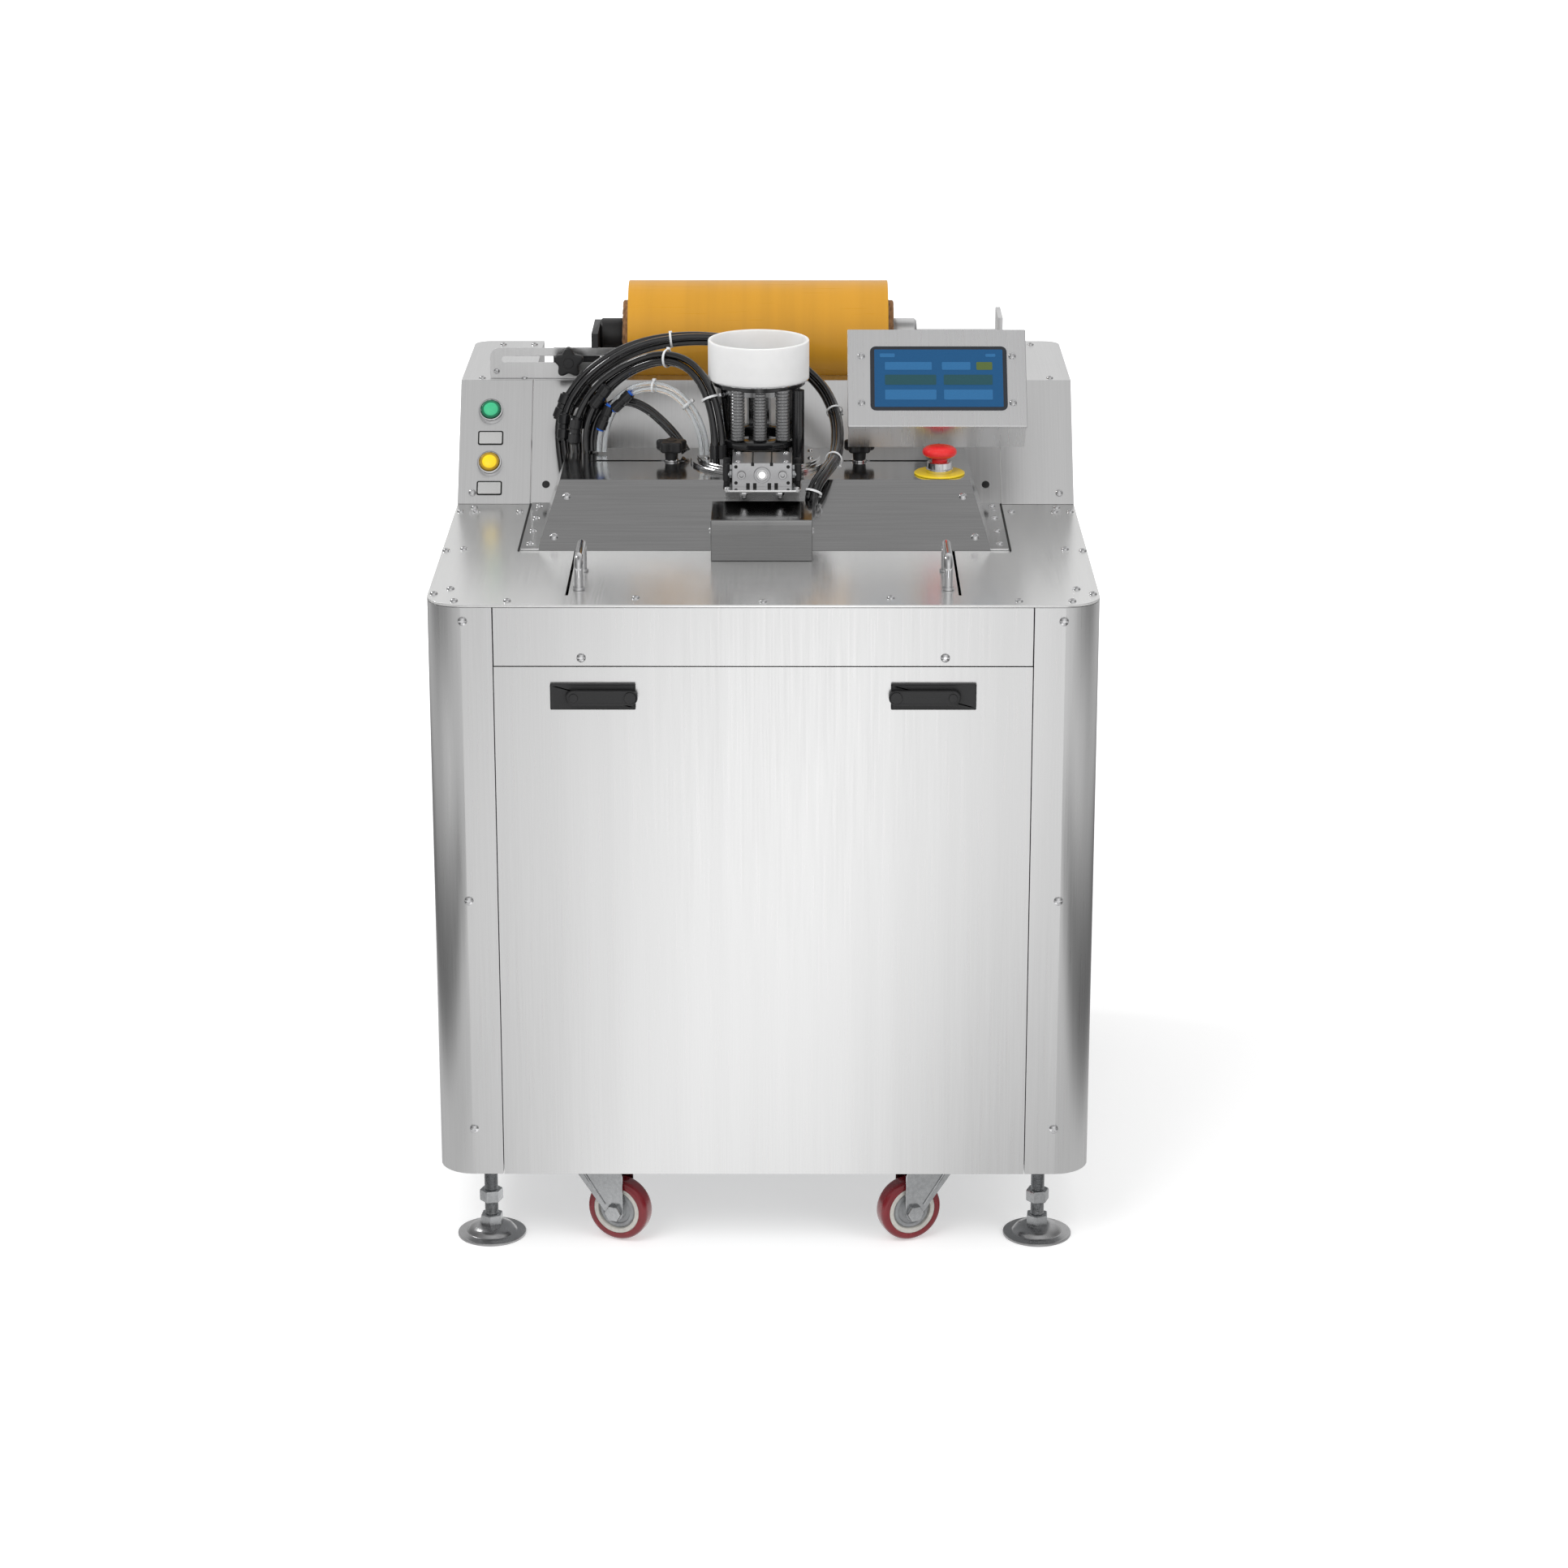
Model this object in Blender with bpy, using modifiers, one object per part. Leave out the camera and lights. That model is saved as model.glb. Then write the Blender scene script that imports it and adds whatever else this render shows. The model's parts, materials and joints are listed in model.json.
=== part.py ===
"""Single-fruit film wrapping machine: a stainless cabinet on feet and casters, with a wrapping head,
a feed cup, a film roll and a control screen on its deck.

Lengths are metres. The origin is on the floor under the middle of the machine, +Z is up, the operator
stands at -Y, and +X is the operator's right. Depths run back from the front panel, heights on deck
run up from the deck's top face.
"""

import math

import bmesh
import bpy
from mathutils import Matrix, Vector

# ---- driving dimensions -------------------------------------------------------------------------
CABINET_WIDTH = 0.750
CABINET_DEPTH = 0.800
DECK_TOP = 0.782
CABINET_BOTTOM = 0.101
CORNER_RADIUS = 0.040
SHEET = 0.0015          # body panels
DECK_SHEET = 0.003
GAP = 0.0003            # between pieces that touch
SEAM = 0.001            # shadow line between neighbouring panels
FRONT_PANEL_HALF = 0.300
FASCIA_HEIGHT = 0.071    # from the deck's top face down to the door
TUBE = 0.030            # square tube of the welded frame
RAIL_SETBACK = 0.026    # front panels' folded depth, up to the frame
BASE_PLATE = 0.004
SHELF_DROP = 0.137      # mechanism shelf below the deck's top face
SHELF_SHEET = 0.006
SHELF_DEPTHS = (0.300, 0.560)
SHELF_HOLES = (0.030, 0.012)    # radius of the plunger rod's hole and of the motor shaft's
DECK_WINDOW = ((-0.200, 0.262), (0.200, 0.436))
DECK_SLOT_X = 0.2195
DECK_SLOT_DEPTHS = (0.040, 0.242)
DECK_SLOT_HALF = 0.0015
VENT_BANKS = (0.190, 0.600)
VENT_ROWS = 6
VENT_PITCH = 0.016
VENT_HALF = 0.080
VENT_HEIGHT = 0.006

DOOR_FOLD = 0.018
DOOR_PIN = 0.003
DOOR_PIVOT_DEPTH = 0.010
DOOR_PIVOT_HEIGHT = 0.011   # above the cabinet's lower edge

LATCH_STAND_OFF = 0.010
LATCH_PLATE = (0.095, 0.030, 0.004)
LATCH_X = 0.1895
LATCH_DROP = 0.034      # below the door's upper edge
LEVER_LENGTH = 0.080
LEVER_WIDTH = 0.017
LEVER_INNER_X = 0.1395

FOOT_X = 0.320
FOOT_DEPTH = 0.060
FOOT_RADIUS = 0.040
STEM_RADIUS = 0.008
STEM_CLEARANCE = 0.0005
NUT_RADIUS = 0.0135
LOCK_NUT = (0.042, 0.057)    # heights of its faces
FOOT_NUT = (0.012, 0.026)
FOOT_FLANGE = ((0.034, 0.006), (FOOT_RADIUS, 0.003))    # radius and height along its dome
BOSS_HEIGHT = 0.030

CASTER_X = 0.187
CASTER_DEPTH = 0.055
WHEEL_RADIUS = 0.0375
WHEEL_WIDTH = 0.024
WHEEL_LIFT = 0.0012     # the feet carry the load
CASTER_TRAIL = 0.020
CASTER_YAW = math.radians(22)
AXLE_RADIUS = 0.004
FORK_SHEET = 0.0025
FORK_CLEARANCE = 0.0025
KING_RADIUS = 0.019
CROWN_DROP = 0.012      # the fork's crown below the base plate
CROWN_X = (-0.030, 0.026)    # the crown's reach ahead of and behind the king pin
LEG_RADIUS = 0.011      # of a fork leg's end round the axle
CASTER_PLATE = (0.036, 0.030, 0.003)    # half width, half depth and thickness
WHEEL_EDGE = (0.003, 0.004)    # bevel of the tread, across and along
WHEEL_BOSS = 0.012

HOOD_BASE_HALF = 0.264
HOOD_TOP_HALF = 0.242
HOOD_FLANGE_HALF = 0.284
HOOD_FRONT = 0.237
HOOD_TOP_FRONT = 0.329
HOOD_TOP_REAR = 0.494
HOOD_HEIGHT = 0.063
HOOD_SLOT = (0.094, 0.209)
HOOD_SLOT_WIDTH = 0.008
HOOD_SLOT_DEPTH = 0.425
HOOD_FLANGE_SHEET = 0.002
HOOD_KNOB_X = 0.113
HOSE_NOTCH = ((-0.275, 0.464, 0.028), (-0.208, 0.520, 0.080))
GUIDE_SHOE = (0.014, 0.020, 0.008)      # half width, half length and thickness
GUIDE_WING = (0.001, 0.018, 0.040)

CONSOLE_FRONT = 0.462
CONSOLE_TOP_FRONT = 0.560
CONSOLE_HEIGHT = 0.133
CONSOLE_INNER = 0.287
CONSOLE_CORNER = 0.020
PANEL_FLANGE = 0.030
FILM_SLOT_HALF = 0.175
FILM_SLOT_HEIGHT = 0.014    # the film passes under the centre panel

HOPPER_X = -0.008
HOPPER_DEPTH = 0.424
HOPPER_BORE = 0.0425
HOPPER_RADIUS = 0.050
HOPPER_HEIGHT = 0.164   # top of the housing above the deck
HOPPER_RIM = (0.0555, 0.006)    # radius and height
HOPPER_FLANGES = (0.082, 0.074)
HOPPER_STEP = 0.004
HOPPER_WINDOW_HALF = 0.036
CUP_RADIUS = 0.0605
CUP_WALL = 0.004
CUP_HEIGHT = 0.048

CYLINDER_X = -0.003
CYLINDER_SIZE = (0.070, 0.058, 0.028)
CYLINDER_FRONT = 0.280
CYLINDER_PLATE = (0.091, 0.078, 0.003)
GUIDE_ROD_X = 0.024
GUIDE_ROD_RADIUS = 0.004

CHUTE_HALF = 0.0585
CHUTE_FRONT = 0.189
CHUTE_REAR = 0.280
CHUTE_HEIGHT = 0.049

ROLL_X = -0.010
ROLL_CLEARANCE = 0.001  # from the centre panel's flange
ROLL_Z = 0.170
ROLL_RADIUS = 0.0695
ROLL_LENGTH = 0.322
CORE_RADIUS = 0.045
CORE_BORE = 0.038
CORE_LENGTH = 0.337
CHUCK_RADIUS = 0.0374
CHUCK_LENGTH = 0.025
HUB_RADIUS = 0.0225
HUB_LENGTH = 0.028

SLIDE_X = (-0.340, -0.172)
SLIDE_DEPTH = 0.570
SLIDE_TOP = 0.171
SLIDE_SLOT = (-0.326, -0.185)
SLIDE_SLOT_Z = 0.157
SLIDE_KNOB_X = -0.242
STUD_RADIUS = 0.003

IDLER_RADIUS = 0.015
IDLER_DEPTH = 0.612
IDLER_Z = 0.040
IDLER_SHAFT = 0.005

SCREEN_X = (0.098, 0.311)
SCREEN_DEPTH = 0.360             # of the face's lower edge
SCREEN_LIFT = 0.057              # of that edge above the hood
SCREEN_LENGTH = 0.1306
SCREEN_THICKNESS = 0.055
SCREEN_TILT = math.radians(40)
PIVOT_X = 0.205
PIVOT_ALONG = 0.0435             # from the case's lower back edge, up along its back
PIVOT_BEHIND = 0.018
KNUCKLE_LENGTH = 0.030
KNUCKLE_RADIUS = 0.009
PIVOT_PIN = 0.0035

ESTOP_X = 0.207
ESTOP_DEPTH = 0.360
BUTTON_X = -0.337
START_Z = 0.098
RESET_Z = 0.042
BEZEL_RADIUS = 0.015
BEZEL_HEIGHT = 0.009
CAP_RADIUS = 0.0118

HANDLE_X = 0.207
HANDLE_DEPTHS = (0.065, 0.145)
HANDLE_HEIGHT = 0.040
HANDLE_BAR = 0.0053
HANDLE_BEND = 0.012

STAR_RADIUS = 0.019
STAR_LOBES = 5
STAR_HEIGHT = 0.013
KNOB_NECK = 0.0075
KNOB_NECK_HEIGHT = 0.012

LIFT_SIDE = 0.050
LIFT_LENGTH = 0.126
ROD_RADIUS = 0.006
PLUNGER_RADIUS = 0.038
PLUNGER_TOP = 0.020
PLUNGER_THICK = 0.010
ROTOR_BORE = 0.0432
SPIGOT_RADIUS = 0.0422
ROTOR_HUB = 0.052
ROTOR_PULLEY = 0.075
MOTOR_X = -0.208
MOTOR_SIDE = 0.080
MOTOR_LENGTH = 0.100
MOTOR_PULLEY = 0.025
BELT_DROPS = (0.092, 0.070)   # the belt's lower and upper edge, below the deck's top face
ROTOR_DROP = 0.037
GEAR_BOX_X = (0.040, 0.320)
GEAR_BOX_DEPTHS = (0.500, 0.700)
GEAR_BOX_HEIGHT = 0.350
GEAR_BOX_WALL = 0.0015
CABLE_ENTRY = 0.020

# ---- places worked out from the sizes ------------------------------------------------------------
FRONT_Y = -(CABINET_DEPTH - LATCH_STAND_OFF) / 2
REAR_Y = FRONT_Y + CABINET_DEPTH
HALF_WIDTH = CABINET_WIDTH / 2
SKIN_INNER = HALF_WIDTH - SHEET
FRAME_HALF = SKIN_INNER - GAP
FRAME_INNER = FRAME_HALF - TUBE
BASE_Z = CABINET_BOTTOM + 0.005
DECK_UNDER = DECK_TOP - DECK_SHEET
SHELF_TOP = DECK_TOP - SHELF_DROP
FASCIA_BOTTOM = DECK_TOP - FASCIA_HEIGHT
LATCH_Z = FASCIA_BOTTOM - LATCH_DROP
BELT_Z = tuple(DECK_TOP - drop for drop in BELT_DROPS)
ROTOR_TOP = DECK_TOP - ROTOR_DROP
ROLL_DEPTH = CONSOLE_TOP_FRONT + PANEL_FLANGE + math.sqrt(
    (ROLL_RADIUS + ROLL_CLEARANCE) ** 2 - (ROLL_Z - CONSOLE_HEIGHT) ** 2)
SCREEN_FRONT = (SCREEN_DEPTH, HOOD_HEIGHT + SCREEN_LIFT)    # depth and height of the face's lower edge
DOOR_PIVOT = (FRONT_Y + DOOR_PIVOT_DEPTH, CABINET_BOTTOM + DOOR_PIVOT_HEIGHT)   # its Y and Z
SIDES = {"left": -1, "right": 1}
ENDS = {"front": 1, "rear": -1}
CONSOLE_SLOPE = math.atan2(CONSOLE_HEIGHT, CONSOLE_TOP_FRONT - CONSOLE_FRONT)

ALONG_X = Matrix(((0, 0, 1, 0), (1, 0, 0, 0), (0, 1, 0, 0), (0, 0, 0, 1)))   # outline in Y and Z
ALONG_Y = Matrix(((1, 0, 0, 0), (0, 0, -1, 0), (0, 1, 0, 0), (0, 0, 0, 1)))  # outline in X and Z

# Hose routes: across, depth and height on deck. Their points are chosen by hand.
FRONT_HOSES = (
    (-0.2200, 0.450, 0.0005), (-0.2200, 0.450, 0.010), (-0.2205, 0.464, 0.026), (-0.2215, 0.473, 0.044),
    (-0.2225, 0.478, 0.066), (-0.2220, 0.479, 0.088), (-0.2160, 0.477, 0.110), (-0.2050, 0.473, 0.131),
    (-0.1900, 0.468, 0.149), (-0.1720, 0.461, 0.164), (-0.1520, 0.452, 0.176), (-0.1310, 0.443, 0.184),
    (-0.1110, 0.433, 0.186), (-0.0925, 0.422, 0.181), (-0.0780, 0.411, 0.169), (-0.0675, 0.401, 0.152),
    (-0.0610, 0.393, 0.132), (-0.0575, 0.388, 0.112), (-0.0560, 0.384, 0.092), (-0.0560, 0.384, 0.0717),
)
REAR_HOSES = (
    (-0.2390, 0.449, 0.0005), (-0.2390, 0.449, 0.009), (-0.2405, 0.464, 0.024), (-0.2435, 0.478, 0.043),
    (-0.2465, 0.490, 0.066), (-0.2470, 0.498, 0.088), (-0.2420, 0.503, 0.110), (-0.2310, 0.506, 0.130),
    (-0.2160, 0.507, 0.148), (-0.1960, 0.508, 0.164), (-0.1720, 0.509, 0.178), (-0.1450, 0.510, 0.188),
    (-0.1150, 0.510, 0.194), (-0.0830, 0.510, 0.196), (-0.0500, 0.509, 0.194), (-0.0190, 0.506, 0.189),
    (0.0100, 0.501, 0.181), (0.0350, 0.493, 0.170), (0.0550, 0.481, 0.157), (0.0710, 0.465, 0.142),
    (0.0810, 0.446, 0.126), (0.0860, 0.424, 0.111), (0.0868, 0.401, 0.098), (0.0855, 0.378, 0.088),
    (0.0815, 0.356, 0.081), (0.0760, 0.335, 0.078), (0.0690, 0.314, 0.0735), (0.0620, 0.2990, 0.0665),
    (0.0572, 0.2905, 0.0570), (0.0553, 0.2889, 0.0476), (0.0550, 0.2940, 0.0401),
)
FRONT_HOSE_RADIUS = 0.008
REAR_HOSE_RADIUS = 0.007

FINISHES = {
    "stainless_panel": ((0.72, 0.72, 0.72), 0.34, 1.0),
    "polished_stainless": ((0.75, 0.75, 0.75), 0.16, 1.0),
    "frame_steel": ((0.45, 0.46, 0.47), 0.5, 1.0),
    "chrome": ((0.8, 0.8, 0.8), 0.08, 1.0),
    "zinc": ((0.62, 0.63, 0.64), 0.32, 1.0),
    "aluminium": ((0.66, 0.66, 0.67), 0.4, 1.0),
    "black_plastic": ((0.015, 0.015, 0.016), 0.4, 0.0),
    "black_hose": ((0.01, 0.01, 0.011), 0.2, 0.0),
    "white_nylon": ((0.85, 0.85, 0.84), 0.4, 0.0),
    "red_tread": ((0.22, 0.01, 0.02), 0.35, 0.0),
    "amber_film": ((0.65, 0.33, 0.03), 0.3, 0.0),
    "cardboard": ((0.35, 0.2, 0.1), 0.85, 0.0),
    "grey_case": ((0.6, 0.6, 0.61), 0.35, 0.8),
    "yellow_plate": ((0.9, 0.7, 0.03), 0.4, 0.0),
    "red_plastic": ((0.75, 0.03, 0.03), 0.3, 0.0),
    "green_cap": ((0.07, 0.5, 0.22), 0.3, 0.0),
    "yellow_cap": ((0.95, 0.68, 0.02), 0.3, 0.0),
    "motor_black": ((0.03, 0.03, 0.035), 0.5, 0.2),
    "cabinet_grey": ((0.5, 0.51, 0.5), 0.5, 0.0),
}


# ---- helpers ------------------------------------------------------------------------------------
def depth(value):
    """The Y of a depth behind the front panel."""
    return FRONT_Y + value


def on_deck(x, depth_value, height):
    """The place of a point given across, by depth and by height on deck."""
    return Vector((x, depth(depth_value), DECK_TOP + height))


def start_scene():
    """Empties the scene and makes the collections for the machine and for its cutters."""
    for old in list(bpy.data.objects):
        bpy.data.objects.remove(old, do_unlink=True)
    made = []
    for name in ("fruit_wrapping_machine", "cutters"):
        collection = bpy.data.collections.new(name)
        bpy.context.scene.collection.children.link(collection)
        made.append(collection)
    return made


MACHINE, CUTTERS = start_scene()


def finish_of(name):
    """The named Principled material."""
    found = bpy.data.materials.get(name)
    if found:
        return found
    colour, roughness, metallic = FINISHES[name]
    made = bpy.data.materials.new(name)
    made.use_nodes = True
    shader = made.node_tree.nodes["Principled BSDF"]
    shader.inputs["Base Color"].default_value = (*colour, 1.0)
    shader.inputs["Roughness"].default_value = roughness
    shader.inputs["Metallic"].default_value = metallic
    return made


def add(name, mesh, finish=None, smooth=False):
    """An object of this mesh: a piece of the machine with a finish, or else a helper for a Boolean."""
    obj = bpy.data.objects.new(name, mesh)
    if finish:
        MACHINE.objects.link(obj)
        obj.data.materials.append(finish_of(finish))
    else:
        CUTTERS.objects.link(obj)
        obj.hide_render = True
        obj.display_type = "WIRE"
    if smooth:
        mesh.shade_smooth()
        mesh.set_sharp_from_angle(angle=math.radians(35))
    return obj


def mesh_from(name, bm):
    """The bmesh as a mesh with its faces pointing out."""
    bmesh.ops.recalc_face_normals(bm, faces=bm.faces)
    mesh = bpy.data.meshes.new(name)
    bm.to_mesh(mesh)
    bm.free()
    return mesh


def box(name, low, high, finish=None, edge=0.0):
    """A box between two corners, its edges broken by a small bevel if given."""
    bm = bmesh.new()
    bmesh.ops.create_cube(bm, size=1.0)
    bmesh.ops.scale(bm, vec=[b - a for a, b in zip(low, high)], verts=bm.verts)
    bmesh.ops.translate(bm, vec=[(a + b) / 2 for a, b in zip(low, high)], verts=bm.verts)
    if edge:
        bmesh.ops.bevel(bm, geom=bm.edges[:], offset=edge, affect="EDGES", segments=1, profile=0.5)
    return add(name, mesh_from(name, bm), finish)


def towards(start, direction):
    """The matrix that puts the origin at start and turns +Z to the direction."""
    turn = Vector(direction).to_track_quat("Z", "Y").to_matrix().to_4x4()
    return Matrix.Translation(start) @ turn


def rod(name, start, end, radius, finish=None, sides=24):
    """A round bar from start to end."""
    start, end = Vector(start), Vector(end)
    length = (end - start).length
    bm = bmesh.new()
    bmesh.ops.create_cone(
        bm, cap_ends=True, segments=sides, radius1=radius, radius2=radius, depth=length,
        matrix=towards(start, end - start) @ Matrix.Translation((0, 0, length / 2)),
    )
    return add(name, mesh_from(name, bm), finish, smooth=bool(finish))


def turned(name, profile, frame, finish=None, steps=32, closed=False):
    """A turned piece. Its profile holds radius and height, from the top down the outer side."""
    mesh = bpy.data.meshes.new(name)
    count = len(profile)
    edges = [(i, (i + 1) % count) for i in range(count if closed else count - 1)]
    mesh.from_pydata([(r, 0.0, z) for r, z in profile], edges, [])
    obj = add(name, mesh, finish)
    obj.matrix_world = frame
    screw = obj.modifiers.new("turn", "SCREW")
    screw.axis = "Z"
    screw.steps = screw.render_steps = steps
    screw.use_merge_vertices = True
    screw.merge_threshold = 0.00001
    screw.use_smooth_shade = bool(finish)
    return obj


def plate_mesh(name, outline, thickness, frame, holes=()):
    """A flat outline with holes, thickened evenly to both sides of its plane."""
    curve = bpy.data.curves.new(name, "CURVE")
    curve.dimensions = "2D"
    curve.fill_mode = "BOTH"
    curve.extrude = thickness / 2
    for ring in (outline, *holes):
        spline = curve.splines.new("POLY")
        spline.points.add(len(ring) - 1)
        for point, (u, v) in zip(spline.points, ring):
            point.co = (u, v, 0.0, 1.0)
        spline.use_cyclic_u = True
    sketch = bpy.data.objects.new(name + "_sketch", curve)
    CUTTERS.objects.link(sketch)
    graph = bpy.context.evaluated_depsgraph_get()
    mesh = bpy.data.meshes.new_from_object(sketch.evaluated_get(graph))
    bpy.data.objects.remove(sketch)
    bpy.data.curves.remove(curve)
    bm = bmesh.new()
    bm.from_mesh(mesh)
    bpy.data.meshes.remove(mesh)
    bmesh.ops.remove_doubles(bm, verts=bm.verts, dist=0.000002)
    bmesh.ops.transform(bm, matrix=frame, verts=bm.verts)
    return mesh_from(name, bm)


def plate(name, outline, thickness, frame, finish=None, holes=()):
    """A plate as an object."""
    return add(name, plate_mesh(name, outline, thickness, frame, holes), finish)


def tube(name, points, radius, finish, resolution=2):
    """A round bar or hose along a route."""
    curve = bpy.data.curves.new(name, "CURVE")
    curve.dimensions = "3D"
    curve.bevel_depth = radius
    curve.bevel_resolution = resolution
    curve.use_fill_caps = True
    spline = curve.splines.new("POLY")
    spline.points.add(len(points) - 1)
    for point, place in zip(spline.points, points):
        point.co = (*place, 1.0)
    obj = bpy.data.objects.new(name, curve)
    MACHINE.objects.link(obj)
    curve.materials.append(finish_of(finish))
    return obj


def arc(centre, radius, start, end, steps):
    """Points along an arc, its angles in degrees."""
    made = []
    for i in range(steps + 1):
        angle = math.radians(start + (end - start) * i / steps)
        made.append((centre[0] + radius * math.cos(angle), centre[1] + radius * math.sin(angle)))
    return made


def rounded(low, high, radius, steps=4):
    """The outline of a rectangle with round corners."""
    corners = ((high[0], high[1], 0), (low[0], high[1], 90), (low[0], low[1], 180), (high[0], low[1], 270))
    points = []
    for x, y, start in corners:
        centre = (x - math.copysign(radius, x - (low[0] + high[0]) / 2),
                  y - math.copysign(radius, y - (low[1] + high[1]) / 2))
        points += arc(centre, radius, start, start + 90, steps)
    return points


def rectangle(low, high):
    """The outline of a plain rectangle."""
    return [(low[0], low[1]), (high[0], low[1]), (high[0], high[1]), (low[0], high[1])]


def star(radius, lobes, steps=25, wave=0.13):
    """The outline of a lobed knob."""
    points = []
    for i in range(steps):
        angle = 2 * math.pi * i / steps
        reach = radius * (1 - wave + wave * math.cos(lobes * angle))
        points.append((reach * math.sin(angle), reach * math.cos(angle)))
    return points[::-1]


def combine(obj, operation, others):
    """Joins or cuts the object with each of the others, which become hidden helpers."""
    for other in others:
        change = obj.modifiers.new(operation.lower(), "BOOLEAN")
        change.operation = operation
        change.object = other
    return obj


def join(obj, *others):
    """Welds the others onto the object."""
    return combine(obj, "UNION", others)


def cut(obj, *others):
    """Takes the others out of the object."""
    return combine(obj, "DIFFERENCE", others)


def pivot_at(obj, point):
    """Moves a mesh object's origin to its joint."""
    point = Vector(point)
    obj.data.transform(Matrix.Translation(-point))
    obj.location = point
    return obj


def pan(name, low, high, wall, finish, open_side):
    """A folded sheet tray: a box without the face that looks along open_side, folded from sheet."""
    bm = bmesh.new()
    bmesh.ops.create_cube(bm, size=1.0)
    bmesh.ops.scale(bm, vec=[b - a for a, b in zip(low, high)], verts=bm.verts)
    bmesh.ops.translate(bm, vec=[(a + b) / 2 for a, b in zip(low, high)], verts=bm.verts)
    bmesh.ops.recalc_face_normals(bm, faces=bm.faces)
    away = Vector(open_side)
    bmesh.ops.delete(bm, geom=[f for f in bm.faces if f.normal.dot(away) > 0.9], context="FACES_ONLY")
    mesh = bpy.data.meshes.new(name)
    bm.to_mesh(mesh)
    bm.free()
    obj = add(name, mesh, finish)
    thicken(obj, wall)
    return obj


def thicken(obj, wall):
    """Gives an open surface a wall on its inner side."""
    solid = obj.modifiers.new("wall", "SOLIDIFY")
    solid.thickness = wall
    solid.offset = -1.0
    solid.use_even_offset = True
    return obj


def slope_depth(height):
    """The depth of the console's sloped front at a height on deck."""
    return CONSOLE_FRONT + (CONSOLE_TOP_FRONT - CONSOLE_FRONT) * height / CONSOLE_HEIGHT


def slope_frame(x, height, lift=0.0):
    """A frame on the console's sloped front: its Z looks out of the slope, its Y looks up along it."""
    out = Vector((0, -math.sin(CONSOLE_SLOPE), math.cos(CONSOLE_SLOPE)))
    up = Vector((0, math.cos(CONSOLE_SLOPE), math.sin(CONSOLE_SLOPE)))
    across = up.cross(out)
    place = on_deck(x, slope_depth(height), height) + out * lift
    return Matrix.Translation(place) @ Matrix((across, up, out)).transposed().to_4x4()


# ---- cabinet ------------------------------------------------------------------------------------
def cabinet_frame():
    """The welded frame: a base plate, square tubes and the mechanism shelf."""
    low_y, high_y = depth(RAIL_SETBACK), depth(CABINET_DEPTH - RAIL_SETBACK)
    post_y = (depth(CORNER_RADIUS + 0.001), depth(CABINET_DEPTH - CORNER_RADIUS - 0.001))
    base = rounded((-FRAME_HALF, low_y), (FRAME_HALF, high_y), CORNER_RADIUS - 0.004)
    frame = plate("cabinet_frame", base, BASE_PLATE,
                  Matrix.Translation((0, 0, BASE_Z + BASE_PLATE / 2)), "frame_steel")
    foot_z = BASE_Z + BASE_PLATE - 0.0005
    side_low, side_high = (post_y[0], foot_z), (post_y[1], DECK_UNDER - 2 * GAP)
    shelf_z = SHELF_TOP - SHELF_SHEET
    windows = (
        rectangle((side_low[0] + TUBE, foot_z + TUBE), (side_high[0] - TUBE, shelf_z + 0.001 - TUBE)),
        rectangle((side_low[0] + TUBE, shelf_z + 0.001), (side_high[0] - TUBE, side_high[1] - TUBE)),
    )
    parts = []
    for side, sign in SIDES.items():
        middle = sign * (FRAME_HALF - TUBE / 2)
        parts.append(plate("side_tubes_" + side, rectangle(side_low, side_high), TUBE,
                           Matrix.Translation((middle, 0, 0)) @ ALONG_X, holes=windows))
    rail_half = HALF_WIDTH - 0.016
    for end, sign in ENDS.items():
        near = low_y if sign > 0 else high_y - TUBE
        for level, z in (("base", foot_z), ("top", side_high[1] - 0.001 - TUBE)):
            parts.append(box(f"{level}_rail_{end}", (-rail_half, near, z),
                             (rail_half, near + TUBE, z + TUBE)))
    parts.append(box("shelf", (-FRAME_INNER - 0.01, depth(SHELF_DEPTHS[0]), shelf_z),
                     (FRAME_INNER + 0.01, depth(SHELF_DEPTHS[1]), SHELF_TOP)))
    parts.append(rod("spigot", (HOPPER_X, depth(HOPPER_DEPTH), SHELF_TOP - 0.001),
                     (HOPPER_X, depth(HOPPER_DEPTH), SHELF_TOP + 0.020), SPIGOT_RADIUS, sides=32))
    for name, x, y in foot_places():
        parts.append(rod("boss_" + name, (x, y, BASE_Z + 0.001), (x, y, BASE_Z + BOSS_HEIGHT),
                         2 * STEM_RADIUS,
                         sides=16))
    for name, x, y in caster_places():
        parts.append(box("plate_" + name, (x - CASTER_PLATE[0], y - CASTER_PLATE[1],
                                           BASE_Z - CASTER_PLATE[2]),
                         (x + CASTER_PLATE[0], y + CASTER_PLATE[1], BASE_Z + 0.001)))
    join(frame, *parts)
    holes = [
        rod("rod_hole", (HOPPER_X, depth(HOPPER_DEPTH), shelf_z - 0.01),
            (HOPPER_X, depth(HOPPER_DEPTH), SHELF_TOP + 0.03), SHELF_HOLES[0], sides=24),
        rod("shaft_hole", (MOTOR_X, depth(HOPPER_DEPTH), shelf_z - 0.01),
            (MOTOR_X, depth(HOPPER_DEPTH), SHELF_TOP + 0.01), SHELF_HOLES[1], sides=16),
    ]
    for name, x, y in foot_places():
        holes.append(rod("stem_hole_" + name, (x, y, BASE_Z - 0.01), (x, y, BASE_Z + 0.026),
                         STEM_RADIUS + STEM_CLEARANCE, sides=16))
    cut(frame, *holes)


def foot_places():
    """Name, X and Y of each levelling foot."""
    for side, x_sign in SIDES.items():
        for end, near in (("front", depth(FOOT_DEPTH)), ("rear", depth(CABINET_DEPTH - FOOT_DEPTH))):
            yield f"{end}_{side}", x_sign * FOOT_X, near


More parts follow.
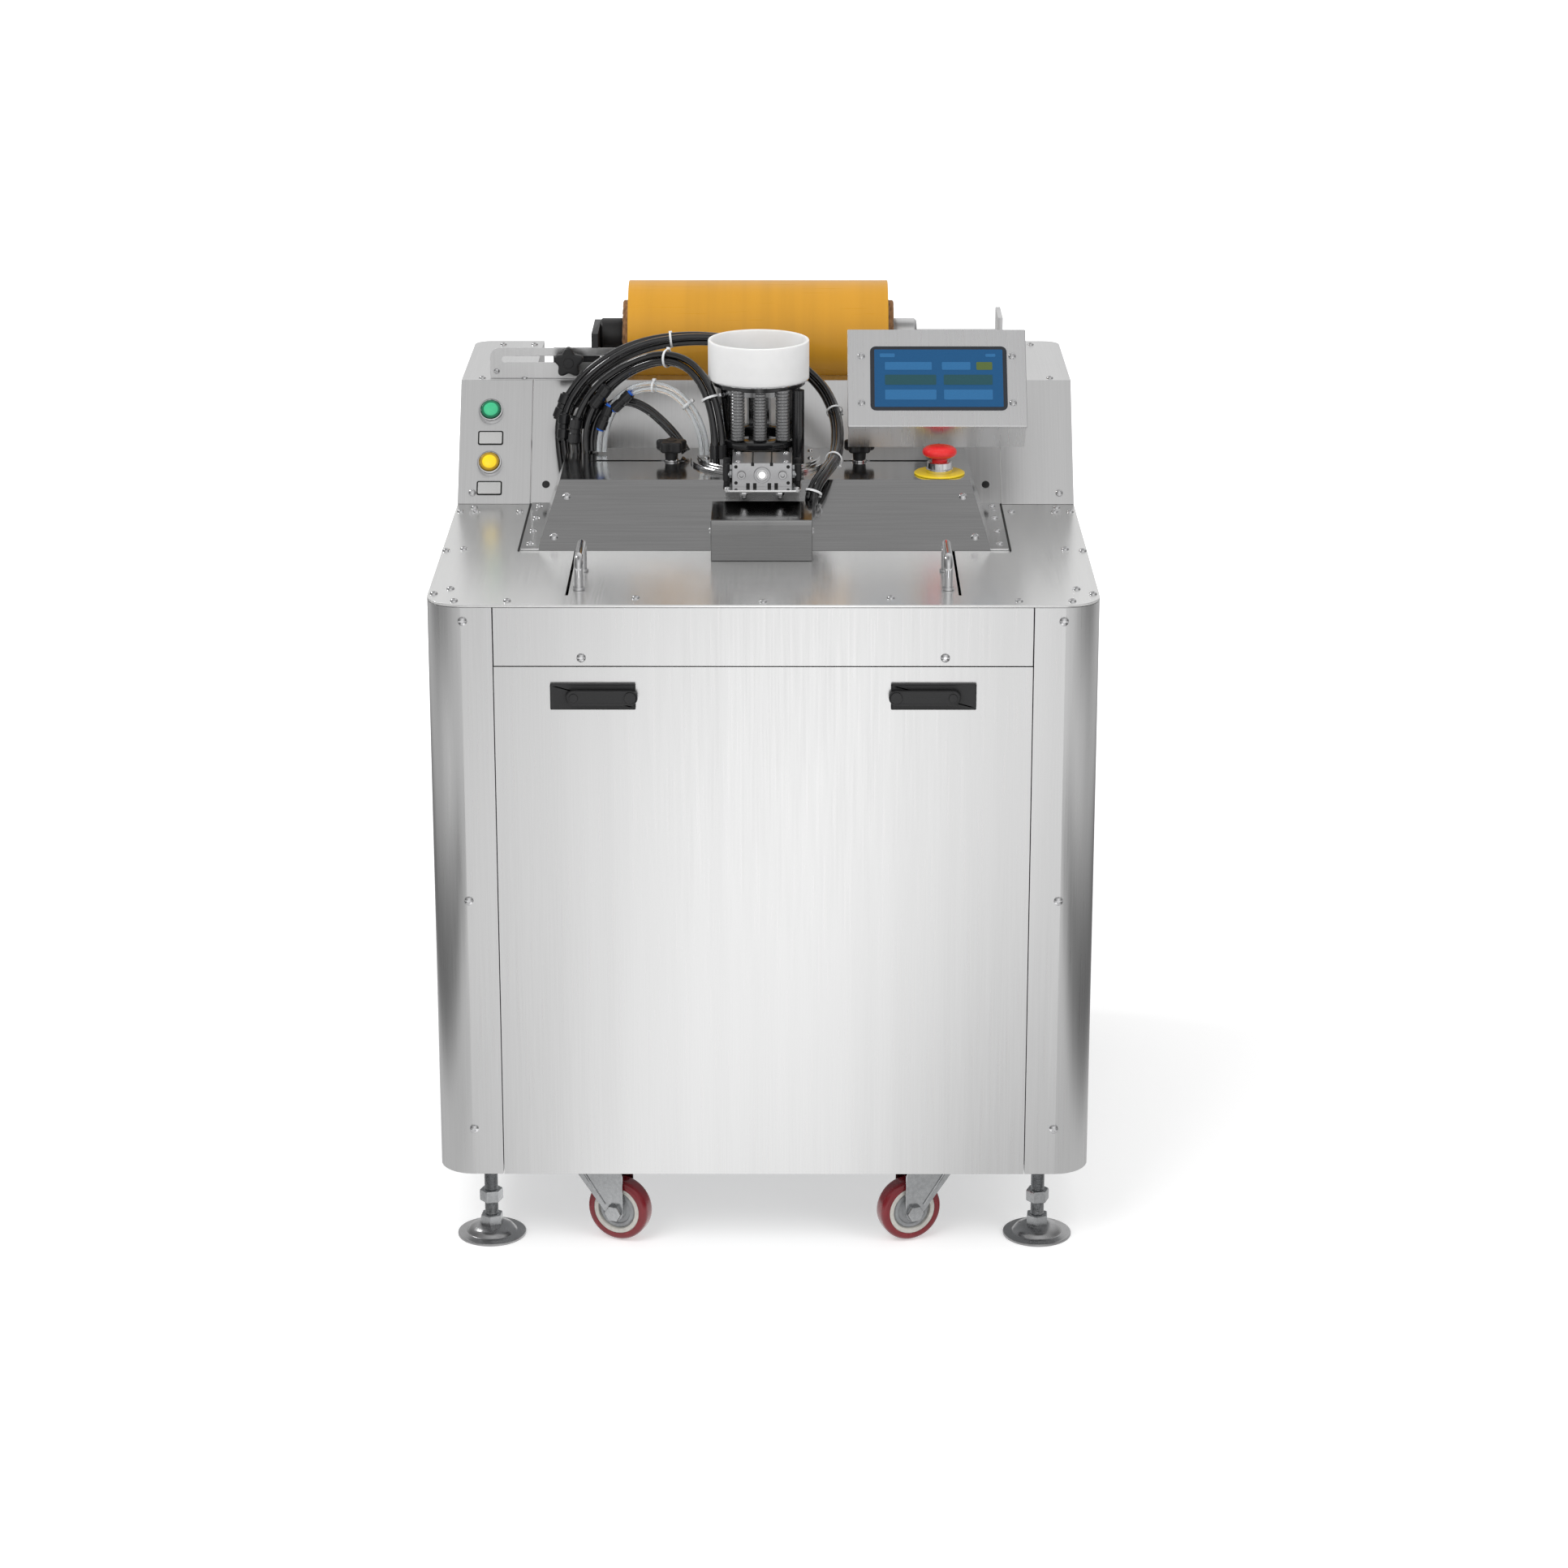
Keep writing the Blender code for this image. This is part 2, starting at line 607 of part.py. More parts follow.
def caster_places():
    """Name, X and Y of each caster's swivel axis."""
    for side, x_sign in SIDES.items():
        for end, near in (("front", depth(CASTER_DEPTH)), ("rear", depth(CABINET_DEPTH - CASTER_DEPTH))):
            yield f"{end}_{side}", x_sign * CASTER_X, near


def side_skin(side, sign):
    """A wrap-round side panel: folded edge, front return, round corner, side, round corner, rear return."""
    seam = FRONT_PANEL_HALF + SEAM / 2
    bend = HALF_WIDTH - CORNER_RADIUS
    fold = RAIL_SETBACK - GAP
    path = [(seam, FRONT_Y + fold), (seam, FRONT_Y)]
    path += arc((bend, FRONT_Y + CORNER_RADIUS), CORNER_RADIUS, -90, 0, 8)
    path += arc((bend, REAR_Y - CORNER_RADIUS), CORNER_RADIUS, 0, 90, 8)
    path += [(seam, REAR_Y), (seam, REAR_Y - fold)]
    bm = bmesh.new()
    low, high = CABINET_BOTTOM, DECK_UNDER - GAP
    lower = [bm.verts.new((sign * x, y, low)) for x, y in path]
    edges = [bm.edges.new(pair) for pair in zip(lower, lower[1:])]
    made = bmesh.ops.extrude_edge_only(bm, edges=edges)["geom"]
    raised = [v for v in made if isinstance(v, bmesh.types.BMVert)]
    bmesh.ops.translate(bm, vec=(0, 0, high - low), verts=raised)
    bmesh.ops.recalc_face_normals(bm, faces=bm.faces)
    bm.faces.ensure_lookup_table()
    widest = max(bm.faces, key=lambda face: face.calc_area())
    if widest.normal.x * sign < 0:
        bmesh.ops.reverse_faces(bm, faces=bm.faces)
    name = "side_skin_" + side
    mesh = bpy.data.meshes.new(name)
    bm.to_mesh(mesh)
    bm.free()
    skin = thicken(add(name, mesh, "stainless_panel", smooth=True), SHEET)
    hole = rod("pivot_hole_" + side, (sign * (seam - 0.004), DOOR_PIVOT[0], DOOR_PIVOT[1]),
               (sign * (seam + 0.006), DOOR_PIVOT[0], DOOR_PIVOT[1]), DOOR_PIN + 0.0005, sides=16)
    cut(skin, hole)


def front_panels():
    """The fascia over the door, the tilting door with its pivot pins, and the vented rear panel."""
    half = FRONT_PANEL_HALF - SEAM / 2
    fold = RAIL_SETBACK - GAP
    pan("fascia", (-half, FRONT_Y, FASCIA_BOTTOM + SEAM / 2), (half, FRONT_Y + fold, DECK_UNDER - GAP),
        SHEET, "stainless_panel", (0, 1, 0))
    door = pan("front_door", (-half, FRONT_Y, CABINET_BOTTOM),
               (half, FRONT_Y + DOOR_FOLD, FASCIA_BOTTOM - SEAM / 2),
               SHEET, "stainless_panel", (0, 1, 0))
    pins = []
    for side, sign in SIDES.items():
        pins.append(rod("pin_" + side, (sign * (half - 0.006), *DOOR_PIVOT),
                        (sign * (half + 0.004), *DOOR_PIVOT),
                        DOOR_PIN, sides=16))
    join(door, *pins)
    pivot_at(door, (0, *DOOR_PIVOT))
    rear = pan("rear_panel", (-half, REAR_Y - fold, CABINET_BOTTOM), (half, REAR_Y, DECK_UNDER - GAP),
               SHEET, "stainless_panel", (0, -1, 0))
    slots = []
    for bank in VENT_BANKS:
        for row in range(VENT_ROWS):
            z = bank + VENT_PITCH * row
            slots.append(box(f"vent_{bank}_{row}", (-VENT_HALF, REAR_Y - 0.006, z),
                             (VENT_HALF, REAR_Y + 0.004, z + VENT_HEIGHT)))
    cut(rear, *slots)


def deck():
    """The deck plate, with the window under the hood and two guide slots."""
    window = rectangle(*((x, depth(value)) for x, value in DECK_WINDOW))
    slots = []
    for side in SIDES.values():
        low_x, high_x = side * DECK_SLOT_X - DECK_SLOT_HALF, side * DECK_SLOT_X + DECK_SLOT_HALF
        slots.append(rounded((low_x, depth(DECK_SLOT_DEPTHS[0])), (high_x, depth(DECK_SLOT_DEPTHS[1])),
                             DECK_SLOT_HALF - 0.0001, 2))
    outline = rounded((-HALF_WIDTH, FRONT_Y), (HALF_WIDTH, REAR_Y), CORNER_RADIUS, 8)
    plate("deck", outline, DECK_SHEET, Matrix.Translation((0, 0, DECK_TOP - DECK_SHEET / 2)),
          "polished_stainless", holes=(window, *slots))


def feet():
    """Four levelling feet: a domed flange, a threaded stem and two nuts."""
    profile = [
        (0, BASE_Z + 0.0235), (STEM_RADIUS, BASE_Z + 0.0235), (STEM_RADIUS, LOCK_NUT[1]),
        (NUT_RADIUS, LOCK_NUT[1]), (NUT_RADIUS, LOCK_NUT[0]), (STEM_RADIUS, LOCK_NUT[0]),
        (STEM_RADIUS, FOOT_NUT[1]), (NUT_RADIUS, FOOT_NUT[1]), (NUT_RADIUS, FOOT_NUT[0]),
        *FOOT_FLANGE, (FOOT_RADIUS, 0), (0, 0),
    ]
    for name, x, y in foot_places():
        turned("levelling_foot_" + name, profile, Matrix.Translation((x, y, 0)), "zinc", steps=12)


def caster(name, x, y, trail_angle):
    """A swivel caster: its fork turns about the king pin, and its wheel about the axle behind it."""
    king = Matrix.Translation((x, y, 0)) @ Matrix.Rotation(trail_angle, 4, "Z")
    axle_z = WHEEL_RADIUS + WHEEL_LIFT
    inner = WHEEL_WIDTH / 2 + FORK_CLEARANCE
    crown_z = BASE_Z - CROWN_DROP
    fore, aft = CROWN_X
    leg = [(fore, crown_z), (aft, crown_z), (aft + 0.004, crown_z - 0.010),
           (CASTER_TRAIL + LEG_RADIUS, axle_z)]
    leg += arc((CASTER_TRAIL, axle_z), LEG_RADIUS, 0, -160, 6)
    leg.append((fore, crown_z - 0.010))
    leg = leg[::-1]
    crown = box("caster_fork_" + name, (fore, -inner - FORK_SHEET, crown_z - FORK_SHEET),
                (aft, inner + FORK_SHEET, crown_z + 0.0005), "zinc")
    parts = []
    for sign in (-1, 1):
        middle = sign * (inner + FORK_SHEET / 2)
        parts.append(plate(f"leg_{name}_{sign}", leg, FORK_SHEET,
                           Matrix.Translation((0, middle, 0)) @ ALONG_Y))
    parts.append(rod("king_" + name, (0, 0, crown_z - 0.001), (0, 0, BASE_Z - CASTER_PLATE[2] - GAP),
                     KING_RADIUS, sides=16))
    reach = inner + FORK_SHEET + 0.005
    parts.append(rod("axle_" + name, (CASTER_TRAIL, -reach, axle_z), (CASTER_TRAIL, reach, axle_z),
                     AXLE_RADIUS, sides=12))
    join(crown, *parts)
    for obj in (crown, *parts):
        obj.matrix_world = king
    half = WHEEL_WIDTH / 2
    bore = AXLE_RADIUS + 0.0003
    boss = half + 0.0015
    profile = [
        (WHEEL_RADIUS - WHEEL_EDGE[0], half), (WHEEL_RADIUS, half - WHEEL_EDGE[1]),
        (WHEEL_RADIUS, WHEEL_EDGE[1] - half), (WHEEL_RADIUS - WHEEL_EDGE[0], -half), (WHEEL_BOSS, -half),
        (WHEEL_BOSS - 0.002, -boss), (bore, -boss), (bore, boss), (WHEEL_BOSS - 0.002, boss),
        (WHEEL_BOSS, half),
    ]
    centre = king @ Vector((CASTER_TRAIL, 0, axle_z))
    axle_direction = king.to_3x3() @ Vector((0, 1, 0))
    turned("caster_wheel_" + name, profile, towards(centre, axle_direction), "red_tread", steps=20,
           closed=True)


def casters():
    """The four casters, the front ones trailing inwards and the rear ones trailing to the back."""
    angles = {
        "front_left": -CASTER_YAW, "front_right": math.pi + CASTER_YAW,
        "rear_left": math.radians(60), "rear_right": math.radians(120),
    }
    for name, x, y in caster_places():
        caster(name, x, y, angles[name])


def latches():
    """Two door latches: a flat plate, and a swing lever on a spindle at the plate's outer end."""
    half_w, half_h = LATCH_PLATE[0] / 2, LATCH_PLATE[1] / 2
    plate_y = FRONT_Y - GAP
    lever_back = plate_y - LATCH_PLATE[2] - GAP
    lever_front = FRONT_Y - LATCH_STAND_OFF
    for side, sign in SIDES.items():
        x = sign * LATCH_X
        box("latch_plate_" + side, (x - half_w, plate_y - LATCH_PLATE[2], LATCH_Z - half_h),
            (x + half_w, plate_y, LATCH_Z + half_h), "black_plastic", edge=0.0008)
        ends = (sign * LEVER_INNER_X, sign * (LEVER_INNER_X + LEVER_LENGTH))
        outline = rounded((min(ends), LATCH_Z - LEVER_WIDTH / 2), (max(ends), LATCH_Z + LEVER_WIDTH / 2),
                          LEVER_WIDTH / 2 - 0.0001, 5)
        lever = plate("latch_lever_" + side, outline, lever_back - lever_front,
                      Matrix.Translation((0, (lever_back + lever_front) / 2, 0)) @ ALONG_Y, "black_plastic")
        pivot_at(lever, (ends[1] - sign * LEVER_WIDTH / 2, lever_back, LATCH_Z))


# ---- deck pieces --------------------------------------------------------------------------------
def hood():
    """The raised hood over the wrapping head: leaning sides, a sloped front, side flanges, no rear wall."""
    bm = bmesh.new()
    bmesh.ops.create_cube(bm, size=2.0)
    spare = 0.004   # the walls run past the deck and are trimmed level with it
    reach = spare / HOOD_HEIGHT
    foot_half = HOOD_BASE_HALF + (HOOD_BASE_HALF - HOOD_TOP_HALF) * reach
    foot_front = HOOD_FRONT - (HOOD_TOP_FRONT - HOOD_FRONT) * reach
    console_run = (CONSOLE_TOP_FRONT - CONSOLE_FRONT) / CONSOLE_HEIGHT
    foot_rear = HOOD_TOP_REAR - (HOOD_HEIGHT + spare) * console_run
    for vert in bm.verts:
        top = vert.co.z > 0
        half = HOOD_TOP_HALF if top else foot_half
        if vert.co.y < 0:
            back = HOOD_TOP_FRONT if top else foot_front
        else:
            back = HOOD_TOP_REAR if top else foot_rear
        vert.co = on_deck(math.copysign(half, vert.co.x), back, HOOD_HEIGHT if top else -spare)
    bmesh.ops.recalc_face_normals(bm, faces=bm.faces)
    dropped = [f for f in bm.faces if f.normal.z < -0.9 or f.normal.y > 0.5]
    bmesh.ops.delete(bm, geom=dropped, context="FACES_ONLY")
    mesh = bpy.data.meshes.new("hood")
    bm.to_mesh(mesh)
    bm.free()
    shell = thicken(add("hood", mesh, "polished_stainless"), SHEET)
    flanges = []
    for side, sign in SIDES.items():
        inner, outer = HOOD_BASE_HALF - 0.0015, HOOD_FLANGE_HALF
        low = on_deck(min(sign * inner, sign * outer), HOOD_FRONT + 0.001, GAP)
        high = on_deck(max(sign * inner, sign * outer), CONSOLE_FRONT - 0.001, HOOD_FLANGE_SHEET + GAP)
        flanges.append(box("flange_" + side, low, high))
    join(shell, *flanges)
    top = DECK_TOP + HOOD_HEIGHT
    cutters = [rod("throat", (HOPPER_X, depth(HOPPER_DEPTH), top - 0.02),
                   (HOPPER_X, depth(HOPPER_DEPTH), top + 0.02),
                   HOPPER_BORE + 0.002, sides=32)]
    for side, sign in SIDES.items():
        ends = sorted(sign * value for value in HOOD_SLOT)
        cutters.append(box("slot_" + side, (ends[0], depth(HOOD_SLOT_DEPTH) - HOOD_SLOT_WIDTH / 2,
                                            top - 0.01),
                           (ends[1], depth(HOOD_SLOT_DEPTH) + HOOD_SLOT_WIDTH / 2, top + 0.01)))
    cutters.append(box("hood_trim", on_deck(-0.4, 0.15, -0.02), on_deck(0.4, 0.6, GAP - 0.00005)))
    cutters.append(box("hose_notch", *(on_deck(*corner) for corner in HOSE_NOTCH)))
    cut(shell, *cutters)


def chute_cover():
    """The box in front of the hood, open behind and below, its sides following the hood's front."""
    def profile(shrink, drop):
        lean = (HOOD_TOP_FRONT - HOOD_FRONT) / HOOD_HEIGHT
        rear = CHUTE_REAR + (0.02 if shrink else 0)
        foot = HOOD_FRONT - 0.001 + (0.03 if shrink else 0)
        rise = (CHUTE_REAR - HOOD_FRONT) / lean + 0.001
        return [
            (depth(CHUTE_FRONT + shrink), DECK_TOP + GAP - drop), (depth(foot), DECK_TOP + GAP - drop),
            (depth(rear), DECK_TOP + rise - drop), (depth(rear), DECK_TOP + CHUTE_HEIGHT - shrink),
            (depth(CHUTE_FRONT + shrink), DECK_TOP + CHUTE_HEIGHT - shrink),
        ]
    frame = Matrix.Translation((CYLINDER_X, 0, 0)) @ ALONG_X
    cover = plate("chute_cover", profile(0, 0), 2 * CHUTE_HALF, frame, "polished_stainless")
    cut(cover, plate("chute_hollow", profile(SHEET, 0.02), 2 * (CHUTE_HALF - SHEET), frame))


def console_block(side, sign):
    """A side block of the console, folded from sheet and open below, its rear outer corner round."""
    name = "console_" + side
    slope = (CONSOLE_TOP_FRONT - CONSOLE_FRONT) / CONSOLE_HEIGHT

    def block(label, wall, drop, finish=None):
        low, top = GAP - drop, CONSOLE_HEIGHT - wall
        lead = 1.3 * wall
        outline = [
            (depth(CONSOLE_FRONT + slope * low + lead), DECK_TOP + low), (REAR_Y - wall, DECK_TOP + low),
            (REAR_Y - wall, DECK_TOP + top), (depth(CONSOLE_FRONT + slope * top + lead), DECK_TOP + top),
        ]
        width = HALF_WIDTH - CONSOLE_INNER - 2 * wall
        frame = Matrix.Translation((sign * (HALF_WIDTH + CONSOLE_INNER) / 2, 0, 0)) @ ALONG_X
        bm = bmesh.new()
        bm.from_mesh(plate_mesh(label, outline, width, frame))
        bmesh.ops.dissolve_limit(bm, angle_limit=0.01, verts=bm.verts, edges=bm.edges)
        corner = []
        for edge in bm.edges:
            a, b = (vert.co for vert in edge.verts)
            upright = abs(a.z - b.z) > 0.05 and abs(a.y - b.y) < 0.001
            if upright and a.y > REAR_Y - 0.01 and a.x * sign > HALF_WIDTH - 0.01:
                corner.append(edge)
        bmesh.ops.bevel(bm, geom=corner, offset=CONSOLE_CORNER - wall, affect="EDGES", segments=5,
                        profile=0.5)
        return add(label, mesh_from(label, bm), finish)

    shell = block(name, 0.0, 0.0, "stainless_panel")
    hollow = block("hollow_" + side, SHEET, 0.02)
    x_inner = sign * (CONSOLE_INNER - 0.01)
    x_outer = sign * (CONSOLE_INNER + 0.01)
    bore = rod("idler_bore_" + side, on_deck(x_inner, IDLER_DEPTH, IDLER_Z),
               on_deck(x_outer, IDLER_DEPTH, IDLER_Z),
               IDLER_SHAFT + 0.0003, sides=16)
    cut(shell, hollow, bore)
    if side == "right":
        end = ROLL_X + CORE_LENGTH / 2
        stub = turned("roll_spindle", spindle_profile(CONSOLE_INNER + 0.0008 - end + CHUCK_LENGTH),
                      towards(on_deck(end - CHUCK_LENGTH, ROLL_DEPTH, ROLL_Z), (1, 0, 0)), steps=20)
        lug = box("spindle_lug", on_deck(CONSOLE_INNER + 0.0004, ROLL_DEPTH - 0.035, CONSOLE_HEIGHT - 0.02),
                  on_deck(CONSOLE_INNER + 0.0064, ROLL_DEPTH + 0.035, ROLL_Z + 0.030))
        join(shell, lug, stub)


def spindle_profile(length):
    """A chuck that fills the core's end, a hub against its rim, and a shaft of the given whole length."""
    hub_end = CHUCK_LENGTH + 0.001 + HUB_LENGTH
    return [
        (0, length), (0.009, length), (0.009, hub_end), (HUB_RADIUS - 0.003, hub_end),
        (HUB_RADIUS, hub_end - 0.003), (HUB_RADIUS, CHUCK_LENGTH + 0.001), (0.020, CHUCK_LENGTH),
        (CHUCK_RADIUS, CHUCK_LENGTH - 0.002), (CHUCK_RADIUS, 0.004), (CHUCK_RADIUS - 0.004, 0), (0, 0),
    ]


def console_panel():
    """The sloped centre panel with a flange along its top."""
    half = CONSOLE_INNER - 0.0008
    lead = 1.3 * SHEET
    slope = (CONSOLE_TOP_FRONT - CONSOLE_FRONT) / CONSOLE_HEIGHT
    low, top, under = GAP, CONSOLE_HEIGHT, CONSOLE_HEIGHT - SHEET
    outline = [
        (depth(CONSOLE_FRONT + slope * low), DECK_TOP + low), (depth(CONSOLE_FRONT + slope * low + lead),
                                                               DECK_TOP + low),
        (depth(CONSOLE_FRONT + slope * under + lead), DECK_TOP + under),
        (depth(CONSOLE_TOP_FRONT + PANEL_FLANGE), DECK_TOP + under),
        (depth(CONSOLE_TOP_FRONT + PANEL_FLANGE), DECK_TOP + top), (depth(CONSOLE_TOP_FRONT), DECK_TOP + top),
    ]
    panel = plate("console_panel", outline, 2 * half, ALONG_X, "stainless_panel")
    cut(panel, box("film_slot", on_deck(-FILM_SLOT_HALF, CONSOLE_FRONT - 0.02, -0.01),
                   on_deck(FILM_SLOT_HALF, CONSOLE_FRONT + 0.04, FILM_SLOT_HEIGHT)))


def rail_handles():
    """Two chrome D-handles that run front to back."""
    near, far = HANDLE_DEPTHS
    top = HANDLE_HEIGHT - HANDLE_BAR
    side_view = [(near, GAP)]
    side_view += arc((near + HANDLE_BEND, top - HANDLE_BEND), HANDLE_BEND, 180, 90, 4)
    side_view += arc((far - HANDLE_BEND, top - HANDLE_BEND), HANDLE_BEND, 90, 0, 4)
    side_view.append((far, GAP))
    for side, sign in SIDES.items():
        tube("rail_handle_" + side, [on_deck(sign * HANDLE_X, d, z) for d, z in side_view], HANDLE_BAR,
             "chrome", 2)


def feed_head():
    """The hopper housing on its stepped flange, and the white feed cup on top of it."""
    base = HOOD_HEIGHT + GAP
    rim, rim_height = HOPPER_RIM
    flange, step = HOPPER_FLANGES
    profile = [
        (rim, HOPPER_HEIGHT), (rim, HOPPER_HEIGHT - rim_height), (HOPPER_RADIUS, HOPPER_HEIGHT - rim_height),
        (HOPPER_RADIUS, base + 2 * HOPPER_STEP), (step, base + 2 * HOPPER_STEP), (step, base + HOPPER_STEP),
        (flange, base + HOPPER_STEP), (flange, base), (HOPPER_BORE, base), (HOPPER_BORE, HOPPER_HEIGHT),
    ]
    place = Matrix.Translation(on_deck(HOPPER_X, HOPPER_DEPTH, 0))
    housing = turned("hopper_housing", profile, place, "black_plastic", steps=24, closed=True)
    window = box("hopper_window", on_deck(HOPPER_X - HOPPER_WINDOW_HALF, HOPPER_DEPTH - 0.070, base + 0.014),
                 on_deck(HOPPER_X + HOPPER_WINDOW_HALF, HOPPER_DEPTH - 0.010, HOPPER_HEIGHT - 0.012))
    cut(housing, window)
    low = HOPPER_HEIGHT + GAP
    ring = [(CUP_RADIUS, low + CUP_HEIGHT), (CUP_RADIUS, low), (CUP_RADIUS - CUP_WALL, low),
            (CUP_RADIUS - CUP_WALL, low + CUP_HEIGHT)]
    turned("feed_cup", ring, place, "white_nylon", steps=32, closed=True)


def guided_cylinder():
    """The compact cylinder on its mounting plate, and the plate that its two guide rods push."""
    half = CYLINDER_SIZE[0] / 2
    rear = CYLINDER_FRONT + CYLINDER_SIZE[1]
    low = HOOD_HEIGHT + GAP
    block_low = low + CYLINDER_PLATE[2] - 0.0004
    top = low + CYLINDER_PLATE[2] + CYLINDER_SIZE[2]
    body = box("guide_cylinder", on_deck(CYLINDER_X - half, CYLINDER_FRONT, block_low),
               on_deck(CYLINDER_X + half, rear, top), "aluminium", edge=0.0006)
    plate_front = CYLINDER_FRONT - 0.018
    outline = rounded((CYLINDER_X - CYLINDER_PLATE[0] / 2, depth(plate_front)),
                      (CYLINDER_X + CYLINDER_PLATE[0] / 2, depth(plate_front + CYLINDER_PLATE[1])), 0.006, 3)
    foot = plate("cylinder_foot", outline, CYLINDER_PLATE[2],
                 Matrix.Translation((0, 0, DECK_TOP + low + CYLINDER_PLATE[2] / 2)))
    join(body, foot)
    rod_z = low + CYLINDER_PLATE[2] + CYLINDER_SIZE[2] / 2
    bores, rods = [], []
    for side, sign in SIDES.items():
        x = CYLINDER_X + sign * GUIDE_ROD_X
        bores.append(rod("rod_bore_" + side, on_deck(x, rear - 0.042, rod_z), on_deck(x, rear + 0.01, rod_z),
                         GUIDE_ROD_RADIUS + 0.0003, sides=16))
        rods.append(rod("guide_rod_" + side, on_deck(x, rear - 0.038, rod_z), on_deck(x, rear + 0.003, rod_z),
                        GUIDE_ROD_RADIUS, sides=16))
    cut(body, *bores)
    pusher = box("guide_plate", on_deck(CYLINDER_X - half + 0.002, rear + GAP, rod_z - 0.008),
                 on_deck(CYLINDER_X + half - 0.002, rear + GAP + 0.006, rod_z + 0.012), "aluminium",
                 edge=0.0006)
    join(pusher, *rods)


def star_knob(name, frame, finish="black_plastic"):
    """A lobed clamping knob on a round neck, standing along the frame's Z from its foot."""
    head = plate(name, star(STAR_RADIUS, STAR_LOBES), STAR_HEIGHT,
                 Matrix.Translation((0, 0, KNOB_NECK_HEIGHT + STAR_HEIGHT / 2)), finish)
    neck = rod(name + "_neck", (0, 0, 0), (0, 0, KNOB_NECK_HEIGHT + 0.001), KNOB_NECK, sides=20)
    join(head, neck)
    head.matrix_world = frame
    neck.matrix_world = frame
    return head


def film_guides():
    """Under-hood film guides, each held in its slot by a stud and clamped by a star knob."""
    under = HOOD_HEIGHT - SHEET - GAP
    for side, sign in SIDES.items():
        x = sign * HOOD_KNOB_X
        shoe = box("film_guide_" + side, on_deck(x - GUIDE_SHOE[0], HOOD_SLOT_DEPTH - GUIDE_SHOE[1],
                                                 under - GUIDE_SHOE[2]),
                   on_deck(x + GUIDE_SHOE[0], HOOD_SLOT_DEPTH + GUIDE_SHOE[1], under), "zinc", edge=0.0006)
        stud = rod("guide_stud_" + side, on_deck(x, HOOD_SLOT_DEPTH, under - 0.004),
                   on_deck(x, HOOD_SLOT_DEPTH, HOOD_HEIGHT), STUD_RADIUS, sides=12)
        wing = box("guide_wing_" + side, on_deck(x - GUIDE_WING[0], HOOD_SLOT_DEPTH - GUIDE_WING[1],
                                                 under - GUIDE_WING[2]),
                   on_deck(x + GUIDE_WING[0], HOOD_SLOT_DEPTH + GUIDE_WING[1], under - 0.004))
        join(shoe, stud, wing)
        star_knob("hood_knob_" + side, Matrix.Translation(on_deck(x, HOOD_SLOT_DEPTH, HOOD_HEIGHT + GAP)))


